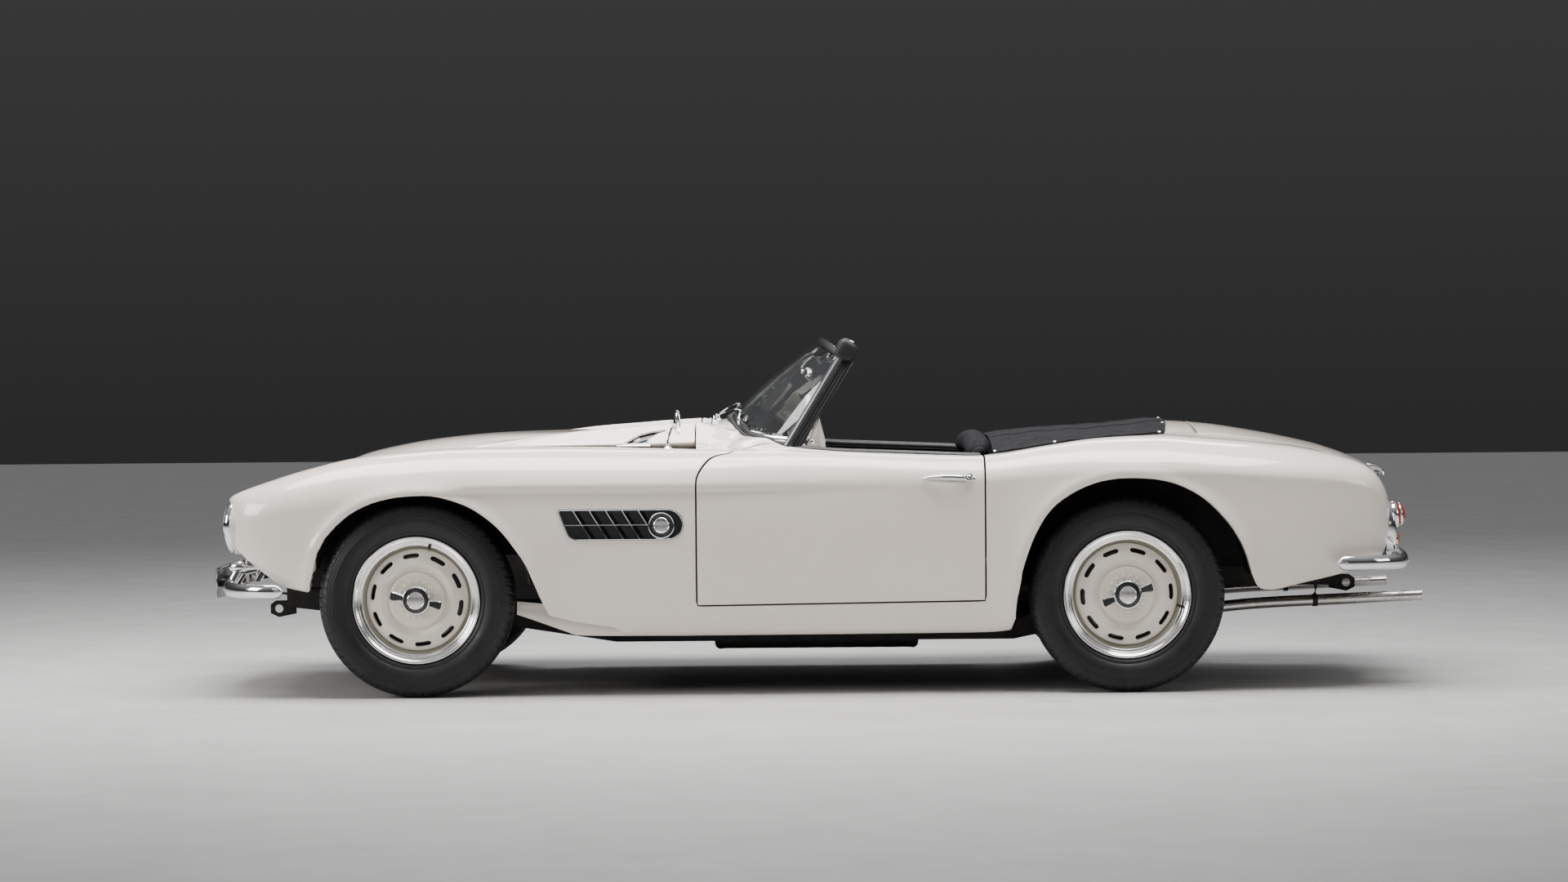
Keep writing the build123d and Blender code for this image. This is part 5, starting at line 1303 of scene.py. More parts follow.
def build_wheels():
    # ---- tyre
    NS = 64 * 14
    half = [(221, 46), (222, 54), (226, 60), (231, 63), (234.5, 65.8), (239, 66.8), (241.5, 66.6), (243, 68.2), (250, 72.6), (260, 77.4), (270, 80.2), (280, 81.3), (286, 81.2), (289, 80.6), (290, 81.4), (292.5, 81.2), (293.5, 79.9),
            (296.5, 79.2), (297.5, 79.9), (299.5, 79.3), (300.5, 78.0), (303.5, 77.0), (304.5, 77.5), (306.5, 76.7), (307.5, 75.2), (310.5, 74.3), (313, 74.2), (316.5, 72.6), (320.5, 70.2), (324.5, 67.3), (328.5, 63.6), (332, 59.4), (335, 54.8), (337.6, 49.8), (339.6, 45.0),
            (340.9, 40.5), (341.0, 38.2), (341.3, 36), (341.6, 33.5), (341.8, 27), (341.9, 20), (342, 16.4), (342, 13.8), (342, 11.2), (342, 6), (342, 0)]
    prof = np.array(half + [(r, -y) for r, y in half[-2::-1]], float)
    th = np.arange(NS) / NS * 2 * PI
    TH, R = np.meshgrid(th, prof[:, 0], indexing="ij")
    Y = np.tile(prof[:, 1], (NS, 1))
    cut = np.zeros_like(R)
    ay = np.abs(Y)
    # shoulder sipes: a hooked cut in each of 64 blocks; s runs from the tread's edge down the shoulder
    s = np.clip((341 - R) / 27.0, 0, 1) + np.clip((44 - ay) / 30, -1, 0) * 0
    onsh = (ay > 36) & (R > 313)
    ph = (TH * 64 / (2 * PI)) % 1.0
    sg = np.where(Y > 0, 1, 1)
    pitch = 2 * PI * 335 / 64
    d1 = (ph - (.25 + .36 * s)) * pitch                                # long leg
    d1 = (d1 + pitch / 2) % pitch - pitch / 2
    cut += np.where(onsh & (s < .80), 4.2 * np.exp(-(d1 / 1.7) ** 2), 0)
    d2 = (ph - (.97 - .42 * s)) * pitch
    d2 = (d2 + pitch / 2) % pitch - pitch / 2
    cut += np.where(onsh & (s > .46) & (s < .95), 2.6 * np.exp(-(d2 / 1.6) ** 2), 0)
    # tread ribs: zigzag grooves all round
    zz = 2.6 * (2 * np.abs(((TH * 64 / (2 * PI)) % 1.0) - .5) - .5) * 2
    for gy, gw, gd in ((37.5, 2.4, 7.0), (13.8, 2.4, 7.0)):
        cut += np.where(R > 338, gd * np.exp(-(((ay + zz * .8) - gy) / gw) ** 4), 0)
    fine = ((TH * 192 / (2 * PI)) % 1.0 - .5) * 2 * PI * 342 / 192
    cut += np.where((ay < 34) & (R > 341.2), 2.2 * np.exp(-(fine / 1.4) ** 2), 0)
    # small radial bars in a ring on the sidewall
    bars = ((TH * 96 / (2 * PI)) % 1.0)
    cut += np.where((R > 244) & (R < 249), -.5 * (bars < .5), 0)
    Rn = R - cut * np.clip((ay < 60) * 1.0 + .55, 0, 1)
    Yn = Y - np.sign(Y) * cut * np.clip((ay - 36) / 40, 0, .8)
    V = np.stack([np.cos(TH) * Rn, Yn, np.sin(TH) * Rn], -1).reshape(-1, 3) * MM
    tyre_me = mesh_of("tyre_mesh", V, grid_faces(NS, len(prof), close_u=True), angle=None, fix=False)
    tyre_me.flip_normals()
    tyre_me.materials.append(MATS["tyre"])

    # ---- rim, polished
    rim = [(222.6, 56), (223.2, 59), (223.0, 61.6), (221.6, 63.4), (219.4, 63.9), (216.8, 62.9), (213.5, 60.2), (210.2, 57.0), (207.3, 54.4), (204.9, 53.0), (203.6, 52.6), (202.9, 51.6), (202.7, 49.8), (201.6, 48.4), (199.3, 47.2),
           (196.0, 46.0), (193.0, 44.6), (191.0, 42.8), (189.9, 40.2), (189.2, 36), (188.4, 30), (186.8, 24), (184.2, 18.6), (181.6, 14.4), (180.4, 8), (180, 0), (180, -30), (186, -44), (203, -52), (212, -58), (218, -61), (222, -60), (222, -54), (214, -50), (206, -44),
           (190, -32), (188, -10), (190, 10), (196, 28), (205, 44), (214, 52), (220, 53), (222.6, 56)]
    V1, F1 = revolve(np.array(rim) * MM, 120)
    rim_me = mesh_of("rim_mesh", V1, F1, angle=50)
    rim_me.materials.append(MATS["brushed"])

    # ---- painted disc with ten slots
    disc = smooth_line(np.array([(180.3, 8), (179.4, 13.0), (178.0, 18.0), (175.4, 23.4), (171.4, 28.0), (166, 31.4), (159, 34.4), (152, 37.4), (145, 40.2), (138, 42.8), (133, 44.4), (128.5, 45.2), (123.5, 44.7), (118.5, 41.6), (113.5, 36.4), (108.6, 31.6), (104, 29.2), (100.6, 28.9),
                                 (98.6, 30.6), (97.3, 33.4), (95.2, 35.8), (92, 37.2), (87, 37.8), (70, 38.2), (48, 38.6)]) * MM, .002)
    arc = np.concatenate([[0], np.cumsum(np.linalg.norm(np.diff(disc, axis=0), axis=1))])
    R0 = .155

    def disc_f(a, s_):
        a, s_ = np.broadcast_arrays(np.asarray(a, float), np.asarray(s_, float))
        r = np.interp(s_, arc, disc[:, 0])
        o_ = np.interp(s_, arc, disc[:, 1])
        return np.stack([np.cos(a / R0) * r, -o_, np.sin(a / R0) * r], -1)

    A = 2 * PI * R0
    sc = float(np.interp(-.1565, -disc[:, 0], arc))
    holes = []
    for k in range(10):
        c = (k + .5) * A / 10
        hl, hw = .0300, .0112
        pts = [(c + hl - hw + hw * math.cos(t), sc + hw * math.sin(t)) for t in np.linspace(-PI / 2, PI / 2, 13)] + [(c - hl + hw + hw * math.cos(t), sc + hw * math.sin(t)) for t in np.linspace(PI / 2, 3 * PI / 2, 13)]
        holes.append(resample(pts, .0035, closed=True))
    ags = np.linspace(0, A, 200)
    sgs = np.unique(np.concatenate([arc[::2], [arc[-1]]]))
    outline, kinds = chain((ut_line((0, 0), (A, 0), A / 199.0001), 0), (ut_line((A, 0), (A, arc[-1]), .004), 0), (ut_line((A, arc[-1]), (0, arc[-1]), A / 199.0001), 0), (ut_line((0, arc[-1]), (0, 0), .004), 0))
    V2, N2, F2 = skin(disc_f, [outline] + holes, ags, sgs, [kinds] + [.007] * 10, roll=.0016, keep=.0012)
    # outwards is -Y here
    if (N2[:, 1] > 0).mean() > .5:
        V2, N2, F2 = skin(disc_f, [outline] + holes, ags, sgs, [kinds] + [.007] * 10, roll=.0016, keep=.0012, flip=True)
    disc_me = bpy.data.meshes.new("disc_mesh")
    disc_me.from_pydata(V2.tolist(), [], [tuple(int(i) for i in f) for f in F2])
    disc_me.shade_smooth()
    disc_me.normals_split_custom_set_from_vertices(N2.tolist())
    disc_me.materials.append(MATS["cream_wheel"])
    # back of the disc, a dark barrel behind the slots in black trim as painted shade, rivets, hub
    rv = []
    for k in range(16):
        a = 2 * PI * (k + .5) / 16
        rv.append((*dome((.065 * math.cos(a), -.0380, .065 * math.sin(a)), (0, -1, 0), .0064, .0042, 14, 4), 0))
    for k in range(16):
        a = 2 * PI * k / 16
        rv.append((*dome((.083 * math.cos(a), -.0378, .083 * math.sin(a)), (0, -1, 0), .0030, .0012, 10, 2), 0)) if k % 2 == 0 else None
    V4, F4 = revolve(np.array([(180, 2), (150, 14), (120, 20), (60, 20), (20, 20)]) * MM, 64)
    rv.append((V4, F4, 1))
    V5, F5 = revolve(np.array([(140, -14), (140, -56), (60, -60), (20, -60)]) * MM, 64)   # brake drum face seen through the slots
    rv.append((V5, F5, 1))
    # ---- knock-off
    nut = [(56, 36), (56, 42), (52.5, 47), (51.2, 52), (50.6, 62), (50.4, 72), (50.0, 78), (49.0, 81.6), (47.0, 83.6), (44.6, 83.9)]
    ring = [(44.6, 83.9), (43.6, 82.2), (40, 82.8), (34, 84.6), (30.4, 86.0)]
    lip = [(30.4, 86.0), (30.0, 87.6), (28.9, 88.2), (28.2, 87.4)]
    cap = [(28.2, 87.4), (27.8, 86.8), (20, 87.7), (10, 88.3), (.2, 88.5)]
    kn = []
    for prof_, mi in ((nut, 0), (ring, 1), (lip, 0), (cap, 2)):
        v, f = revolve(np.array(prof_) * MM, 96)
        kn.append((v, f, mi))

    def ear(s_):
        st = [(36, 9.5, 66, 82), (46, 10.5, 66, 82.5), (56, 12.2, 67, 83.5), (66, 13.8, 68.5, 84.8), (76, 15.0, 70.2, 86.2), (84, 15.6, 71.8, 87.2), (88.5, 15.0, 72.8, 87.6), (90.8, 12.8, 74.0, 87.0)]
        rows = []
        for x, hh, y0, y1 in st:
            b = min(3.4, hh * .3)
            rows.append([(s_ * x, -y0, -hh), (s_ * x, -(y1 - b), -hh), (s_ * x, -y1, -hh + b), (s_ * x, -y1, hh - b), (s_ * x, -(y1 - b), hh), (s_ * x, -y0, hh)])
        V_ = np.array(rows).reshape(-1, 3) * MM
        n_ = len(st)
        dark, bright = [], []
        for i in range(n_ - 1):
            for j in range(6):
                q = (i * 6 + j, (i + 1) * 6 + j, (i + 1) * 6 + (j + 1) % 6, i * 6 + (j + 1) % 6)
                (dark if j == 2 and i >= 1 else bright).append(q)
        bright += [tuple(range(6)), tuple((n_ - 1) * 6 + j for j in range(6))]
        return V_, dark, bright

    for s_ in (-1, 1):
        V_, dark, bright = ear(s_)
        kn.append((V_, dark, 1))
        kn.append((V_, bright, 0))
    # fluted collar between the nut and the disc
    for k in range(24):
        a = 2 * PI * k / 24
        kn.append((*dome((.0512 * math.cos(a), -.057, .0512 * math.sin(a)), (math.cos(a), 0, math.sin(a)), .0032, .0016, 8, 3), 0))

    V6, F6 = tube(np.array([(0, 0, 0), (0, -.012, .002), (0, -.026, .006)]) + np.array([0, -.018, .1835]), .0042, 10)
    V7, F7 = tube(np.array([(0, 0, 0), (0, -.012, .0035)]) + np.array([0, -.042, .1890]), .0055, 12)

    for end, x, tr, aslot, aear, aval in (("front", -1.380, .7225, 97.3, -12.0, 76.0), ("rear", 1.100, .7125, 111.1, 18.0, -13.0)):
        turned_me = tyre_me.copy()
        turned_me.transform(Matrix.Rotation(-math.radians(7 if end == "front" else 40), 4, "Y"))
        for nm, s_ in (("left", -1), ("right", 1)):
            body = f"wheel_{end}_{nm}"
            base = Matrix.Translation((x, s_ * tr, .342))
            if s_ > 0:
                base = base @ Matrix.Rotation(PI, 4, "Z")
            R_ = lambda deg: base @ Matrix.Rotation(-math.radians(deg), 4, "Y")
            put(f"tyre_carcass_{end}_{nm}", turned_me, None, body, f"tyre_{end}_{nm}", R_(0))
            put(f"polished_rim_{end}_{nm}", rim_me, None, body, f"wheel_{end}_{nm}", R_(0))
            put(f"wheel_disc_{end}_{nm}", disc_me, None, body, None, R_(aslot - 18))
            multi(f"wheel_rivets_{end}_{nm}", rv, ["cream_wheel", "black_trim"], body, None, R_(aslot))
            multi(f"knock_off_{end}_{nm}", kn, ["chrome", "black_trim", "brushed"], body, None, R_(aear), angle=40)
            multi(f"tyre_valve_{end}_{nm}", [(V6, F6, 0), (V7, F7, 0)], ["rubber"], body, None, R_(aval - 90))


EXTRA.append(build_wheels)


# =============================================================== bright trim
def ribbon(P, N, section, closed=False, caps=True, scale=None):
    """A closed (a, b) section carried along P: b along the normals N, a along T x N."""
    P, N = np.asarray(P, float), np.asarray(N, float) * np.ones_like(np.asarray(P, float))
    T = (np.roll(P, -1, 0) - np.roll(P, 1, 0)) if closed else np.gradient(P, axis=0)
    T /= np.maximum(np.linalg.norm(T, axis=1, keepdims=True), 1e-12)
    S = np.cross(T, N)
    S /= np.maximum(np.linalg.norm(S, axis=1, keepdims=True), 1e-12)
    B = np.cross(S, T)
    sec = np.asarray(section, float)
    if sec.ndim == 2:
        sec = np.repeat(sec[None], len(P), 0)
    if scale is not None:
        sec = sec * np.asarray(scale, float).reshape(len(P), 1, -1)
    V = (P[:, None] + S[:, None] * sec[:, :, 0:1] + B[:, None] * sec[:, :, 1:2]).reshape(-1, 3)
    n, k = len(P), sec.shape[1]
    F = grid_faces(n, k, close_u=closed, close_v=True)
    if caps and not closed:
        F += [tuple(range(k))[::-1], tuple((n - 1) * k + i for i in range(k))]
    return V, F


def mirror(parts):
    return [(np.asarray(v) * [1, -1, 1], f, m_) for v, f, m_ in parts]


def multi_both(name_l, name_r, parts, mats, body_l="body", body_r="body", rep_l=None, rep_r=None, angle=35):
    """parts are given for the right side (+Y)."""
    multi(name_l, mirror(parts), mats, body_l, rep_l, None, angle)
    multi(name_r, parts, mats, body_r, rep_r, None, angle)


def turned(prof, c, n, seg=64):
    """(radius, offset) profile turned about the direction n at c."""
    n = np.asarray(n, float) / np.linalg.norm(n)
    a = np.cross(n, [0, 0, 1.0]) if abs(n[2]) < .9 else np.cross(n, [1.0, 0, 0])
    a /= np.linalg.norm(a)
    b = np.cross(n, a)
    P = np.asarray(prof, float)
    th = np.linspace(0, 2 * PI, seg, endpoint=False)
    d = np.cos(th)[:, None] * a + np.sin(th)[:, None] * b
    V = np.asarray(c, float) + d[:, None, :] * P[None, :, 0:1] + n * P[None, :, 1:2]
    return V.reshape(-1, 3), grid_faces(seg, len(P), close_u=True)


def side_ribbon(xz, section, ra, rb, closed=False, lift=0.0, caps=True):
    uv = invert(side_raw, (0, 2), xz, ra, rb)
    P = side_raw(uv[:, 0], uv[:, 1])
    N = normals_of(side_raw, uv[:, 0], uv[:, 1])
    N = N * np.sign((N * [0, 1, 0]).sum(1, keepdims=True))
    return ribbon(P + N * lift, N, np.asarray(section, float) * MM, closed, caps), P, N


def build_side_vents():
    ra, rb = (U_OF_X(-1.0), U_OF_X(-.35)), (.34, .70)
    out = np.asarray(VENT_XZ, float)
    parts = []
    # frame: the a axis must point inwards, so check the loop's direction
    area = .5 * np.sum(out[:, 0] * np.roll(out[:, 1], -1) - np.roll(out[:, 0], -1) * out[:, 1])
    sec = np.array([(-1.2, -1.0), (-.8, 1.1), (.9, 3.0), (4.2, 3.6), (7.4, 2.4), (9.2, -.6), (9.6, -6), (9.8, -34), (8.0, -34), (7.6, -6), (1.5, -3)])
    (V, F), P, N = side_ribbon(out, sec, ra, rb, closed=True)
    ctr = P.mean(0)
    V2 = V.reshape(len(P), len(sec), 3)
    if np.linalg.norm(V2[:, 7] - ctr, axis=1).mean() > np.linalg.norm(P - ctr, axis=1).mean():
        (V, F), P, N = side_ribbon(out, sec * [-1, 1], ra, rb, closed=True)
    parts.append((V, F, 0))
    # back of the recess, in black trim: painted shade inside the vent
    back = P - N * .030
    parts.append((np.vstack([back, back.mean(0)]), [(i, (i + 1) % len(back), len(back)) for i in range(len(back))], 1))
    n0 = N.mean(0)
    # slats: a bright edge strip, and behind it a blade in black trim that is painted shade on the slat's side
    zt, zm, zb = .6545, .6007, .5472
    for i in range(5):
        xt = -.8315 + i * .0568
        line = np.array([(xt + (zt - z) * .62, z) for z in np.linspace(zt, zb, 12)])
        if i == 4:
            line = np.array([(xt + (zt - z) * .62, z) for z in np.linspace(zt, zm - .004, 7)])
        for sec_, mi in (([(-1.5, -2.4), (1.3, -2.4), (1.3, -5.5), (-1.5, -5.5)], 0), ([(-1.2, -5.4), (1.2, -5.4), (-9, -27), (-13, -27)], 2)):
            (V, F), _, _ = side_ribbon(line, sec_, ra, rb)
            cx = V.reshape(len(line), 4, 3)
            if mi == 2 and cx[:, 2, 0].mean() < cx[:, 0, 0].mean():
                (V, F), _, _ = side_ribbon(line, [(-a, b) for a, b in sec_], ra, rb)
            parts.append((V, F, mi))
        # bright foot of the slat
        if i < 4:
            foot = np.array([(xt + (zt - zb) * .62 - .010, zb + .001), (xt + (zt - zb) * .62 - .001, zb + .0025)])
            (V, F), _, _ = side_ribbon(foot, [(-1.5, -1.5), (1.5, -1.5), (1.5, -5), (-1.5, -5)], ra, rb)
            parts.append((V, F, 0))
    # middle bar
    bar = np.array([(x, zm) for x in np.linspace(-.8645, -.566, 30)])
    (V, F), _, _ = side_ribbon(bar, [(-2.2, -2.4), (-1.6, -1.0), (1.6, -1.0), (2.2, -2.4), (2.0, -6), (-2.0, -6)], ra, rb)
    parts.append((V, F, 0))
    # boss
    (V, F), C, CN = side_ribbon(np.array([(-.5215, .5985), (-.5200, .5985)]), [(0, 0), (1, 0), (1, 1)], ra, rb)
    c, n = C[0], CN[0]
    for prof, mi in (([(46.5, -12), (46.8, .5), (45.8, 2.6), (43.8, 3.3), (41.8, 2.4), (41.0, .2)], 0), ([(41.0, .2), (40, -3.2), (36, -5.0), (31, -4.2), (27.4, -2.2)], 1),
                     ([(27.4, -2.2), (27.0, 1.6), (26.0, 2.4), (24.9, 1.8)], 0), ([(24.9, 1.8), (24.4, 1.0), (18, 1.8), (9, 2.3), (.1, 2.5)], 3)):
        V, F = turned(np.array(prof) * MM, c, n, 72)
        parts.append((V, F, mi))
    # fine dots round the dish
    a_ = np.cross(n, [0, 0, 1.0]); a_ /= np.linalg.norm(a_); b_ = np.cross(n, a_)
    for k in range(24):
        t = 2 * PI * k / 24
        p = c + (a_ * math.cos(t) + b_ * math.sin(t)) * .0335 - n * .0050
        parts.append((*dome(p, n, .0012, .0010, 6, 2), 0))
    multi_both("side_vent_left", "side_vent_right", parts, ["chrome", "black_trim", "black_trim", "brushed"], rep_l="side_vents", rep_r=None)


def build_fin_trims():
    for nm, loop, s in (("right", BFIN_LOOP_R, 1), ("left", BFIN_LOOP_L, -1)):
        loop = np.asarray(loop, float)
        P = bonnet_f(loop[:, 0], loop[:, 1])
        N = normals_of(bonnet_f, loop[:, 0], loop[:, 1])
        N = N * np.sign(N[:, 2:3])
        parts = []
        # the back of the opening is filled in black trim: painted shade inside the outlet
        inn = P - N * .009
        parts.append((np.vstack([inn, inn.mean(0)]), [(i, (i + 1) % len(inn), len(inn)) for i in range(len(inn))], 1))
        # thin edge all round
        parts.append((*ribbon(P, N, np.array([(-1.0, -.6), (-.6, .8), (.8, .8), (1.2, -1), (1.0, -8), (-.4, -8)]) * MM, closed=True), 1))
        # lower trim with a bright top and a dark underside
        line = smooth_line(np.array([(-.690, .8642), (-.660, .8650), (-.620, .8655), (-.585, .8660), (-.5700, .8662)]), .006)
        uv = invert(bonnet_f, (0, 2), line, (-.75, -.45), (.80, 1.0), 160, 300)
        if s < 0:
            uv = uv * [1, -1]
        Q = bonnet_f(uv[:, 0], uv[:, 1])
        NN = normals_of(bonnet_f, uv[:, 0], uv[:, 1])
        NN = NN * np.sign(NN[:, 2:3])
        sc = np.interp(np.arange(len(Q)), [0, len(Q) - 1], [.35, 1.0])
        parts.append((*ribbon(Q, NN, np.array([(-4.2, -1), (-4.0, 1.6), (-1.0, 3.4), (2.5, 3.2), (4.4, 1.0), (4.4, -1)]) * MM, scale=np.stack([sc, sc], 1)), 0))
        # vanes inside
        for k in range(4):
            z0 = .8705 + k * .011
            ln = np.array([(x, z0 + (x + .66 + .03 * k) * .30) for x in np.linspace(-.655 + .030 * k, -.580 + .016 * k, 8)])
            uv = invert(bonnet_f, (0, 2), ln, (-.75, -.45), (.80, 1.0), 160, 300)
            if s < 0:
                uv = uv * [1, -1]
            Q = bonnet_f(uv[:, 0], uv[:, 1])
            NN = normals_of(bonnet_f, uv[:, 0], uv[:, 1])
            NN = NN * np.sign(NN[:, 2:3])
            parts.append((*ribbon(Q - NN * .005, NN, np.array([(-.9, -3.5), (-.9, 0), (.9, 0), (.9, -3.5)]) * MM), 1))
        multi(f"bonnet_outlet_{nm}", parts, ["chrome", "black_trim"], "bonnet")


def build_door_handles():
    z0, x0, x1 = .7525, .3885, .5735
    xs = np.linspace(x0, x1, 40)
    uv = xz_to_ut([(x, z0) for x in xs], ra=(U_OF_X(.3), U_OF_X(.65)), rb=(.15, .5))
    P = side_raw(uv[:, 0], uv[:, 1])
    N = normals_of(side_raw, uv[:, 0], uv[:, 1])
    N = N * np.sign((N * [0, 1, 0]).sum(1, keepdims=True))
    s = np.linspace(0, 1, 40)
    parts = []
    # back plate
    hh = np.interp(s, [0, .04, .12, .5, .8, .9, .97, 1.0], [.15, .45, .62, .86, .92, .88, .62, .15])
    th = [(math.cos(t), math.sin(t)) for t in np.linspace(0, PI, 9)]
    plate = np.array([(14.0 * c_, -1.5 + 4.0 * s_ ** .6) for c_, s_ in th] + [(-14, -2.5), (14, -2.5)]) * MM
    parts.append((*ribbon(P, N, plate, scale=np.stack([hh, np.ones(40)], 1)), 0))
    # lever: rises from the front tip, arches over the finger space, ends at the button
    i0, i1 = 1, 33
    Q = P[i0:i1].copy()
    q = np.linspace(0, 1, i1 - i0)
    lift = .006 + .0165 * np.sin(np.clip(q * 1.05, 0, 1) * PI) ** .6 * (q < 1) + .004 * q
    Q = Q + N[i0:i1] * lift[:, None]
    w = np.interp(q, [0, .1, .4, .8, 1], [.35, .65, .95, 1.0, .9])
    t_ = np.interp(q, [0, .1, .5, 1], [.6, .9, 1.0, 1.1])
    sec = np.array([(8.6 * math.cos(t), 4.6 * math.sin(t)) for t in np.linspace(0, 2 * PI, 16, endpoint=False)]) * MM
    parts.append((*ribbon(Q, N[i0:i1], sec, scale=np.stack([w, t_], 1)), 0))
    # button boss and push button
    c = P[34] + N[34] * .002
    n = N[34]
    parts.append((*turned(np.array([(15.6, -5), (15.6, 10), (14.6, 15.5), (12.4, 17.6), (10.4, 17.2)]) * MM, c, n, 40), 0))
    # the channel between the boss and the button is black: painted shade in the groove
    parts.append((*turned(np.array([(10.4, 17.2), (10.0, 15.4), (8.6, 15.2)]) * MM, c, n, 40), 1))
    parts.append((*turned(np.array([(8.6, 15.2), (8.2, 20.4), (6.6, 21.6), (3.0, 22.2), (.1, 22.3)]) * MM, c, n, 40), 0))
    # small dark keyway: a black dome as painted shade in the key slot
    parts.append((*dome(c + n * .0221, n, .0021, .0007, 10, 2), 1))
    multi_both("door_handle_lever_left", "door_handle_lever_right", parts, ["chrome", "black_trim"], "door_left", "door_right", "door_handle_left", "door_handle_right")


def build_headlamps():
    c = np.array([-2.027, .600, .6045])
    n = (-1, 0, 0)
    parts = []
    parts.append((*turned(np.array([(94, -30), (96.5, -28), (97.0, -2), (99.4, 1), (101.2, 8), (101.6, 15), (100.8, 22), (98.2, 28.6), (94.2, 33.4), (90.6, 35.4), (88.4, 34.6), (87.4, 31.5), (87.2, 26)]) * MM, c, n, 120), 0))
    parts.append((*turned(np.array([(87.4, 30.5), (86, 33.4), (80, 35.6), (70, 38.2), (55, 41.0), (38, 43.2), (20, 44.3), (.1, 44.7)]) * MM, c, n, 120), 1))
    parts.append((*turned(np.array([(87.0, 27), (84, 12), (76, -10), (64, -30), (48, -46), (30, -56), (14, -60), (.1, -60)]) * MM, c, n, 100), 2))
    parts.append((*turned(np.array([(13, -60), (13, -28), (11, -22), (5, -19), (.1, -18.5)]) * MM, c, n, 40), 0))
    # rim fixing: a small clip screw under the ring
    parts.append((*dome(c + np.array([-.031, 0, -.0975]), (-.3, 0, -1), .0042, .003, 12, 3), 0))
    # fluting on the glass: upright ribs
    for k in range(-7, 8):
        y = k * .0105
        h = math.sqrt(max(.083 ** 2 - y * y, 0))
        zz = np.linspace(-h, h, 18)
        r = np.hypot(zz, y)
        off = np.interp(r / MM, [0, 20, 38, 55, 70, 80, 86], [44.7, 44.3, 43.2, 41.0, 38.2, 35.6, 33.4]) * MM
        line = np.stack([c[0] - off - .0001, c[1] + y + 0 * zz, c[2] + zz], 1)
        parts.append((*tube(line, .0022, 6), 1))
    # painted collar that carries the wing's shape out to the ring
    parts.append((*turned(np.array([(97.0, 12), (99.5, 15.0), (102.4, 14.4), (103.4, 11.6), (103.6, 4), (103.0, -14), (100.5, -30)]) * MM, c, n, 120), 3))
    bent = []
    for V, F, mi in parts:
        V = np.array(V, float)
        dz = (V[:, 2] - c[2]) / .1
        V[:, 0] += np.where(dz > 0, .019, .011) * dz ** 2 * sstep(-.045, .0, c[0] - V[:, 0])
        bent.append((V, F, mi))
    multi_both("headlamp_left", "headlamp_right", bent, ["chrome", "lampglass", "reflector", "paint"], rep_l="headlamps")


def blade_strip(half, h=.0255, bulge=.019, tip=.030, n=150):
    """A bumper blade along plan points from the tip (positive w) to the middle, mirrored."""
    half = np.asarray(half, float)
    full = np.vstack([half, (half * [1, -1, 1])[::-1][1:]])
    P = smooth_line(full, .004)
    P = resample(P, .014)
    d = np.concatenate([[0], np.cumsum(np.linalg.norm(np.diff(P, axis=0), axis=1))])
    L = d[-1]
    e = np.minimum(d, L - d)
    sc = np.sqrt(np.clip(1 - (1 - np.clip(e / tip, 0, 1)) ** 2, .02, 1))
    ph = np.linspace(-80, 80, 15)
    outer = [(bulge * math.cos(math.radians(p)) ** .9, h * math.sin(math.radians(p)) / math.sin(math.radians(80))) for p in ph]
    outer = [(a, b) for a, b in outer]
    inner = [(max(a - .0035, -.001) if abs(b) < h * .9 else a - .002, b * .955) for a, b in outer[::-1]]
    sec = np.array(outer + inner)
    T = np.gradient(P, axis=0)
    T /= np.linalg.norm(T, axis=1, keepdims=True)
    out = np.stack([T[:, 1], -T[:, 0], 0 * T[:, 0]], 1)
    if (out[:, 0] * P[:, 0]).mean() < 0:
        out = -out
    out /= np.maximum(np.linalg.norm(out, axis=1, keepdims=True), 1e-9)
    V = P[:, None] + out[:, None] * (sec[None, :, 0:1] - bulge * .5) * np.maximum(sc, .35)[:, None, None] + np.array([0, 0, 1.0]) * sec[None, :, 1:2] * sc[:, None, None]
    k = len(sec)
    F = grid_faces(len(P), k, close_v=True) + [tuple(range(k)), tuple((len(P) - 1) * k + i for i in range(k))]
    return V.reshape(-1, 3), F, P


def rounded_plate(c, w, h, th, r, n=(1, 0, 0), seg=6):
    """A plate in the YZ plane with rounded corners; returns the solid."""
    pts = rounded_outline([(-w / 2, -h / 2), (w / 2, -h / 2), (w / 2, h / 2), (-w / 2, h / 2)], r, seg)
    pts = np.asarray(pts, float)
    rows = []
    for k, (sx, sc) in enumerate(((-th / 2, .985), (-th / 2 + th * .25, 1.0), (th / 2 - th * .25, 1.0), (th / 2, .985))):
        rows.append(np.stack([np.full(len(pts), c[0] + sx), c[1] + pts[:, 0] * sc, c[2] + pts[:, 1] * sc], 1))
    V = np.concatenate(rows)
    m_ = len(pts)
    F = grid_faces(4, m_, close_v=True) + [tuple(range(m_)), tuple(3 * m_ + i for i in range(m_))]
    return V, F


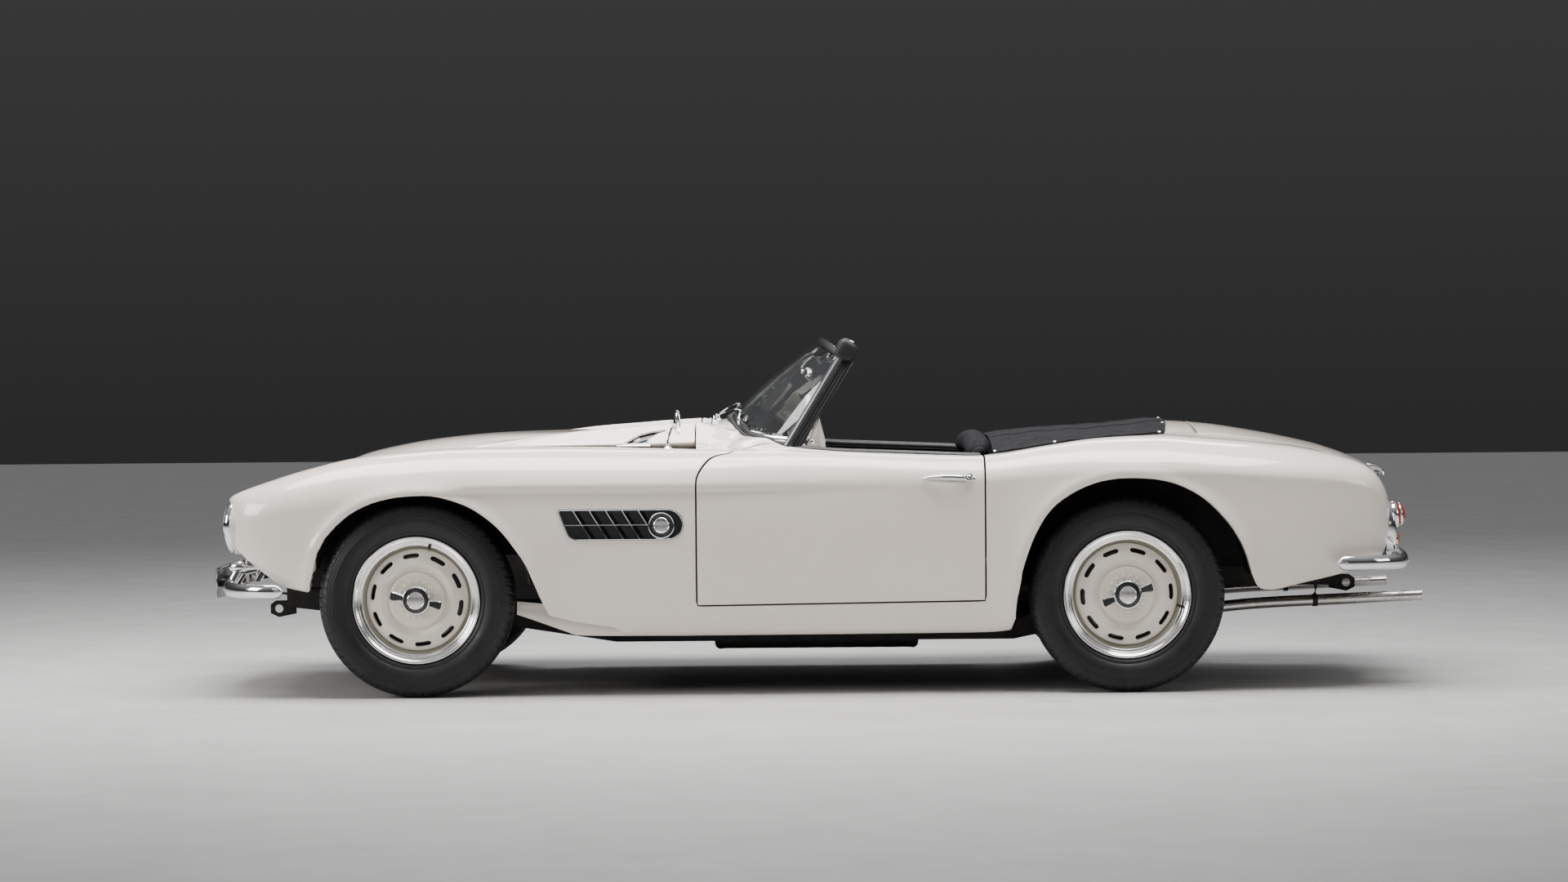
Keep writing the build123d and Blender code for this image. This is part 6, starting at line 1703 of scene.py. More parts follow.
def build_bumpers():
    zf = .3755
    half = [(-1.846, .792, zf), (-1.900, .784, zf), (-1.960, .758, zf), (-2.018, .702, zf), (-2.066, .590, zf), (-2.094, .430, zf), (-2.107, .250, zf), (-2.111, .0, zf)]
    V, F, P = blade_strip(half)
    parts = [(V, F, 0)]
    # overriders: a bullet on a stem
    for s in (-1, 1):
        t = np.linspace(0, 1, 26)
        x = -2.100 + .106 * t
        r = np.sqrt(np.clip(1 - (1 - np.clip(t / .62, 0, 1)) ** 2, 0, 1)) * np.interp(t, [0, .62, 1], [1, 1, .60])
        c = np.stack([x, np.full(26, s * .330), .4405 - .002 * t], 1)
        sec = np.array([(math.cos(a), math.sin(a)) for a in np.linspace(0, 2 * PI, 28, endpoint=False)])
        VV = c[:, None] + np.stack([0 * sec[:, 0], sec[:, 0] * .031, sec[:, 1] * .0285], 1)[None] * np.maximum(r, .02)[:, None, None]
        FF = grid_faces(26, 28, close_v=True) + [tuple(range(28)), tuple(25 * 28 + i for i in range(28))]
        parts.append((VV.reshape(-1, 3), FF, 0))
        # stem from the blade up to the bullet
        zz = np.linspace(.352, .432, 12)
        rows = []
        for z in zz:
            q = (z - .352) / .08
            xf = -2.116 + .034 * q ** 1.6
            xb = -2.072 + .050 * q
            wy = .030 - .010 * q
            ring = [((xf + xb) / 2 + (xb - xf) / 2 * math.copysign(abs(math.cos(a)) ** .8, math.cos(a)), s * .330 + wy * math.copysign(abs(math.sin(a)) ** .8, math.sin(a)), z) for a in np.linspace(0, 2 * PI, 24, endpoint=False)]
            rows.append(ring)
        parts.append((np.array(rows).reshape(-1, 3), grid_faces(12, 24, close_v=True) + [tuple(range(24)), tuple(11 * 24 + i for i in range(24))], 0))
        # stays back to the frame
        st = smooth_line(np.array([(-2.090, s * .345, .372), (-2.02, s * .36, .364), (-1.94, s * .374, .352), (-1.876, s * .382, .345)]), .02)
        parts.append((*ribbon(st, (0, 0, 1), np.array([(-16, -3), (-16, 3), (16, 3), (16, -3)]) * MM), 1))
        parts.append((*dome((-2.1165, s * .330, .362), (-1, 0, 0), .008, .004, 18, 4), 0))
        # side stay to the blade's rear end
        st = smooth_line(np.array([(-1.875, s * .778, .372), (-1.872, s * .74, .368), (-1.866, s * .70, .366)]), .01)
        parts.append((*ribbon(st, (0, 0, 1), np.array([(-9, -2.5), (-9, 2.5), (9, 2.5), (9, -2.5)]) * MM), 1))
    multi("front_bumper_blade", parts, ["chrome", "chassis"], "body", "front_bumper")
    zr = .4465
    half = [(1.829, .800, zr), (1.885, .796, zr), (1.955, .780, zr), (2.025, .742, zr), (2.072, .676, zr), (2.100, .560, zr), (2.118, .390, zr), (2.132, .190, zr), (2.136, .0, zr)]
    V, F, P = blade_strip(half, h=.0258)
    parts = [(V, F, 0)]
    for s in (-1, 1):
        st = smooth_line(np.array([(2.112, s * .400, .444), (2.05, s * .398, .436), (1.96, s * .390, .416), (1.876, s * .385, .405)]), .02)
        parts.append((*ribbon(st, (0, 0, 1), np.array([(-16, -3), (-16, 3), (16, 3), (16, -3)]) * MM), 1))
        for y in (.400, .62):
            xx = float(np.interp(-y, -P[:len(P) // 2, 1], P[:len(P) // 2, 0]))
            parts.append((*dome((xx + .0095, s * y, zr), (1, 0, 0), .0075, .0035, 18, 4), 0))
        st = smooth_line(np.array([(1.868, s * .785, .440), (1.862, s * .745, .436), (1.850, s * .71, .434)]), .01)
        parts.append((*ribbon(st, (0, 0, 1), np.array([(-9, -2.5), (-9, 2.5), (9, 2.5), (9, -2.5)]) * MM), 1))
    multi("rear_bumper_blade", parts, ["chrome", "chassis"], "body", "rear_bumper")
    # blank plates, each a pressed panel in a bright frame, on brackets
    parts = []
    for cx, cz, w, h, d in ((-2.158, .3735, .460, .110, -1), (2.118, .5275, .340, .115, 1)):
        V, F = rounded_plate((cx, 0, cz), w, h, .0022, .010)
        parts.append((V, F, 0))
        o = rounded_outline([(-w / 2, -h / 2), (w / 2, -h / 2), (w / 2, h / 2), (-w / 2, h / 2)], .010, 6)
        ring = np.array([(cx, a, cz + b) for a, b in o])
        parts.append((*tube(resample(ring, .010, closed=True), .0026, 8, closed=True), 1))
        inn = rounded_outline([(-w / 2 + .012, -h / 2 + .012), (w / 2 - .012, -h / 2 + .012), (w / 2 - .012, h / 2 - .012), (-w / 2 + .012, h / 2 - .012)], .006, 5)
        ring = np.array([(cx + d * .0012, a, cz + b) for a, b in inn])
        parts.append((*tube(resample(ring, .012, closed=True), .0011, 6, closed=True), 0))
        for s in (-1, 1):
            parts.append((*dome((cx + d * .0012, s * w * .36, cz + h * .36), (d, 0, 0), .0045, .0022, 12, 3), 1))
            bx0, bx1 = (cx + .001, cx + .052) if d < 0 else (cx - .030, cx - .001)
            Vb, Fb = box_vf((bx0, s * w * .33 - .008, cz - .014), (bx1, s * w * .33 + .008, cz + .010), .002)
            parts.append((Vb, Fb, 2))
    multi("blank_plates", parts, ["plate", "chrome", "chassis"], "body", "number_plates")


def build_grille():
    """Upright bowed slats in the wide mouth, behind a bright surround."""
    parts = []

    def bowed(y):
        return -2.058 + .062 * (abs(y) / .480) ** 2
    hw, z0, z1 = .415, .4535, .5725
    zc, hh = (z0 + z1) / 2, (z1 - z0) / 2

    def edge(t):
        ct, st_ = math.cos(t), math.sin(t)
        return (hw * math.copysign(abs(ct) ** .55, ct), zc + hh * math.copysign(abs(st_) ** .75, st_))
    loop = np.array([edge(t) for t in np.linspace(0, 2 * PI, 200, endpoint=False)])
    P = resample(np.array([(bowed(y) - .004, y, z) for y, z in loop]), .010, closed=True)
    parts.append((*ribbon(P, (-1, 0, 0), np.array([(5.5 * math.cos(a), 5.5 * math.sin(a)) for a in np.linspace(0, 2 * PI, 12, endpoint=False)]) * MM, closed=True), 0))
    for i in range(41):
        y = -.400 + .020 * i
        lim = hh * (max(0.0, 1 - (abs(y) / hw) ** (2 / .55 * 1.0))) ** .5
        lim = hh * max(0.0, 1 - (abs(y) / hw) ** 3.6) ** .375
        zz = np.linspace(zc - lim, zc + lim, 10)
        x = bowed(y) + .006 + .006 * ((zz - zc) / hh) ** 2
        line = np.stack([x, np.full(10, y), zz], 1)
        parts.append((*ribbon(line, (-1, 0, 0), np.array([(-1.8, -14), (-2.4, -2), (-1.2, 2.2), (1.2, 2.2), (2.4, -2), (1.8, -14)]) * MM), 0))
    for z, dx in ((zc, .012), (zc - .036, .016), (zc + .036, .016)):
        yy = np.linspace(-.396, .396, 60)
        line = np.stack([np.array([bowed(v) for v in yy]) + dx, yy, np.full(60, z)], 1)
        parts.append((*tube(line, .0035, 8), 1))
    # radiator core behind
    yy = np.linspace(-.44, .44, 23)
    zz = np.linspace(.430, .600, 8)
    V = np.array([(bowed(a) + .075, a, b) for a in yy for b in zz])
    parts.append((V, grid_faces(23, 8), 2))
    multi("grille_slats", parts, ["chrome", "black_trim", "wire"], "body", "grille")


def build_tail_lamps():
    parts = []
    y = .548

    def surf_x(z):
        return float(np.interp(z, [.45, .50, .55, .60, .65, .70], [2.050, 2.052, 2.050, 2.046, 2.038, 2.024]))
    # housing: an upright oval base
    rows, k = [], 48
    for off, sc in ((-.022, 1.0), (-.002, 1.02), (.006, 1.0), (.0105, .94), (.0125, .86)):
        ring = []
        for t in np.linspace(0, 2 * PI, k, endpoint=False):
            z = .5665 + .0945 * sc * math.copysign(abs(math.sin(t)) ** .92, math.sin(t))
            ring.append((surf_x(z) + off, y + .0565 * sc * math.cos(t), z))
        rows.append(ring)
    parts.append((np.array(rows).reshape(-1, 3), grid_faces(5, k, close_v=True) + [tuple(4 * k + i for i in range(k))], 0))
    # stop and tail lamp
    c = np.array([surf_x(.605) + .006, y, .6045])
    n = (1, 0, .10)
    parts.append((*turned(np.array([(47.5, -8), (48.5, 8), (48.0, 14), (45.4, 18.6), (42.8, 19.6)]) * MM, c, n, 72), 0))
    parts.append((*turned(np.array([(42.8, 18.4), (42.2, 24), (40.6, 28)]) * MM, c, n, 72), 1))
    parts.append((*turned(np.array([(40.6, 27.0), (41.2, 30.5), (40.0, 34.0), (37.2, 36.2), (34.6, 35.4)]) * MM, c, n, 72), 0))
    parts.append((*turned(np.array([(34.8, 34.0), (33.4, 38.4), (28.0, 43.0), (20.0, 46.0), (10, 47.6), (.1, 48.0)]) * MM, c, n, 72), 1))
    for r in (10, 19, 27):
        h = np.interp(r, [0, 10, 20, 28, 33.4], [48.0, 47.6, 46.0, 43.0, 38.4]) - .2
        V, F = turned(np.array([(r + 1.0 * math.cos(a), h + 1.0 * math.sin(a)) for a in np.linspace(0, 2 * PI, 7)]) * MM, c, n, 60)
        parts.append((V, F, 1))
    # reflector / turn lamp underneath
    c2 = np.array([surf_x(.520) + .006, y, .5180])
    parts.append((*turned(np.array([(32.5, -8), (33.4, 7), (32.2, 11.6), (29.8, 13.2), (27.6, 12.6)]) * MM, c2, (1, 0, 0), 60), 0))
    parts.append((*turned(np.array([(27.8, 12.0), (26.2, 15.8), (20.0, 19.6), (12, 21.8), (.1, 22.8)]) * MM, c2, (1, 0, 0), 60), 2))
    # small screw heads and a low round reflector
    parts.append((*dome((surf_x(.556) + .0125, y, .5610), (1, 0, 0), .0040, .0026, 12, 3), 0))
    c3 = np.array([surf_x(.474) - .012, y - .02, .4760])
    parts.append((*turned(np.array([(16.5, -4), (17.0, 10), (15.6, 13.4), (13.2, 13.6), (12, 12.4), (6, 13.4), (.1, 13.8)]) * MM, c3, (1, 0, -.05), 40), 0))
    multi_both("tail_lamp_left", "tail_lamp_right", parts, ["chrome", "red", "amber"], rep_l="tail_lamps")
    # boot handle with the plate light
    parts = []
    P = smooth_line(np.array([(2.048, 0, .7620), (2.062, 0, .7610), (2.078, 0, .7540), (2.090, 0, .7440), (2.093, 0, .7300)]), .003)
    sec = np.array([(math.copysign(abs(math.cos(a)) ** .6, math.cos(a)), math.copysign(abs(math.sin(a)) ** .8, math.sin(a))) for a in np.linspace(0, 2 * PI, 24, endpoint=False)])
    sc = np.stack([np.linspace(.046, .052, len(P)), np.linspace(.010, .0075, len(P))], 1)
    parts.append((*sweep(P, sec, up=(1, 0, .6), scale=sc), 0))
    Vb, Fb = box_vf((2.036, -.030, .7330), (2.084, .030, .7540), .004)
    parts.append((Vb, Fb, 0))
    Vb, Fb = box_vf((2.046, -.024, .7295), (2.080, .024, .7340), .002)
    parts.append((Vb, Fb, 1))
    parts.append((*dome((2.045, 0, .7655), (.5, 0, .85), .007, .004, 14, 3), 0))
    multi("boot_handle", parts, ["chrome", "lampglass"], "boot_lid")


def build_exhaust():
    for s, nm in ((-1, "left"), (1, "right")):
        parts = []
        P = smooth_line(np.array([(.378, s * .300, .200), (.60, s * .302, .200), (.76, s * .316, .203), (.86, s * .372, .215), (.96, s * .430, .230), (1.10, s * .447, .243), (1.25, s * .452, .255), (1.56, s * .455, .2870), (1.86, s * .455, .3010), (2.168, s * .455, .3135)]), .012)
        P = resample(P, .02)
        cut = int(np.argmax(P[:, 0] > 1.30))
        parts.append((*tube(P[:cut + 1], .0200, 20), 1))
        Q = P[cut:]
        r = np.interp(Q[:, 0], [1.3, 1.9, 2.168], [.0202, .0198, .0186])
        V, F = sweep(Q, circle(1.0, 28), scale=r, caps=False)
        parts.append((V, F, 0))
        # rolled end and dark bore
        e, d = P[-1], (P[-1] - P[-2]) / np.linalg.norm(P[-1] - P[-2])
        parts.append((*turned(np.array([(18.6, -1), (19.4, 1.0), (19.2, 2.6), (17.8, 3.0), (16.6, 1.6), (16.4, -2)]) * MM, e, d, 40), 0))
        parts.append((*turned(np.array([(16.5, 1.5), (16.3, -30), (16.0, -120), (.1, -121)]) * MM, e, d, 32), 1))
        # clamp, hanger and rubber
        for xx in (1.345, 1.78):
            i = int(np.argmax(P[:, 0] > xx))
            parts.append((*turned(np.array([(21.8, -9), (22.6, -8), (22.6, 8), (21.8, 9), (20, 9), (20, -9)]) * MM, P[i], P[i + 1] - P[i], 32), 1))
            top = P[i] + [0, 0, .072]
            parts.append((*tube(np.array([P[i] + [0, 0, .021], P[i] + [.004, 0, .045], top]), .0055, 8), 1))
            Vb, Fb = box_vf(top - [.018, .012, .008], top + [.018, .012, .010], .003)
            parts.append((Vb, Fb, 2))
        # silencer: an oval drum with rolled end seams
        c0, c1 = np.array([-.352, s * .283, .174]), np.array([.382, s * .283, .174])
        st = [(0, .55), (.004, .80), (.012, .93), (.020, 1.0), (.028, 1.03), (.036, 1.0), (.06, .985)] + [(x, .985 + .006 * math.sin(x * 60)) for x in np.linspace(.09, .91, 40)] + [(.94, .985), (.964, 1.0), (.972, 1.03), (.98, 1.0), (.988, .93), (.996, .80), (1, .55)]
        rows = [[(c0 + (c1 - c0) * a) + np.array([0, .058 * q * math.copysign(abs(math.cos(t)) ** .8, math.cos(t)), .045 * q * math.copysign(abs(math.sin(t)) ** .9, math.sin(t))]) for t in np.linspace(0, 2 * PI, 36, endpoint=False)] for a, q in st]
        parts.append((np.array(rows).reshape(-1, 3), grid_faces(len(st), 36, close_v=True) + [tuple(range(36)), tuple((len(st) - 1) * 36 + i for i in range(36))], 1))
        multi(f"exhaust_{nm}", parts, ["exhaust", "chassis", "rubber"], "body", "exhaust_pipes" if s < 0 else None)


def build_mirror_wipers():
    parts = []
    root = np.array([-.505, -.560, .868])
    uv = invert(side_raw, (0, 1), [(-.505, .560)], (U_OF_X(-.6), U_OF_X(-.4)), (0.0, .14))
    p = side_raw(uv[:, 0], uv[:, 1])[0]
    root = np.array([p[0], -p[1], p[2]])
    parts.append((*turned(np.array([(15, -4), (15.5, 1.0), (14.0, 3.2), (9.5, 6.0), (6.5, 10)]) * MM, root, (0, -.12, 1), 36), 0))
    c = np.array([-.474, root[1] + .004, .950])
    stem = smooth_line(np.array([root + [0, 0, .006], root + [0, 0, .022], root + [.002, 0, .038], (c[0] - .016, c[1], c[2] - .018), (c[0] - .011, c[1], c[2] - .004)]), .004)
    parts.append((*tube(stem, .0056, 12), 0))
    n = np.array([1.0, -.10, .03])
    parts.append((*turned(np.array([(.1, -12.5), (6, -12.2), (16, -10.6), (28, -7.4), (38, -3.0), (43.5, 1.2), (45.4, 4.4), (44.8, 6.6), (42.6, 7.2), (41.8, 5.2)]) * MM, c, n, 80), 0))
    parts.append((*turned(np.array([(42.0, 5.4), (30, 5.6), (15, 5.8), (.1, 5.8)]) * MM, c, n, 80), 1))
    parts.append((*turned(np.array([(.1, -19), (6, -18.4), (9.6, -15.5), (11, -11.5), (11, -9)]) * MM, c, n, 28), 0))
    multi("wing_mirror_chrome", parts, ["chrome", "reflector"], "body", "wing_mirror")

    parts = []
    for s in (-1, 1):
        z0 = float(cowl_z(np.array([-.345]), np.array([.200]))[0])
        root = np.array([-.345, s * .200, z0])
        parts.append((*turned(np.array([(15.5, -4), (16, 1.2), (14.5, 4.0), (11.0, 6.0), (9.2, 12), (8.6, 22), (7.2, 25.6), (.1, 27)]) * MM, root, (-.10, 0, 1), 32), 0))
        top = root + [-.002, 0, .020]
        arm = smooth_line(np.array([top, top + [.026, -s * .030, .020], top + [.060, -s * .068, .040], top + [.086, -s * .094, .042]]), .006) if s > 0 else \
            smooth_line(np.array([top, top + [.030, s * .024, .016], top + [.070, s * .060, .026], top + [.094, s * .086, .024]]), .006)
        w = np.linspace(1, .6, len(arm))
        parts.append((*ribbon(arm, (0, 0, 1), np.array([(-4.4, -1.4), (-4.4, 1.2), (-2, 2.2), (2, 2.2), (4.4, 1.2), (4.4, -1.4)]) * MM, scale=np.stack([w, np.ones(len(w))], 1)), 0))
        # blade lying near the foot of the glass
        e = arm[-1]
        bl = []
        for q in np.linspace(-1, 1, 15):
            w_ = abs(s * (.20 + .115) + s * q * .165) if s < 0 else abs(.20 - .05 + q * .165)
            yy = s * w_
            xb = np.interp(w_, [0, .2, .35, .5], [-.300, -.293, -.270, -.232])
            zb = np.interp(w_, [0, .2, .35, .5], [.958, .949, .921, .890])
            xt = np.interp(w_, [0, .2, .35, .5], [.040, .044, .056, .098])
            zt = np.interp(w_, [0, .2, .35, .5], [1.238, 1.234, 1.224, 1.192])
            t = .085
            bl.append((xb + (xt - xb) * t - .010, yy, zb + (zt - zb) * t + .006))
        bl = smooth_line(np.array(bl), .01)
        parts.append((*ribbon(bl, (-.6, 0, .8), np.array([(-1.6, -7.5), (-.6, -8.5), (.6, -8.5), (1.6, -7.5), (2.6, 0), (-2.6, 0)]) * MM), 1))
        parts.append((*ribbon(bl[2:-2], (-.6, 0, .8), np.array([(-3.2, -.5), (-2.4, 2.6), (2.4, 2.6), (3.2, -.5)]) * MM), 0))
        mid = bl[len(bl) // 2]
        parts.append((*tube(smooth_line(np.array([e, (e + mid) / 2 + [0, 0, .006], mid + [-.002, 0, .004]]), .005), .0034, 8), 0))
        parts.append((*dome(mid + [-.002, 0, .003], (-.5, 0, .8), .0062, .005, 12, 3), 0))
    for y in (-.085, .085):
        z0 = float(cowl_z(np.array([-.372]), np.array([abs(y)]))[0])
        parts.append((*turned(np.array([(8.5, -2), (9, 1), (7.5, 4.2), (5.2, 6.0), (4.6, 10), (3.0, 12), (.1, 12.4)]) * MM, (-.372, y, z0), (.2, 0, 1), 20), 0))
    multi("wiper_arms", parts, ["chrome", "rubber"], "body", "wipers")


EXTRA += [build_side_vents, build_fin_trims, build_door_handles, build_headlamps, build_bumpers, build_grille, build_tail_lamps, build_exhaust, build_mirror_wipers]


# =============================================================== windscreen
SB = np.array([(-.300, 0, .960), (-.293, .200, .951), (-.270, .350, .923), (-.232, .500, .892), (-.165, .590, .8775), (-.072, .657, .866)])
ST = np.array([(.040, 0, 1.243), (.044, .170, 1.239), (.056, .300, 1.229), (.076, .430, 1.212), (.098, .520, 1.196), (.122, .585, 1.178)])


def _sym(A):
    return np.vstack([(A[1:] * [1, -1, 1])[::-1], A])


def screen_pt(q, t):
    q, t = np.broadcast_arrays(np.asarray(q, float), np.asarray(t, float))
    ix = np.arange(-5, 6)
    b = np.stack([pchip(ix, _sym(SB)[:, k], q.ravel()) for k in range(3)], -1).reshape(q.shape + (3,))
    a = np.stack([pchip(ix, _sym(ST)[:, k], q.ravel()) for k in range(3)], -1).reshape(q.shape + (3,))
    p = b + (a - b) * t[..., None]
    bow = .010 * np.sin(np.clip(t, 0, 1) * PI)
    return p + np.stack([-bow, 0 * bow, .55 * bow], -1)


def screen_n(q, t):
    e = .02
    du = screen_pt(q + e, t) - screen_pt(q - e, t)
    dv = screen_pt(q, t + e) - screen_pt(q, t - e)
    n = np.cross(du, dv)
    n /= np.linalg.norm(n, axis=-1, keepdims=True)
    return n * np.sign(-n[..., :1])       # points forwards


def build_windscreen():
    q, t = np.linspace(-4.97, 4.97, 121), np.linspace(.005, .985, 26)
    Q, T = np.meshgrid(q, t, indexing="ij")
    P, N = screen_pt(Q, T), screen_n(Q, T)
    A = P.reshape(-1, 3)
    B = (P - N * .005).reshape(-1, 3)
    nq, nt = Q.shape
    F = grid_faces(nq, nt) + [tuple(i + nq * nt for i in f[::-1]) for f in grid_faces(nq, nt)]
    rim = [i * nt for i in range(nq)] + [(nq - 1) * nt + j for j in range(1, nt)] + [i * nt + nt - 1 for i in range(nq - 2, -1, -1)] + [j for j in range(nt - 2, 0, -1)]
    for i in range(len(rim)):
        a, b = rim[i], rim[(i + 1) % len(rim)]
        F.append((a, b, b + nq * nt, a + nq * nt))
    multi("windscreen_pane", [(np.vstack([A, B]), F, 0)], ["glass"], "body", "windscreen_glass", angle=50)
    parts = []
    qq = np.linspace(-5, 5, 161)
    # rubber foot and bright strip along the base
    base = screen_pt(qq, 0 * qq + .004)
    nb = screen_n(qq, 0 * qq + .05)
    parts.append((*ribbon(base, nb, np.array([(13, -12), (14, -2), (11, 4.6), (4, 7.4), (-4, 6.8), (-11, 3.0), (-16, -2), (-17, -9), (-12, -14)]) * MM), 1))
    strip = screen_pt(qq, 0 * qq + .062)
    sgn = 1 if ribbon(strip, nb, [(1, 0), (1.1, 0), (1, .1)])[0].reshape(-1, 3, 3)[80, 0, 2] > ribbon(strip, nb, [(0, 0), (1.1, 0), (1, .1)])[0].reshape(-1, 3, 3)[80, 0, 2] else -1
    parts.append((*ribbon(strip, nb, np.array([(-9.5 * sgn, -3), (-9.5 * sgn, .6), (-8 * sgn, 2.6), (-2 * sgn, 4.0), (5 * sgn, 3.4), (9.5 * sgn, 1.2), (10.5 * sgn, -3)]) * MM), 0))
    # header rail: bright outer face, black seal along the top and back
    head = screen_pt(qq, 0 * qq + 1.0)
    nh = screen_n(qq, 0 * qq + .97)
    parts.append((*ribbon(head, nh, np.array([(-17 * sgn, -3), (-17 * sgn, 1.5), (-14 * sgn, 4.2), (-4 * sgn, 6.2), (5 * sgn, 5.2), (9.5 * sgn, 1.6), (10.5 * sgn, -4), (10 * sgn, -12), (-2 * sgn, -12), (-6 * sgn, -8)]) * MM), 0))
    parts.append((*ribbon(head, nh, np.array([(8 * sgn, -11.5), (11.5 * sgn, -11.0), (14.5 * sgn, -14), (15.5 * sgn, -19), (13 * sgn, -25), (5 * sgn, -28), (-8 * sgn, -26), (-14 * sgn, -20), (-14 * sgn, -9), (-5 * sgn, -9)]) * MM), 1))
    # pillars
    for s in (-1, 1):
        lo, hi = np.array([-.0745, s * .659, .860]), np.array([.1215, s * .5870, 1.1785])
        d = (hi - lo) / np.linalg.norm(hi - lo)
        Pl = lo + (hi - lo) * np.linspace(0, 1, 40)[:, None]
        n = np.array([0, s * 1.0, 0]) - d * (d[1] * s)
        n /= np.linalg.norm(n)
        a = np.cross(d, n)
        g = 1 if a[0] > 0 else -1
        def S(pts):
            return np.array([(p * g, v) for p, v in pts]) * MM
        parts.append((*ribbon(Pl, n, S([(-25, -9), (-26, -1), (-24.5, 3.0), (-21, 5.4), (-12, 6.4), (-3, 5.2), (-.4, 2.6), (0, -2), (0, -16), (-8, -20), (-18, -17)])), 0))
        parts.append((*ribbon(Pl, n, S([(-.2, -15), (-.2, 1.5), (1.5, 3.4), (5.5, 3.8), (7.8, 1.8), (9.4, -.6), (11, 1.6), (14, 3.0), (17.5, 2.4), (19.2, -.4), (20.8, 1.4), (24, 2.8), (28.5, 2.4), (31, .2), (31.5, -5), (28, -15), (14, -19)])), 1))
        top = Pl[int(40 * .27):]
        parts.append((*ribbon(top, n, S([(32.5, -6), (32.2, 1), (33.5, 2.8), (35.6, 2.4), (36.4, -.5), (36.0, -6)])), 0))
        # black corner pad that the hood's front corner seats on
        c = hi + np.array([.008, -s * .006, .022])
        th_, ph_ = np.linspace(0, 2 * PI, 40, endpoint=False), np.linspace(-PI / 2, PI / 2, 21)
        pw = lambda v, e: np.sign(v) * np.abs(v) ** e
        V = np.array([(.036 * pw(np.cos(p), .55) * pw(np.cos(a), .6), .030 * pw(np.cos(p), .55) * pw(np.sin(a), .6), .037 * pw(np.sin(p), .6) * (1 - .10 * np.cos(a))) for a in th_ for p in ph_])
        F = grid_faces(40, 21, close_u=True)
        R = Matrix.Rotation(math.radians(28), 3, "Y")
        V = np.array([tuple(R @ Vector(v)) for v in V]) + c
        parts.append((V, F, 1))
        V, F = box_vf((-.008, -.018, .032), (.010, .014, .0385), .003)
        V = np.array([tuple(R @ Vector(v)) for v in V]) + c
        parts.append((V, F, 0))
        # hood catch inside the header
        h0 = screen_pt(np.array([s * 2.6]), np.array([.965]))[0]
        parts.append((*tube(np.array([h0 + [.014, 0, .012], h0 + [.034, 0, .002], h0 + [.040, s * .012, -.026]]), .0055, 10), 0))
        parts.append((*dome(h0 + [.040, s * .012, -.028], (.2, 0, -1), .0085, .006, 14, 4), 1))
    multi("windscreen_surround", parts, ["chrome", "rubber"], "body", "windscreen_frame")
    # painted stay behind each pillar's foot
    for s, nm in ((-1, "left"), (1, "right")):
        y = s * .612
        parts = []
        def bar(a, b, w0, w1, th=.009):
            L = np.linspace(0, 1, 14)[:, None]
            Pp = np.asarray(a, float) + (np.asarray(b, float) - np.asarray(a, float)) * L
            w = np.linspace(w0, w1, 14)
            sec = np.array([(-1, -.6), (-.8, -1), (.8, -1), (1, -.6), (1, .6), (.8, 1), (-.8, 1), (-1, .6)], float)
            return ribbon(Pp, (0, s, 0), sec, scale=np.stack([w / 2, np.full(14, th)], 1))
        parts.append((*bar((.0265, y - s * .002, .9500), (.0455, y + s * .012, .8500), .009, .021), 0))
        parts.append((*bar((.0225, y - s * .002, .9480), (-.0140, y + s * .012, .8560), .007, .009), 0))
        V, F = box_vf((-.022, min(y - .012, y + .026 * s), .836), (.054, max(y + .012, y + .026 * s), .856), .005)
        parts.append((V, F, 0))
        V, F = box_vf((-.014, y - .010, .852), (.026, y + .010, .874), .006)
        parts.append((V, F, 0))
        parts.append((*dome((.040, y + s * .0135, .858), (0, s, 0), .0055, .003, 14, 3), 1))
        multi(f"pillar_stay_{nm}", parts, ["paint", "chrome"], "body")
    # driving mirror
    parts = []
    c = np.array([-.004, 0, 1.118])
    k = 40
    out = [(.078 * math.copysign(abs(math.cos(a)) ** .55, math.cos(a)), .0235 * math.copysign(abs(math.sin(a)) ** .7, math.sin(a))) for a in np.linspace(0, 2 * PI, k, endpoint=False)]
    rows = [[(c[0] + dx, c[1] + y * sc, c[2] + z * sc - dx * .25) for y, z in out] for dx, sc in ((-.020, .55), (-.016, .80), (-.008, .95), (.002, 1.0), (.006, 1.0), (.008, .975), (.0065, .95))]
    parts.append((np.array(rows).reshape(-1, 3), grid_faces(7, k, close_v=True) + [tuple(range(k))], 0))
    parts.append((np.array(rows[-1]), [tuple(range(k))], 1))
    parts.append((*tube(smooth_line(np.array([c + [-.018, 0, .002], c + [-.028, 0, .020], (.004, 0, 1.180), (.036, 0, 1.222)]), .006), .0048, 10), 2))
    parts.append((*dome(c + [-.022, 0, .006], (-.6, 0, .8), .0095, .010, 16, 5), 2))
    V, F = box_vf((.026, -.022, 1.206), (.044, .022, 1.232), .005)
    parts.append((V, F, 2))
    multi("driving_mirror", parts, ["chrome", "reflector", "chrome"], "body")


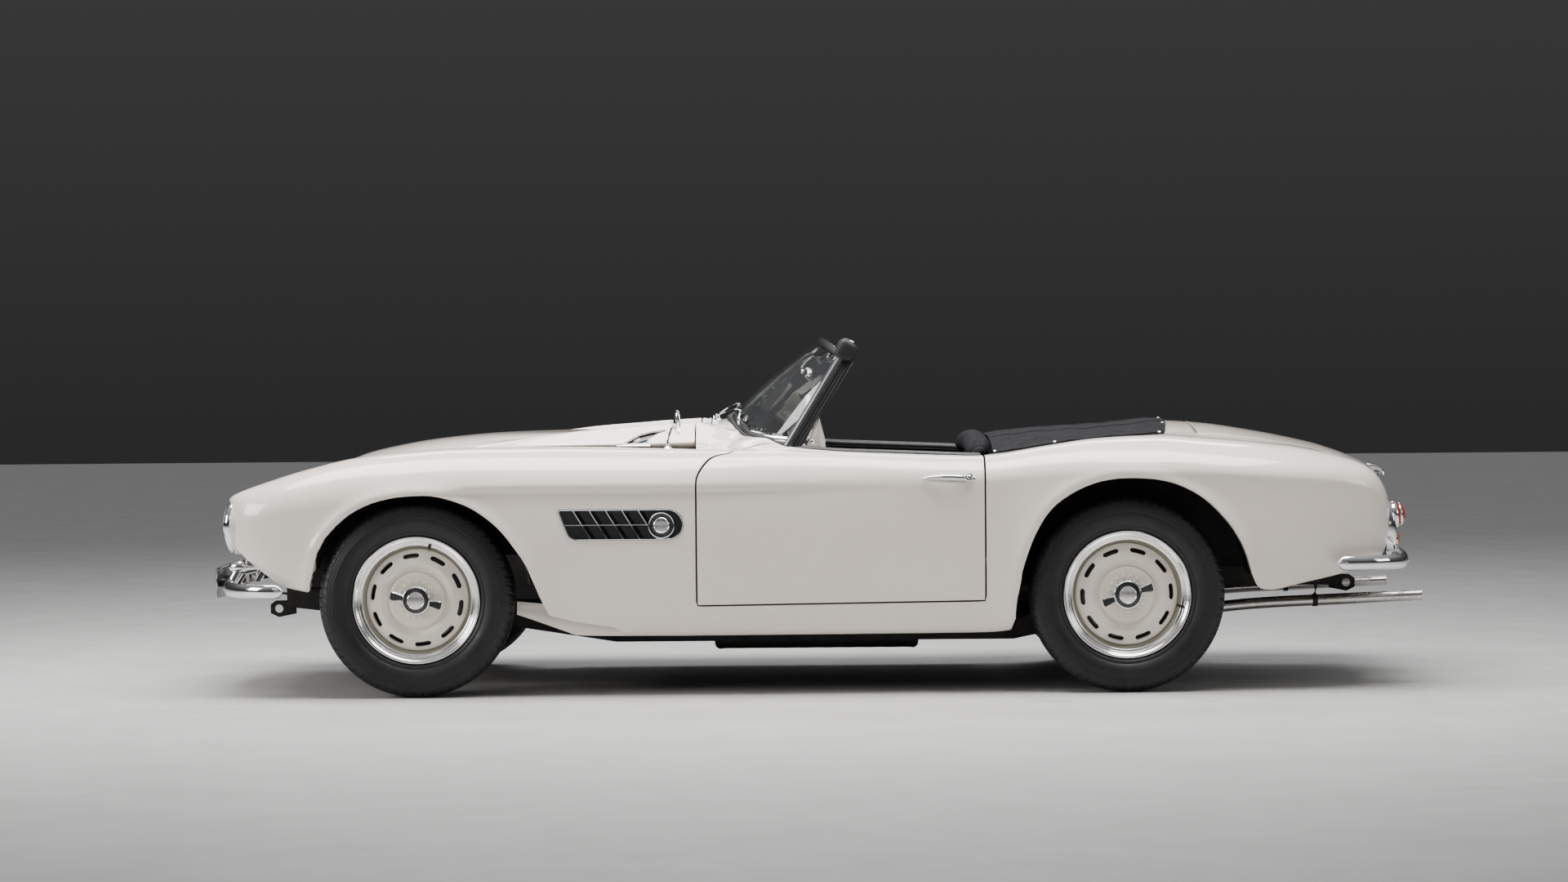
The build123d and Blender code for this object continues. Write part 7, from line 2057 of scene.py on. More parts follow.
# =============================================================== doors inside
def build_door_inners():
    lo = np.asarray(DOOR_LOOP, float)
    P = side_raw(lo[:, 0], lo[:, 1])
    N = normals_of(side_raw, lo[:, 0], lo[:, 1])
    N = N * np.sign((N * [0, 1, .3]).sum(1, keepdims=True))
    A = P - N * .019
    zt = .838
    cx, cz = .10, .58
    B = []
    for (x, w, z), t in zip(P, lo[:, 1]):
        xx = x + (cx - x) * .016
        zz = min(z + (cz - z) * .020, zt)
        ww = .700
        if z > .80:
            ww = np.interp(z, [.80, .835, .90], [.700, .690, .672])
            ww = min(ww, w - .002) if w < .70 else ww
        B.append((xx, ww, zz))
    B = np.array(B)
    n = len(P)
    mid = (A + B) / 2
    V = np.concatenate([P - N * .004, A, mid, B])
    F = []
    for k in range(3):
        for i in range(n):
            F.append((k * n + i, k * n + (i + 1) % n, (k + 1) * n + (i + 1) % n, (k + 1) * n + i))
    jamb = [(V, F, 0)]
    # inner panel as a grid filling the loop B, bulged
    xs = np.linspace(B[:, 0].min(), B[:, 0].max(), 74)
    bot = min(B[:, 2])
    def top_z(x):
        m = (B[:, 2] > .60)
        o = np.argsort(B[m, 0])
        return float(np.interp(x, B[m, 0][o], B[m, 2][o]))
    rows = []
    for x in xs:
        e = min((x - xs[0]), (xs[-1] - x))
        zz = np.linspace(bot + .001, max(top_z(x) - .001, bot + .02), 40)
        col = []
        for z in zz:
            d = min(e, z - bot, zz[-1] - z)
            bul = .010 * (1 - math.exp(-(max(d, 0) / .018) ** 1.3))
            # stitched frame line
            fr = abs(d - .045)
            bul -= .0022 * math.exp(-(fr / .004) ** 2)
            # pocket
            px, pz = (x - .20) / .235, (z - .430) / .075
            inp = max(abs(px), abs(pz))
            if inp < 1.0:
                bul += .012 * (1 - max(abs(px) ** 3, max(-pz, 0) ** 3)) * (1 if pz < .92 else .2)
            w = np.interp(z, [.78, .84, .90], [.700, .690, .674])
            col.append((x, w - bul, z))
        rows.append(col)
    panel = (np.array(rows).reshape(-1, 3), grid_faces(74, 40), 1)
    parts = jamb + [panel]
    # padded roll along the top, with the garnish rail under it
    ue, uf = U_OF_X(-.058), U_OF_X(.594)
    uu = np.linspace(ue, uf, 70)
    E = side_raw(uu, np.full(70, .004))
    w = np.interp(E[:, 0], [-.06, -.02, .58, .597], [.35, 1, 1, .75])
    roll_c = np.stack([E[:, 0], E[:, 1] - .012, E[:, 2] - .003], 1)
    sec = np.array([(15 * math.cos(a), 13.5 * math.sin(a)) for a in np.linspace(0, 2 * PI, 22, endpoint=False)]) * MM
    parts.append((*ribbon(roll_c, (0, 0, 1), sec, scale=np.stack([w, w], 1)), 1))
    # stitching line under the roll
    st = roll_c + [0, -.0135, -.010]
    for i in range(2, 66, 1):
        a, b = st[i], st[i] + (st[i + 1] - st[i]) * .62
        parts.append((*tube(np.array([a, (a + b) / 2 + [0, -.0008, 0], b]), .0009, 5), 3))
    # bright strip across the panel, handle and latch
    ln = np.array([(x, .6895 - .0095, .735 - .02 * (x + .38) / .97) for x in np.linspace(-.345, .560, 40)])
    parts.append((*ribbon(ln, (0, -1, 0), np.array([(-4, 0), (-3.2, 2.4), (0, 3.4), (3.2, 2.4), (4, 0)]) * MM), 2))
    ln = np.array([(x, .6895 - .0095, .545) for x in np.linspace(-.345, .560, 40)])
    parts.append((*ribbon(ln, (0, -1, 0), np.array([(-2.5, 0), (-2, 1.8), (0, 2.4), (2, 1.8), (2.5, 0)]) * MM), 2))
    parts.append((*turned(np.array([(20, 0), (20.5, 3), (18, 6), (10, 8), (8, 18), (7, 20), (.1, 20.5)]) * MM, (.455, .682, .668), (0, -1, 0), 36), 2))
    hd = smooth_line(np.array([(.455, .665, .668), (.43, .660, .668), (.38, .657, .664), (.335, .655, .655)]), .006)
    ww = np.interp(np.arange(len(hd)), [0, len(hd) * .3, len(hd) - 1], [1.0, .8, 1.15])
    parts.append((*ribbon(hd, (0, -1, 0), np.array([(-6.5, -2.6), (-5, 2.4), (0, 3.8), (5, 2.4), (6.5, -2.6), (0, -3.6)]) * MM, scale=np.stack([ww, np.ones(len(hd))], 1)), 2))
    # pull strap
    ps = smooth_line(np.array([(-.02, .678, .640), (.01, .660, .646), (.08, .652, .648), (.15, .660, .646), (.18, .678, .640)]), .006)
    parts.append((*ribbon(ps, (0, 0, 1), np.array([(-2.2, -11), (-2.6, 0), (-2.2, 11), (2.2, 11), (2.6, 0), (2.2, -11)]) * MM), 1))
    for x in (-.02, .18):
        parts.append((*turned(np.array([(12, 0), (12, 3), (9, 5.5), (3, 6.5), (.1, 6.6)]) * MM, (x, .681, .640), (0, -1, 0), 24), 2))
    # latch plate on the rear edge
    V, F = box_vf((.5905, .735, .600), (.5965, .775, .690), .002)
    parts.append((V, F, 2))
    V, F = box_vf((-.3925, .735, .400), (-.3875, .780, .450), .002)
    parts.append((V, F, 2))
    multi_both("door_inner_left", "door_inner_right", parts, ["paint", "leather", "chrome", "rubber"], "door_left", "door_right", angle=38)


# =============================================================== cockpit
def build_dash():
    parts = []
    # padded top: from the glass foot back to the brow
    q = np.linspace(-4.6, 4.6, 101)
    F0 = screen_pt(q, 0 * q + .012)
    rows = []
    for i in range(len(q)):
        a = F0[i] + [.020, 0, -.010]
        y = a[1]
        xb = -.028 - .028 * (abs(y) / .62) ** 3
        zb = .872 - .022 * (abs(y) / .62) ** 2
        hump = .018 * math.exp(-((y + .36) / .16) ** 4)
        prof = []
        for s_ in np.linspace(0, 1, 18):
            x = a[0] + (xb - a[0]) * s_
            z = a[2] * (1 - s_) ** 2 + (zb + .010 + hump * .6) * (1 - (1 - s_) ** 2)
            prof.append((x, y, min(z, a[2]) if s_ < .02 else z))
        # rolled brow
        for ang in np.linspace(80, -75, 10):
            r = .0155
            prof.append((xb + r * math.cos(math.radians(ang)), y, zb - .006 + hump * .6 + r * math.sin(math.radians(ang))))
        # face
        for s_ in np.linspace(.08, 1, 12):
            prof.append((xb + .004 - .010 * s_ - .010 * math.sin(s_ * PI), y, (zb - .022 + hump * .6) * (1 - s_) + .702 * s_))
        prof.append((xb - .030, y, .698))
        rows.append(prof)
    m_ = len(rows[0])
    V = np.array(rows).reshape(-1, 3)
    G = grid_faces(len(rows), m_)
    nbrow = 18 + 10
    top_f, face_f = [], []
    for i in range(len(rows) - 1):
        for j in range(m_ - 1):
            (top_f if j < nbrow else face_f).append(G[i * (m_ - 1) + j])
    parts.append((V, top_f, 0))
    parts.append((V, face_f, 1))
    # dials
    def face_x(y, z):
        xb = -.028 - .028 * (abs(y) / .62) ** 3
        return xb - .004
    n = np.array([1, 0, .10]); n /= np.linalg.norm(n)
    def dial(y, z, r, ticks, needle, nums=False):
        c = np.array([face_x(y, z) + .002, y, z])
        parts.append((*turned(np.array([(r + 3, -4), (r + 4, 4), (r + 3, 8.5), (r + .5, 9.5), (r - 1.5, 7.5), (r - 2, 3)]) * MM, c, n, 56), 2))
        parts.append((*turned(np.array([(r - 1, 3.0), (r - 8, 2.2), (.1, 2.0)]) * MM, c, n, 48), 3))
        a_ = np.cross(n, [0, 0, 1.0]); a_ /= np.linalg.norm(a_); b_ = np.cross(a_, n)
        for k in range(ticks):
            ang = math.radians(225 - 270 * k / (ticks - 1))
            big = k % 2 == 0
            d = -a_ * math.cos(ang) + b_ * math.sin(ang)
            e = np.cross(n, d)
            r0, r1, w = (r - (11 if big else 8)) * MM, (r - 4) * MM, (.0009 if big else .0005)
            p = c + n * .0031
            Vt = np.array([p + d * r0 - e * w, p + d * r1 - e * w, p + d * r1 + e * w, p + d * r0 + e * w])
            parts.append((np.vstack([Vt, Vt - n * .0006]), [(0, 1, 2, 3), (4, 7, 6, 5), (0, 4, 5, 1), (1, 5, 6, 2), (2, 6, 7, 3), (3, 7, 4, 0)], 4))
        ang = math.radians(needle)
        d = -a_ * math.cos(ang) + b_ * math.sin(ang)
        e = np.cross(n, d)
        p = c + n * .0048
        Vt = np.array([p - d * .008 - e * .0014, p + d * (r - 8) * MM, p - d * .008 + e * .0014])
        parts.append((np.vstack([Vt, Vt - n * .0008]), [(0, 1, 2), (3, 5, 4), (0, 3, 4, 1), (1, 4, 5, 2), (2, 5, 3, 0)], 4))
        parts.append((*dome(p, n, .0042, .002, 14, 3), 3))
    for y, r, tk, nd in ((-.455, 50, 19, 225), (-.300, 50, 19, 225), (-.3775, 26, 9, 200)):
        dial(y, .800 if r > 30 else .742, r, tk, nd)
    dial(-.150, .800, 26, 9, 150)
    dial(-.085, .800, 26, 9, 210)
    # switches, grab rail, glove lid, vents
    for i, y in enumerate((-.54, -.215, -.115, -.05, .015)):
        z = .742 if i else .80
        c = np.array([face_x(y, z) + .001, y, z])
        parts.append((*turned(np.array([(9, -2), (9, 2), (5, 3), (4.2, 16), (8, 18), (8.8, 22), (7, 25), (.1, 26)]) * MM, c, n, 28), 2))
    gl = rounded_outline([(.14, .735), (.50, .735), (.50, .835), (.14, .835)], .012, 6)
    ring = np.array([(face_x(a, b) + .0022, a, b) for a, b in resample(np.asarray(gl, float), .010, closed=True)])
    parts.append((*tube(ring, .0018, 6, closed=True), 5))
    parts.append((*turned(np.array([(10, -2), (10, 3), (7, 6), (.1, 7)]) * MM, (face_x(.32, .80) + .002, .32, .812), n, 24), 2))
    gr = smooth_line(np.array([(-.010, .13, .866), (.020, .15, .866), (.034, .20, .866), (.034, .44, .862), (.018, .49, .860), (-.012, .51, .858)]), .008)
    parts.append((*tube(gr, .0085, 12), 2))
    # centre panel with slots
    for k in range(6):
        z = .722 + .014 * k
        V, F = box_vf((face_x(.075, z) - .001, .040, z - .0025), (face_x(.075, z) + .003, .118, z + .0025), .0008)
        parts.append((V, F, 5))
    multi("dashboard_panel", parts, ["leather", "paint", "chrome", "dial", "dialmark", "black_trim"], "body", "dashboard")


TILT = math.radians(12)
SWC = np.array([.032, -.360, .845])
AX = np.array([math.cos(TILT), 0, math.sin(TILT)])


def build_steering():
    e1, e2 = np.array([0, 1.0, 0]), np.array([-math.sin(TILT), 0, math.cos(TILT)])
    parts = []
    th = np.linspace(0, 2 * PI, 160, endpoint=False)
    P = SWC + .195 * (np.cos(th)[:, None] * e1 + np.sin(th)[:, None] * e2)
    # finger grips on the inner side of the rim
    rows = []
    for i, t in enumerate(th):
        rad = np.cos(t) * e1 + np.sin(t) * e2
        g = .0009 * (1 + math.cos(t * 40))
        rows.append([P[i] + rad * ((.0098 + (0 if math.cos(a) > -.2 else -g)) * math.cos(a)) + AX * .0118 * math.sin(a) for a in np.linspace(0, 2 * PI, 16, endpoint=False)])
    parts.append((np.array(rows).reshape(-1, 3), grid_faces(160, 16, close_u=True, close_v=True), 0))
    # spokes: pairs of rods, curved, in three directions
    for a in (0, 180, 270):
        t = math.radians(a)
        rad = math.cos(t) * e1 + math.sin(t) * e2
        tan = -math.sin(t) * e1 + math.cos(t) * e2
        for off in (-.0085, .0085):
            L = np.linspace(.026, .188, 16)
            pts = np.array([SWC + rad * l + tan * off * (1 + .25 * math.sin((l - .026) / .162 * PI)) - AX * (.004 + .012 * math.sin(min(1, (.19 - l) / .12) * PI / 2)) for l in L])
            parts.append((*tube(pts, .0044, 10), 0))
        pts = np.array([SWC + rad * l - AX * .004 for l in np.linspace(.172, .190, 5)])
        w = np.linspace(.6, 1.3, 5)
        parts.append((*ribbon(pts, AX, np.array([(-13, -5), (-13, 4), (13, 4), (13, -5)]) * MM, scale=np.stack([w, np.ones(5)], 1)), 0))
    # hub with a blank button, and the horn ring
    c = SWC - AX * .016
    parts.append((*turned(np.array([(18, -24), (24, -20), (33, -8), (37, 2), (37.5, 8), (35, 13), (30, 15.5)]) * MM, c, AX, 60), 0))
    parts.append((*turned(np.array([(30, 14), (30.4, 17), (28.6, 19), (26.4, 18.4)]) * MM, c, AX, 60), 1))
    parts.append((*turned(np.array([(26.4, 18), (22, 20.4), (12, 22.0), (.1, 22.4)]) * MM, c, AX, 60), 2))
    hr = SWC + .112 * (np.cos(np.linspace(math.radians(200), math.radians(340), 60))[:, None] * e1 + np.sin(np.linspace(math.radians(200), math.radians(340), 60))[:, None] * e2) + AX * .006
    parts.append((*tube(hr, .0036, 8), 1))
    for a in (200, 340):
        t = math.radians(a)
        rad = math.cos(t) * e1 + math.sin(t) * e2
        parts.append((*tube(np.array([SWC + rad * l + AX * (.000 + .006 * (l > .06)) for l in (.034, .06, .09, .112)]), .0034, 8), 1))
    multi("steering_wheel_rim", parts, ["ivory", "chrome", "black_trim"], "steering_wheel", "steering_wheel", angle=50)
    parts = []
    a0, a1 = SWC - AX * .040, SWC - AX * .460
    parts.append((*turned(np.array([(24, 0), (25, -3), (25, -60), (22.5, -66), (21.5, -80), (21.5, -300), (19, -306), (19, -420)]) * MM, a0, AX, 40), 0))
    for s, L in ((-1, .130), (1, .110)):
        st = smooth_line(np.array([a0 - AX * .030, a0 - AX * .030 + [0, s * .045, .010], a0 - AX * .022 + [.004, s * L, .030]]), .008)
        parts.append((*tube(st, .0036, 8), 1))
        parts.append((*dome(st[-1], st[-1] - st[-2], .0075, .012, 16, 6), 2))
        parts.append((*dome(st[-1], st[-2] - st[-1], .0075, .006, 16, 5), 2))
    # bracket to the dash
    V, F = box_vf(a0 - AX * .075 + [-.018, -.030, .000], a0 - AX * .075 + [.018, .030, .040], .005)
    parts.append((V, F, 0))
    multi("steering_column_tube", parts, ["black_trim", "chrome", "ivory"], "body", "steering_column", angle=50)


def build_carpets():
    """Trim over the floor, the tunnel, the toe board and the bulkhead behind the seats."""
    parts = []
    g = np.random.default_rng(7)
    def sheet_grid(fn, nu, nv, mi=0):
        rows = [[fn(i / (nu - 1), j / (nv - 1)) for j in range(nv)] for i in range(nu)]
        parts.append((np.array(rows).reshape(-1, 3), grid_faces(nu, nv), mi))
    for s in (-1, 1):
        # floor carpet with a raised heel pad
        def fl(u, v):
            x, y = -.430 + 1.112 * u, s * (.128 + .482 * v)
            z = .2475 + .0012 * math.sin(x * 41) * math.sin(y * 37)
            hx, hy = (x + .16) / .13, (abs(y) - .36) / .15
            if max(abs(hx), abs(hy)) < 1:
                z += .0045 * (1 - max(abs(hx), abs(hy)) ** 8)
            return (x, y, z)
        sheet_grid(fl, 90, 44)
        def toe(u, v):
            x = -.6275 + .200 * v
            z = .262 + .222 * v
            return (x + .010, s * (.130 + .478 * u), z)
        sheet_grid(toe, 24, 24)
        # side of the tunnel
        def tun(u, v):
            x = -.430 + 1.112 * u
            pts = [(.1285, .2475), (.1285, .380), (.118, .404), (.088, .4235), (0.0, .4245)]
            d = np.concatenate([[0], np.cumsum(np.hypot(*np.diff(np.array(pts), axis=0).T))])
            yy = np.interp(v * d[-1], d, [p[0] for p in pts])
            zz = np.interp(v * d[-1], d, [p[1] for p in pts])
            return (x, s * yy, zz + .001 * math.sin(x * 33))
        sheet_grid(tun, 70, 30)
        # bulkhead behind the seats, quilted
        def bulk(u, v):
            y, z = s * (.002 + .604 * u), .250 + .560 * v
            x = .6885 - .006 - .004 * abs(math.sin(y * 26))
            return (x, y, z)
        sheet_grid(bulk, 90, 20)
    # hand brake, gear lever with boot, pedals
    parts.append((*turned(np.array([(52, 0), (50, 6), (38, 12), (30, 26), (22, 40), (14, 52), (9, 58)]) * MM, (.13, 0, .420), (0, 0, 1), 40), 1))
    parts.append((*tube(smooth_line(np.array([(.13, 0, .47), (.125, -.004, .54), (.11, -.006, .62), (.10, -.006, .668)]), .01), .0062, 12), 2))
    parts.append((*turned(np.array([(.1, 22), (9, 20.5), (16, 14), (18.5, 4), (17, -6), (11, -14), (6, -17)]) * MM, (.099, -.006, .675), (-.1, 0, 1), 32), 3))
    hb = smooth_line(np.array([(.30, .055, .425), (.26, .055, .448), (.16, .055, .486), (.06, .055, .512)]), .01)
    parts.append((*ribbon(hb, (0, 0, 1), np.array([(-8, -7), (-8, 6), (-4, 10), (4, 10), (8, 6), (8, -7)]) * MM), 4))
    parts.append((*dome(hb[-1], hb[-1] - hb[-2], .009, .014, 16, 5), 2))
    for y, w in ((-.475, .030), (-.395, .030), (-.270, .022)):
        V, F = box_vf((-.404, y - w, .352), (-.392, y + w, .352 + (.058 if w > .025 else .130)), .004)
        parts.append((V, F, 4))
        parts.append((*tube(np.array([(-.402, y, .40), (-.425, y, .50), (-.43, y, .62)]), .006, 8), 2))
    multi("cockpit_carpet", parts, ["carpet", "leather", "chrome", "ivory", "rubber"], "body", angle=50)
    # quilted inner sides of the foot wells and the kick panels
    parts = []
    for s in (-1, 1):
        rows = [[(x, s * (.6365 - .003 * abs(math.sin((x + z) * 40)) - .0), z) for z in np.linspace(.262, .846, 40)] for x in np.linspace(-.422, -.398, 4)]
        parts.append((np.array(rows).reshape(-1, 3), grid_faces(4, 40), 0))
    rows = [[(-.4245 + .003 * abs(math.sin(y * 30) * math.sin(z * 30)), y, z) for z in np.linspace(.488, .842, 24)] for y in np.linspace(-.636, .636, 90)]
    parts.append((np.array(rows).reshape(-1, 3), grid_faces(90, 24), 0))
    multi("footwell_trim", parts, ["carpet"], "body", angle=60)


# =============================================================== seats
def puff(name, V, F, mats, body, voxel=.006, pressure=4.0, cap=.014, frames=20, pin=None):
    """A closed form swelled by Blender's cloth solver, each point held within cap of where it began."""
    me = bpy.data.meshes.new(name)
    me.from_pydata(np.asarray(V, float).tolist(), [], [tuple(int(i) for i in f) for f in F])
    bm = bmesh.new()
    bm.from_mesh(me)
    bmesh.ops.remove_doubles(bm, verts=bm.verts, dist=1e-6)
    bmesh.ops.recalc_face_normals(bm, faces=bm.faces)
    bm.to_mesh(me)
    bm.free()
    o = link(bpy.data.objects.new(name, me))
    r = o.modifiers.new("remesh", "REMESH")
    r.mode = "VOXEL"
    r.voxel_size = voxel
    r.use_smooth_shade = True
    dg = bpy.context.evaluated_depsgraph_get()
    me2 = bpy.data.meshes.new_from_object(o.evaluated_get(dg))
    o.modifiers.clear()
    o.data = me2
    n = len(me2.vertices)
    c0 = np.empty(n * 3)
    me2.vertices.foreach_get("co", c0)
    c0 = c0.reshape(-1, 3)
    vg = o.vertex_groups.new(name="held")
    if pin is not None:
        w = pin(c0)
        for i in np.nonzero(w > 0)[0]:
            vg.add([int(i)], float(w[i]), "REPLACE")
    m_ = o.modifiers.new("cloth", "CLOTH")
    s = m_.settings
    s.quality = 5
    s.mass = .3
    s.tension_stiffness = s.compression_stiffness = 12
    s.shear_stiffness = 5
    s.bending_stiffness = .8
    s.use_pressure = True
    s.uniform_pressure_force = pressure
    s.effector_weights.gravity = 0
    s.vertex_group_mass = "held"
    m_.collision_settings.use_collision = False
    m_.collision_settings.use_self_collision = False
    sc = bpy.context.scene
    for f_ in range(1, frames + 1):
        sc.frame_set(f_)
    dg = bpy.context.evaluated_depsgraph_get()
    ev = o.evaluated_get(dg)
    c1 = np.empty(n * 3)
    ev.data.vertices.foreach_get("co", c1)
    c1 = c1.reshape(-1, 3)
    o.modifiers.remove(m_)
    o.vertex_groups.clear()
    sc.frame_set(1)
    d = c1 - c0
    L = np.linalg.norm(d, axis=1, keepdims=True)
    d = np.where(L > 1e-9, d / np.maximum(L, 1e-9) * cap * np.tanh(L / cap), 0)
    c0 = c0 + d
    me2.vertices.foreach_set("co", c0.ravel())
    me2.update()
    me2.materials.clear()
    for k in mats:
        me2.materials.append(MATS[k])
    me2.shade_smooth()
    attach(o, body)
    return o


def soft_box(pts_side, half_w, nx=None, crown=.018, pull=.012, ny=18, er=.022):
    """A cushion from a closed side outline (x, z), extruded in y with rounded, pulled-in edges."""
    P = resample(np.asarray(pts_side, float), .012, closed=True)
    c = P.mean(0)
    rows = []
    ys = np.sin(np.linspace(-PI / 2, PI / 2, ny)) * half_w
    ys = np.concatenate([[-half_w], ys[1:-1], [half_w]])
    for y in ys:
        e = half_w - abs(y)
        k = 1 - er / np.linalg.norm(P - c, axis=1).mean() * (1 - np.sqrt(np.clip(1 - (1 - np.clip(e / er, 0, 1)) ** 2, 0, 1)))
        q = c + (P - c) * k
        rows.append([(a, y, b) for a, b in q])
    n = len(P)
    V = np.array(rows).reshape(-1, 3)
    F = grid_faces(len(ys), n, close_v=True) + [tuple(range(n)), tuple((len(ys) - 1) * n + i for i in range(n))]
    return V, F


def build_seats():
    cush = [(.126, .272), (.585, .272), (.588, .386), (.560, .412), (.400, .418), (.260, .424), (.160, .434), (.128, .418), (.118, .360)]
    back = [(.548, .416), (.596, .402), (.640, .560), (.664, .700), (.672, .765), (.662, .806), (.636, .815), (.612, .800), (.592, .740), (.566, .600), (.548, .480)]

    def pin_c(c):
        return (c[:, 2] < .285).astype(float)

    def pin_b(c):
        return (c[:, 0] > .596 + (c[:, 2] - .40) * .19).astype(float)
    made = {}
    for key, pts, pin, pleat in (("cushion", cush, pin_c, 0), ("backrest", back, pin_b, 1)):
        V, F = soft_box(smooth_line(np.array(pts + [pts[0]]), .012)[:-1], .212, er=.034)
        o = puff(f"seat_{key}_left", V, F, ["leather"], "body", voxel=.0085, cap=.013, pin=pin)
        me = o.data
        n = len(me.vertices)
        c = np.empty(n * 3)
        me.vertices.foreach_get("co", c)
        c = c.reshape(-1, 3)
        nn = np.empty(n * 3)
        me.vertices.foreach_get("normal", nn)
        nn = nn.reshape(-1, 3)
        # sewn channels, then a seam round the facing panel
        if key == "cushion":
            fr = np.clip((nn[:, 2] - .25) / .35, 0, 1) * (np.abs(c[:, 1]) < .150) * sstep(.165, .195, c[:, 0]) * (1 - sstep(.52, .56, c[:, 0]))
            inset = np.clip(1 - np.abs(np.hypot(np.maximum(np.abs(c[:, 1]) - .130, 0), np.maximum(np.maximum(.185 - c[:, 0], c[:, 0] - .545), 0)) - .028) / .006, 0, 1) * np.clip((nn[:, 2] - .2) / .3, 0, 1)
        else:
            fr = np.clip((-nn[:, 0] - .25) / .35, 0, 1) * (np.abs(c[:, 1]) < .150) * sstep(.445, .475, c[:, 2]) * (1 - sstep(.745, .775, c[:, 2]))
            inset = np.clip(1 - np.abs(np.hypot(np.maximum(np.abs(c[:, 1]) - .130, 0), np.maximum(np.maximum(.470 - c[:, 2], c[:, 2] - .750), 0)) - .028) / .006, 0, 1) * np.clip((-nn[:, 0] - .2) / .3, 0, 1)
        ch = np.abs(np.sin(c[:, 1] / .0375 * PI))
        d = fr * (ch ** .45 - 1) * .0075 - inset * .0045
        c = c + nn * d[:, None]
        me.vertices.foreach_set("co", c.ravel())
        me.update()
        made[key] = o
        o.location = (0, -.355, 0)
        o2 = link(bpy.data.objects.new(f"seat_{key}_right", o.data))
        o2.location = (0, .355, 0)
        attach(o2, "body")
        if key == "cushion":
            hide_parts("seats")
    # piping and seat frames
    for s, nm in ((-1, "left"), (1, "right")):
        parts = []
        for sy in (-1, 1):
            y = s * .355 + sy * .2085
            for pts in (cush, back):
                L = smooth_line(np.array(pts + [pts[0]]), .012)[:-1]
                c = L.mean(0)
                ring = np.array([(c[0] + (a - c[0]) * .955, y, c[1] + (b - c[1]) * .925) for a, b in L])
                parts.append((*tube(resample(ring, .010, closed=True), .0032, 8, closed=True), 0))
        for yy in (-.17, .17):
            V, F = box_vf((.140, s * .355 + yy - .012, .2480), (.570, s * .355 + yy + .012, .2740), .003)
            parts.append((V, F, 1))
        multi(f"seat_piping_{nm}", parts, ["leather", "chassis"], "body", None, angle=60)


EXTRA += [build_windscreen, build_door_inners, build_dash, build_steering, build_carpets, build_seats]



# =============================================================== tonneau and rear deck
TZ = Tab([.600, .655, .700, .800, .875, .950, 1.030, 1.060, 1.100, 1.180, 1.254, 1.290], [.880, .893, .900, .9095, .9135, .9195, .9245, .9225, .9265, .9365, .9430, .9440], .004)


def u_at(x):
    return np.interp(x, KEYS[:, 0][2:-2], _bu[2:-2])


def deck_z(x, a, w):
    e = side_raw(u_at(x), np.full(np.shape(x), .001))[..., 2]
    c = np.interp(x, [1.20, 1.254, 1.374], [.9405, .9370, .9300])
    q = np.abs(a) ** 2.0
    return c * (1 - q) + e * q


def tonneau_pt(u, v, crease=True):
    """u from 0 at the roll to 1 at the rear hem, v from -1 to 1 across."""
    u, v = np.broadcast_arrays(np.asarray(u, float), np.asarray(v, float))
    av = np.abs(v)
    xr = 1.2855 - .034 * av ** 2.2
    x = .640 + (xr - .640) * u
    E = side_raw(u_at(x), np.full(x.shape, .022))
    NE = normals_of(side_raw, u_at(x), np.full(x.shape, .022))
    NE = NE * np.sign(NE[..., 2:3])
    ew, ez = E[..., 1] + .0035 * NE[..., 1], E[..., 2] + .0035 * NE[..., 2]
    zm = TZ(x)
    k = 2.5
    z = zm - (zm - ez) * av ** k
    if crease:
        w = av * ew
        ed = (1 - av)
        # pulls running in from the studs, a slack diagonal, and the bows underneath
        for xs, amp, sl in ((.70, .0030, .5), (.915, .0042, -.55), (1.045, .0030, .35), (1.215, .0032, -.2)):
            dx = x - (xs + sl * (ew - w))
            z = z + amp * np.exp(-(dx / .020) ** 2) * np.exp(-((ed - .16) / .17) ** 2) - .55 * amp * np.exp(-((dx - .034) / .024) ** 2) * np.exp(-((ed - .16) / .17) ** 2)
        z = z + .0016 * np.sin(x * 47 + 2.1 * np.sin(v * 3.0)) * np.sin(v * 5.5 + 1.0) * np.clip(ed / .2, 0, 1)
        z = z - .0045 * np.exp(-((x - .985) / .045) ** 2) * np.clip(ed / .3, 0, 1)
        z = z + .0022 * np.exp(-((av - .47) / .016) ** 2)
    # the last centimetres lie down on the painted deck
    f = sstep(.955, .995, u)
    zd = deck_z(x, av * ew / np.maximum(VALLEY_W(x), .1), 0) + .0050
    z = z * (1 - f) + np.minimum(z, zd) * f
    return np.stack([x, v * ew, z], -1)


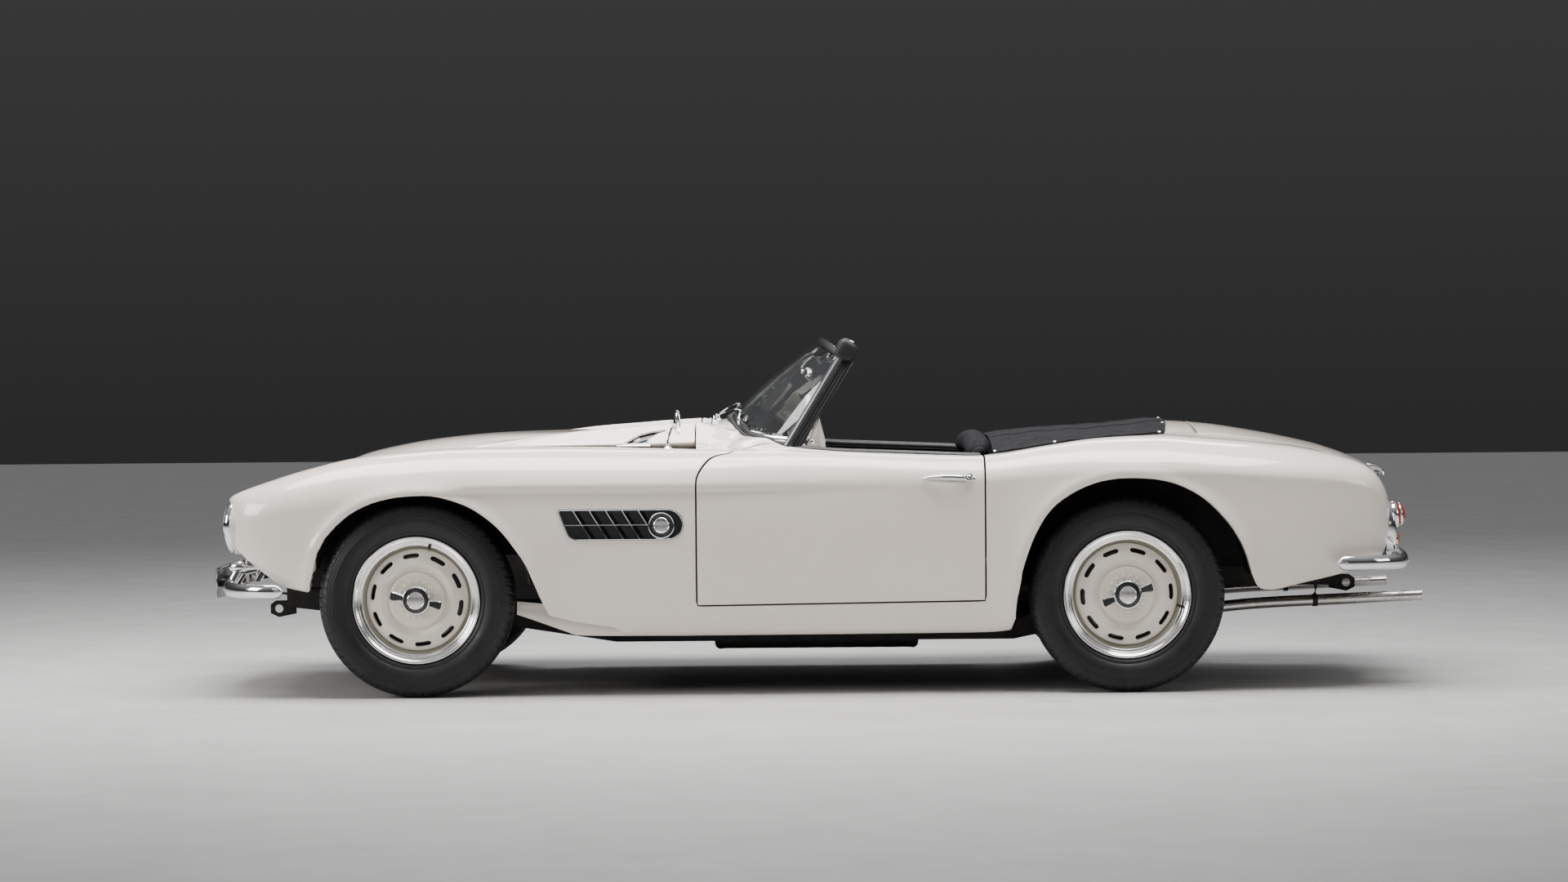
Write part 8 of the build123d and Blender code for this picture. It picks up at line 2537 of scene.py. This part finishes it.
def build_tonneau():
    nu, nv = 84, 108
    u = np.linspace(0, 1, nu)
    v = np.sin(np.linspace(-PI / 2, PI / 2, nv)) * .35 + np.linspace(-1, 1, nv) * .65
    U, W = np.meshgrid(u, v, indexing="ij")
    P = tonneau_pt(U, W)
    gu, gv = np.gradient(P, axis=0), np.gradient(P, axis=1)
    N = np.cross(gu, gv)
    N /= np.linalg.norm(N, axis=-1, keepdims=True)
    N *= np.sign(N[..., 2:3])
    B = P - N * .0022
    k = nu * nv
    top = grid_faces(nu, nv)
    F = top + [tuple(i + k for i in f[::-1]) for f in top]
    rim = [i * nv for i in range(nu)] + [(nu - 1) * nv + j for j in range(1, nv)] + [i * nv + nv - 1 for i in range(nu - 2, -1, -1)] + [j for j in range(nv - 2, 0, -1)]
    F += [(rim[i], rim[(i + 1) % len(rim)], rim[(i + 1) % len(rim)] + k, rim[i] + k) for i in range(len(rim))]
    sheet = multi("tonneau_sheet", [(np.vstack([P.reshape(-1, 3), B.reshape(-1, 3)]), F, 0)], ["fabric"], "body", "tonneau_cover", angle=60)
    # hem, stitches and studs
    parts = []
    sec = np.array([(-8, -.4), (-7.4, 1.4), (-5, 1.9), (5, 1.9), (7.4, 1.4), (8, -.4)]) * MM
    edge = [tonneau_pt(np.linspace(.01, .985, 90), np.full(90, s * .985)) for s in (-1, 1)]
    rear = tonneau_pt(np.full(110, .988), np.linspace(-.985, .985, 110))
    for L in edge + [rear]:
        nn = np.gradient(L, axis=0)
        parts.append((*ribbon(L, (0, 0, 1), sec), 0))
    def stitches(L, lift):
        L = resample(L, .0036)
        for i in range(1, len(L) - 1, 2):
            a, b = L[i] + lift, L[i + 1] + lift
            parts.append((*tube(np.array([a, (a + b) / 2 + [0, 0, .0006], b]), .0007, 4), 2))
    for s, L in zip((-1, 1), edge):
        stitches(L * [1, 1, 1] + [0, -s * .0055, 0], [0, 0, .0022])
    stitches(rear + [-.0055, 0, 0], [0, 0, .0024])
    for xs in (.628, .86, 1.235):
        for s in (-1, 1):
            uu = np.clip((xs - .640) / (1.2515 - .640), .01, .985)
            c = tonneau_pt(np.array([uu]), np.array([s * .975]))[0]
            parts.append((*turned(np.array([(6.6, 0), (6.8, 1.6), (5.6, 3.0), (2.5, 3.9), (.1, 4.1)]) * MM, c + [0, 0, .0012], (0, s * .45, 1), 24), 1))
    for vv in (-.56, 0, .56):
        c = tonneau_pt(np.array([.985]), np.array([vv]))[0]
        parts.append((*turned(np.array([(6.6, 0), (6.8, 1.6), (5.6, 3.0), (2.5, 3.9), (.1, 4.1)]) * MM, c + [0, 0, .0014], (.15, 0, 1), 24), 1))
    # two long seams
    for s in (-1, 1):
        L = tonneau_pt(np.linspace(.01, .97, 120), np.full(120, s * .47))
        parts.append((*ribbon(L, (0, 0, 1), np.array([(-5, -.6), (-4.4, .9), (4.4, .9), (5, -.6)]) * MM), 0))
        stitches(L + [0, .0034, 0], [0, 0, .0011])
        stitches(L + [0, -.0034, 0], [0, 0, .0011])
    hem = multi("tonneau_hem", parts, ["fabric", "chrome", "rubber"], "body", angle=50)
    # the gathered roll in front
    ys = np.linspace(-.655, .655, 132)
    rows = []
    for y in ys:
        a = abs(y) / .655
        e = np.sqrt(max(1 - a ** 9, 0.0))
        cz = .8625 - .024 * a ** 3
        cx = .5985 - .006 * a ** 2
        rr = [(cx + .049 * e * math.cos(b) * (1 if math.cos(b) < 0 else .92) + .006 * math.sin(b), y, cz + .0335 * e * math.sin(b)) for b in np.linspace(0, 2 * PI, 36, endpoint=False)]
        rows.append(rr)
    V = np.array(rows).reshape(-1, 3)
    F = grid_faces(132, 36, close_v=True) + [tuple(range(36)), tuple(131 * 36 + i for i in range(36))]
    def pin(c):
        return (c[:, 2] < .838).astype(float)
    o = puff("tonneau_roll", V, F, ["fabric"], "body", voxel=.0062, cap=.009, pin=pin)
    me = o.data
    n = len(me.vertices)
    c = np.empty(n * 3)
    me.vertices.foreach_get("co", c)
    c = c.reshape(-1, 3)
    nn = np.empty(n * 3)
    me.vertices.foreach_get("normal", nn)
    nn = nn.reshape(-1, 3)
    ang = np.arctan2(c[:, 2] - .8625, c[:, 0] - .5985)
    ph = c[:, 1] / .046 * PI + .9 * np.sin(ang * 1.0 + c[:, 1] * 9) + .5 * np.sin(c[:, 1] * 23)
    amp = .0030 + .0030 * sstep(.30, .60, np.abs(c[:, 1]))
    d = amp * (np.abs(np.sin(ph)) ** .6 - .75) + .0012 * np.sin(c[:, 1] * 210 + ang * 3)
    c = c + nn * d[:, None]
    me.vertices.foreach_set("co", c.ravel())
    me.update()


def build_rear_deck():
    xs = np.linspace(1.2350, 1.3645, 16)
    av = np.linspace(-1, 1, 101)
    X, A = np.meshgrid(xs, av, indexing="ij")
    W = VALLEY_W(X) - .0035
    Z = deck_z(X, A, 0)
    top = np.stack([X, A * W, Z], -1)
    # a soft front step under the cover and a rolled rear edge
    rows = [top[0] + [0, 0, -.012], top[0] + [.001, 0, -.003]] + list(top) + [top[-1] + [.0022, 0, -.0008], top[-1] + [.0034, 0, -.0030], top[-1] + [.0036, 0, -.016]]
    rows = np.array(rows)
    G = FaceList(grid_faces(len(rows), 101))
    # the faces of the rolled rear edge are marked for black in make(): painted shade in the gap
    G.shade_faces = set(range((len(rows) - 3) * 100, (len(rows) - 1) * 100))
    G = FaceList([tuple(f) for f in G], G.shade_faces)
    V = rows.reshape(-1, 3)
    f0 = G[500]
    nrm = np.cross(V[f0[1]] - V[f0[0]], V[f0[2]] - V[f0[0]])
    if nrm[2] < 0:
        G = FaceList([f[::-1] for f in G], G.shade_faces)
    make("rear_deck_skin", V, G, "paint", "body", replaces="rear_deck")


def build_inner_skins():
    # bonnet underside: a pressed frame
    xs, av = np.linspace(-1.955, -.435, 96), np.linspace(-.955, .955, 110)
    X, A = np.meshgrid(xs, av, indexing="ij")
    P = bonnet_f(X, A)
    N = normals_of(bonnet_f, X, A)
    N *= np.sign(N[..., 2:3])
    rib = np.exp(-((np.abs(A) - .86) / .05) ** 4) + np.exp(-((X + 1.90) / .045) ** 4) + np.exp(-((X + .49) / .045) ** 4) + np.exp(-((np.abs(A) - .28 * (1 - (X + 1.9) * .1)) / .035) ** 4) + np.exp(-((X + 1.20) / .030) ** 4)
    rib = np.clip(rib, 0, 1)
    Q = P - N * (.0085 + .0085 * rib)[..., None]
    multi("bonnet_inner", [(Q.reshape(-1, 3), [f[::-1] for f in grid_faces(96, 110)], 0)], ["paint"], "bonnet", angle=60, fix=False)
    t, av = np.linspace(.022, .715, 80), np.linspace(-.94, .94, 90)
    T, A = np.meshgrid(t, av, indexing="ij")
    P = tail_f(A, T)
    N = normals_of(tail_f, A, T)
    N *= np.sign(N[..., 2:3] + N[..., :1])
    rib = np.clip(np.exp(-((np.abs(A) - .84) / .06) ** 4) + np.exp(-((T - .06) / .035) ** 4) + np.exp(-((T - .66) / .035) ** 4) + np.exp(-((np.abs(A) - .3) / .05) ** 4), 0, 1)
    Q = P - N * (.0085 + .0085 * rib)[..., None]
    multi("boot_lid_inner", [(Q.reshape(-1, 3), [f[::-1] for f in grid_faces(80, 90)], 0)], ["paint"], "boot_lid", angle=60, fix=False)
    # boot mat and the trim along the sills
    parts = []
    rows = [[(x, y, .5118 + .0011 * math.sin(x * 37) * math.sin(y * 31)) for y in np.linspace(-.476, .476, 50)] for x in np.linspace(.708, 1.915, 60)]
    parts.append((np.array(rows).reshape(-1, 3), grid_faces(60, 50), 0))
    for s in (-1, 1):
        prof = [(.6185, .2480), (.6175, .270), (.6175, .314), (.6195, .3195), (.626, .3212), (.676, .3212)]
        rows = [[(x, s * y, z) for y, z in prof] for x in np.linspace(-.385, .680, 60)]
        parts.append((np.array(rows).reshape(-1, 3), grid_faces(60, 6), 0))
        V, F = box_vf((-.340, min(s * .684, s * .734), .3185), (.560, max(s * .684, s * .734), .3216), .001)
        parts.append((V, F, 1))
        for k in range(6):
            y = s * (.690 + .0076 * k)
            V, F = box_vf((-.330, y - .0014, .3212), (.550, y + .0014, .3228), .0006)
            parts.append((V, F, 1))
    multi("boot_and_sill_mats", parts, ["carpet", "brushed"], "body", angle=50)
    # inner sill strip seen below the wing behind the front wheel
    parts = []
    for s in (1,):
        lo = smooth_line(np.array([(-1.035, 0, .283), (-1.020, 0, .278), (-.930, 0, .247), (-.860, 0, .2225), (-.827, 0, .2115), (-.770, 0, .2085), (-.640, 0, .207), (-.560, 0, .2065)]), .010)
        hi = np.stack([lo[:, 0], lo[:, 1], np.interp(lo[:, 0], [-1.035, -.914, -.83, -.762, -.56], [.330, .318, .300, .290, .275])], 1)
        rows = []
        for i in range(len(lo)):
            y = .700 + .02 * sstep(-1.0, -.85, lo[i, 0])
            rows.append([(hi[i, 0], y - .012, hi[i, 2]), (lo[i, 0], y, (hi[i, 2] + lo[i, 2]) / 2), (lo[i, 0], y, lo[i, 2] + .006), (lo[i, 0], y - .003, lo[i, 2] + .001), (lo[i, 0], y - .030, lo[i, 2])])
        parts.append((np.array(rows).reshape(-1, 3), grid_faces(len(lo), 5), 0))
    multi_both("inner_sill_left", "inner_sill_right", parts, ["paint"], "body", "body", angle=50)


def build_aprons():
    parts = []
    xs, zs = np.linspace(-1.842, -1.727, 12), np.linspace(.372, .640, 20)
    for dy, fl in ((0, 1), (.003, -1)):
        V = np.array([(x, .440 + dy + .0025 * math.sin(z * 60), z) for x in xs for z in zs])
        parts.append((V, grid_faces(12, 20) if fl > 0 else [f[::-1] for f in grid_faces(12, 20)], 0))
    multi_both("front_apron_left", "front_apron_right", parts, ["chassis"], "body", "body", angle=50)


EXTRA += [build_aprons, build_tonneau, build_rear_deck, build_inner_skins]


# =============================================================== stage, light and camera
def area_light(name, loc, target, size, power, color=(1, 1, 1), sy=None, spread=180):
    d = bpy.data.lights.new(name, "AREA")
    d.shape = "RECTANGLE"
    d.size, d.size_y = size, sy or size
    d.energy = power
    d.spread = math.radians(spread)
    d.color = color
    o = link(bpy.data.objects.new(name, d))
    o.location = loc
    v = Vector(target) - Vector(loc)
    o.rotation_euler = v.to_track_quat("-Z", "Y").to_euler()
    return o


def build_stage():
    n = Nodes("studio_floor")
    n.to("Base Color", n.mix(n.ramp(n.noise(3.0, 6.0, .6), 0, 1, .35, .65), (.47, .466, .458), (.52, .516, .508)))
    n.to("Roughness", n.ramp(n.noise(9.0, 5.0), .45, .62, .3, .7))
    n.bump(n.noise(160, 4.0), .0006, .25)
    me = bpy.data.meshes.new("studio_floor")
    xs = np.linspace(-16, 16, 33)
    v = [(x, y, 0.0) for y in np.linspace(-17, 30, 33) for x in xs]
    f = [(j * 33 + i, j * 33 + i + 1, (j + 1) * 33 + i + 1, (j + 1) * 33 + i) for j in range(32) for i in range(32)]
    me.from_pydata(v, [], f)
    me.materials.append(n.m)
    o = link(bpy.data.objects.new("studio_floor", me))
    w = bpy.data.worlds.new("studio_world")
    bpy.context.scene.world = w
    w.use_nodes = True
    t = w.node_tree
    t.nodes.clear()
    out = t.nodes.new("ShaderNodeOutputWorld")
    bg = t.nodes.new("ShaderNodeBackground")
    tc = t.nodes.new("ShaderNodeTexCoord")
    sp = t.nodes.new("ShaderNodeSeparateXYZ")
    rp = t.nodes.new("ShaderNodeValToRGB")
    mp = t.nodes.new("ShaderNodeMapRange")
    mp.inputs["From Min"].default_value, mp.inputs["From Max"].default_value = -1, 1
    t.links.new(tc.outputs["Generated"], sp.inputs[0])
    t.links.new(sp.outputs[2], mp.inputs["Value"])
    t.links.new(mp.outputs[0], rp.inputs[0])
    e = rp.color_ramp.elements
    e[0].position, e[0].color = 0.0, (.05, .05, .05, 1)
    e[1].position, e[1].color = 1.0, (.92, .93, .95, 1)
    for p, c in ((.49, (.05, .05, .052, 1)), (.53, (.075, .075, .078, 1)), (.62, (.13, .13, .134, 1)), (.78, (.42, .425, .44, 1))):
        k = e.new(p)
        k.color = c
    t.links.new(rp.outputs[0], bg.inputs[0])
    bg.inputs[1].default_value = .55
    t.links.new(bg.outputs[0], out.inputs[0])
    area_light("top_softbox", (-.4, -.7, 4.2), (-.2, .1, .5), 6.4, 440, (1, .99, .97), 2.2, 150)
    area_light("key_side", (-2.6, -7.5, 4.6), (-.2, 0, .6), 4.0, 34, (1, .985, .96), 2.0)
    area_light("front_end", (-6.2, -2.6, 2.4), (-1.7, 0, .6), 2.2, 190, (1, .99, .98), 2.2)
    area_light("tail_end", (7.0, -3.0, 2.6), (1.6, 0, .7), 2.4, 60, (1, .99, .98), 2.0)
    area_light("low_strip", (-.3, -9.0, 1.2), (-.3, 0, .6), 8.0, 14, (1, .99, .98), 1.0)
    area_light("back_rim", (0, 5.6, 6.2), (0, 0, .8), 6.0, 230, (.98, .99, 1), 1.4)


def build_camera():
    c = bpy.data.cameras.new("camera")
    c.lens = 93.75
    c.sensor_width = 36.0
    c.clip_end = 200
    o = link(bpy.data.objects.new("camera", c))
    R = Matrix.Rotation(math.radians(.458), 4, "Z") @ Matrix.Rotation(math.radians(90 - 1.299), 4, "X") @ Matrix.Rotation(math.radians(-.487), 4, "Z")
    o.matrix_world = Matrix.Translation((.021, -15.0, 1.21)) @ R
    bpy.context.scene.camera = o


def thin_out(start, ratio):
    """Take spare triangles out of the meshes whose objects' names begin so; the outline stays."""
    for me in {o.data for o in bpy.data.objects if o.type == "MESH" and o.name.startswith(start) and o.get("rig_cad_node") is None}:
        t = link(bpy.data.objects.new("thinning", me))
        d = t.modifiers.new("decimate", "DECIMATE")
        d.ratio = ratio
        m2 = bpy.data.meshes.new_from_object(t.evaluated_get(bpy.context.evaluated_depsgraph_get()))
        bpy.data.objects.remove(t)
        for o in bpy.data.objects:
            if o.type == "MESH" and o.data == me:
                o.data = m2


build_body_panels()
build_nose()
build_tail()
build_bonnet()
build_cowl()
for _f in EXTRA:
    _f()
for _n, _r in (("tyre_carcass", .34), ("bonnet_inner", .5), ("boot_lid_inner", .5), ("door_inner", .6), ("cockpit_carpet", .5), ("windscreen_pane", .4), ("tonneau_hem", .6), ("seat_piping", .5), ("boot_and_sill_mats", .5), ("dashboard_panel", .75), ("grille_slats", .6)):
    thin_out(_n, _r)
build_stage()
build_camera()
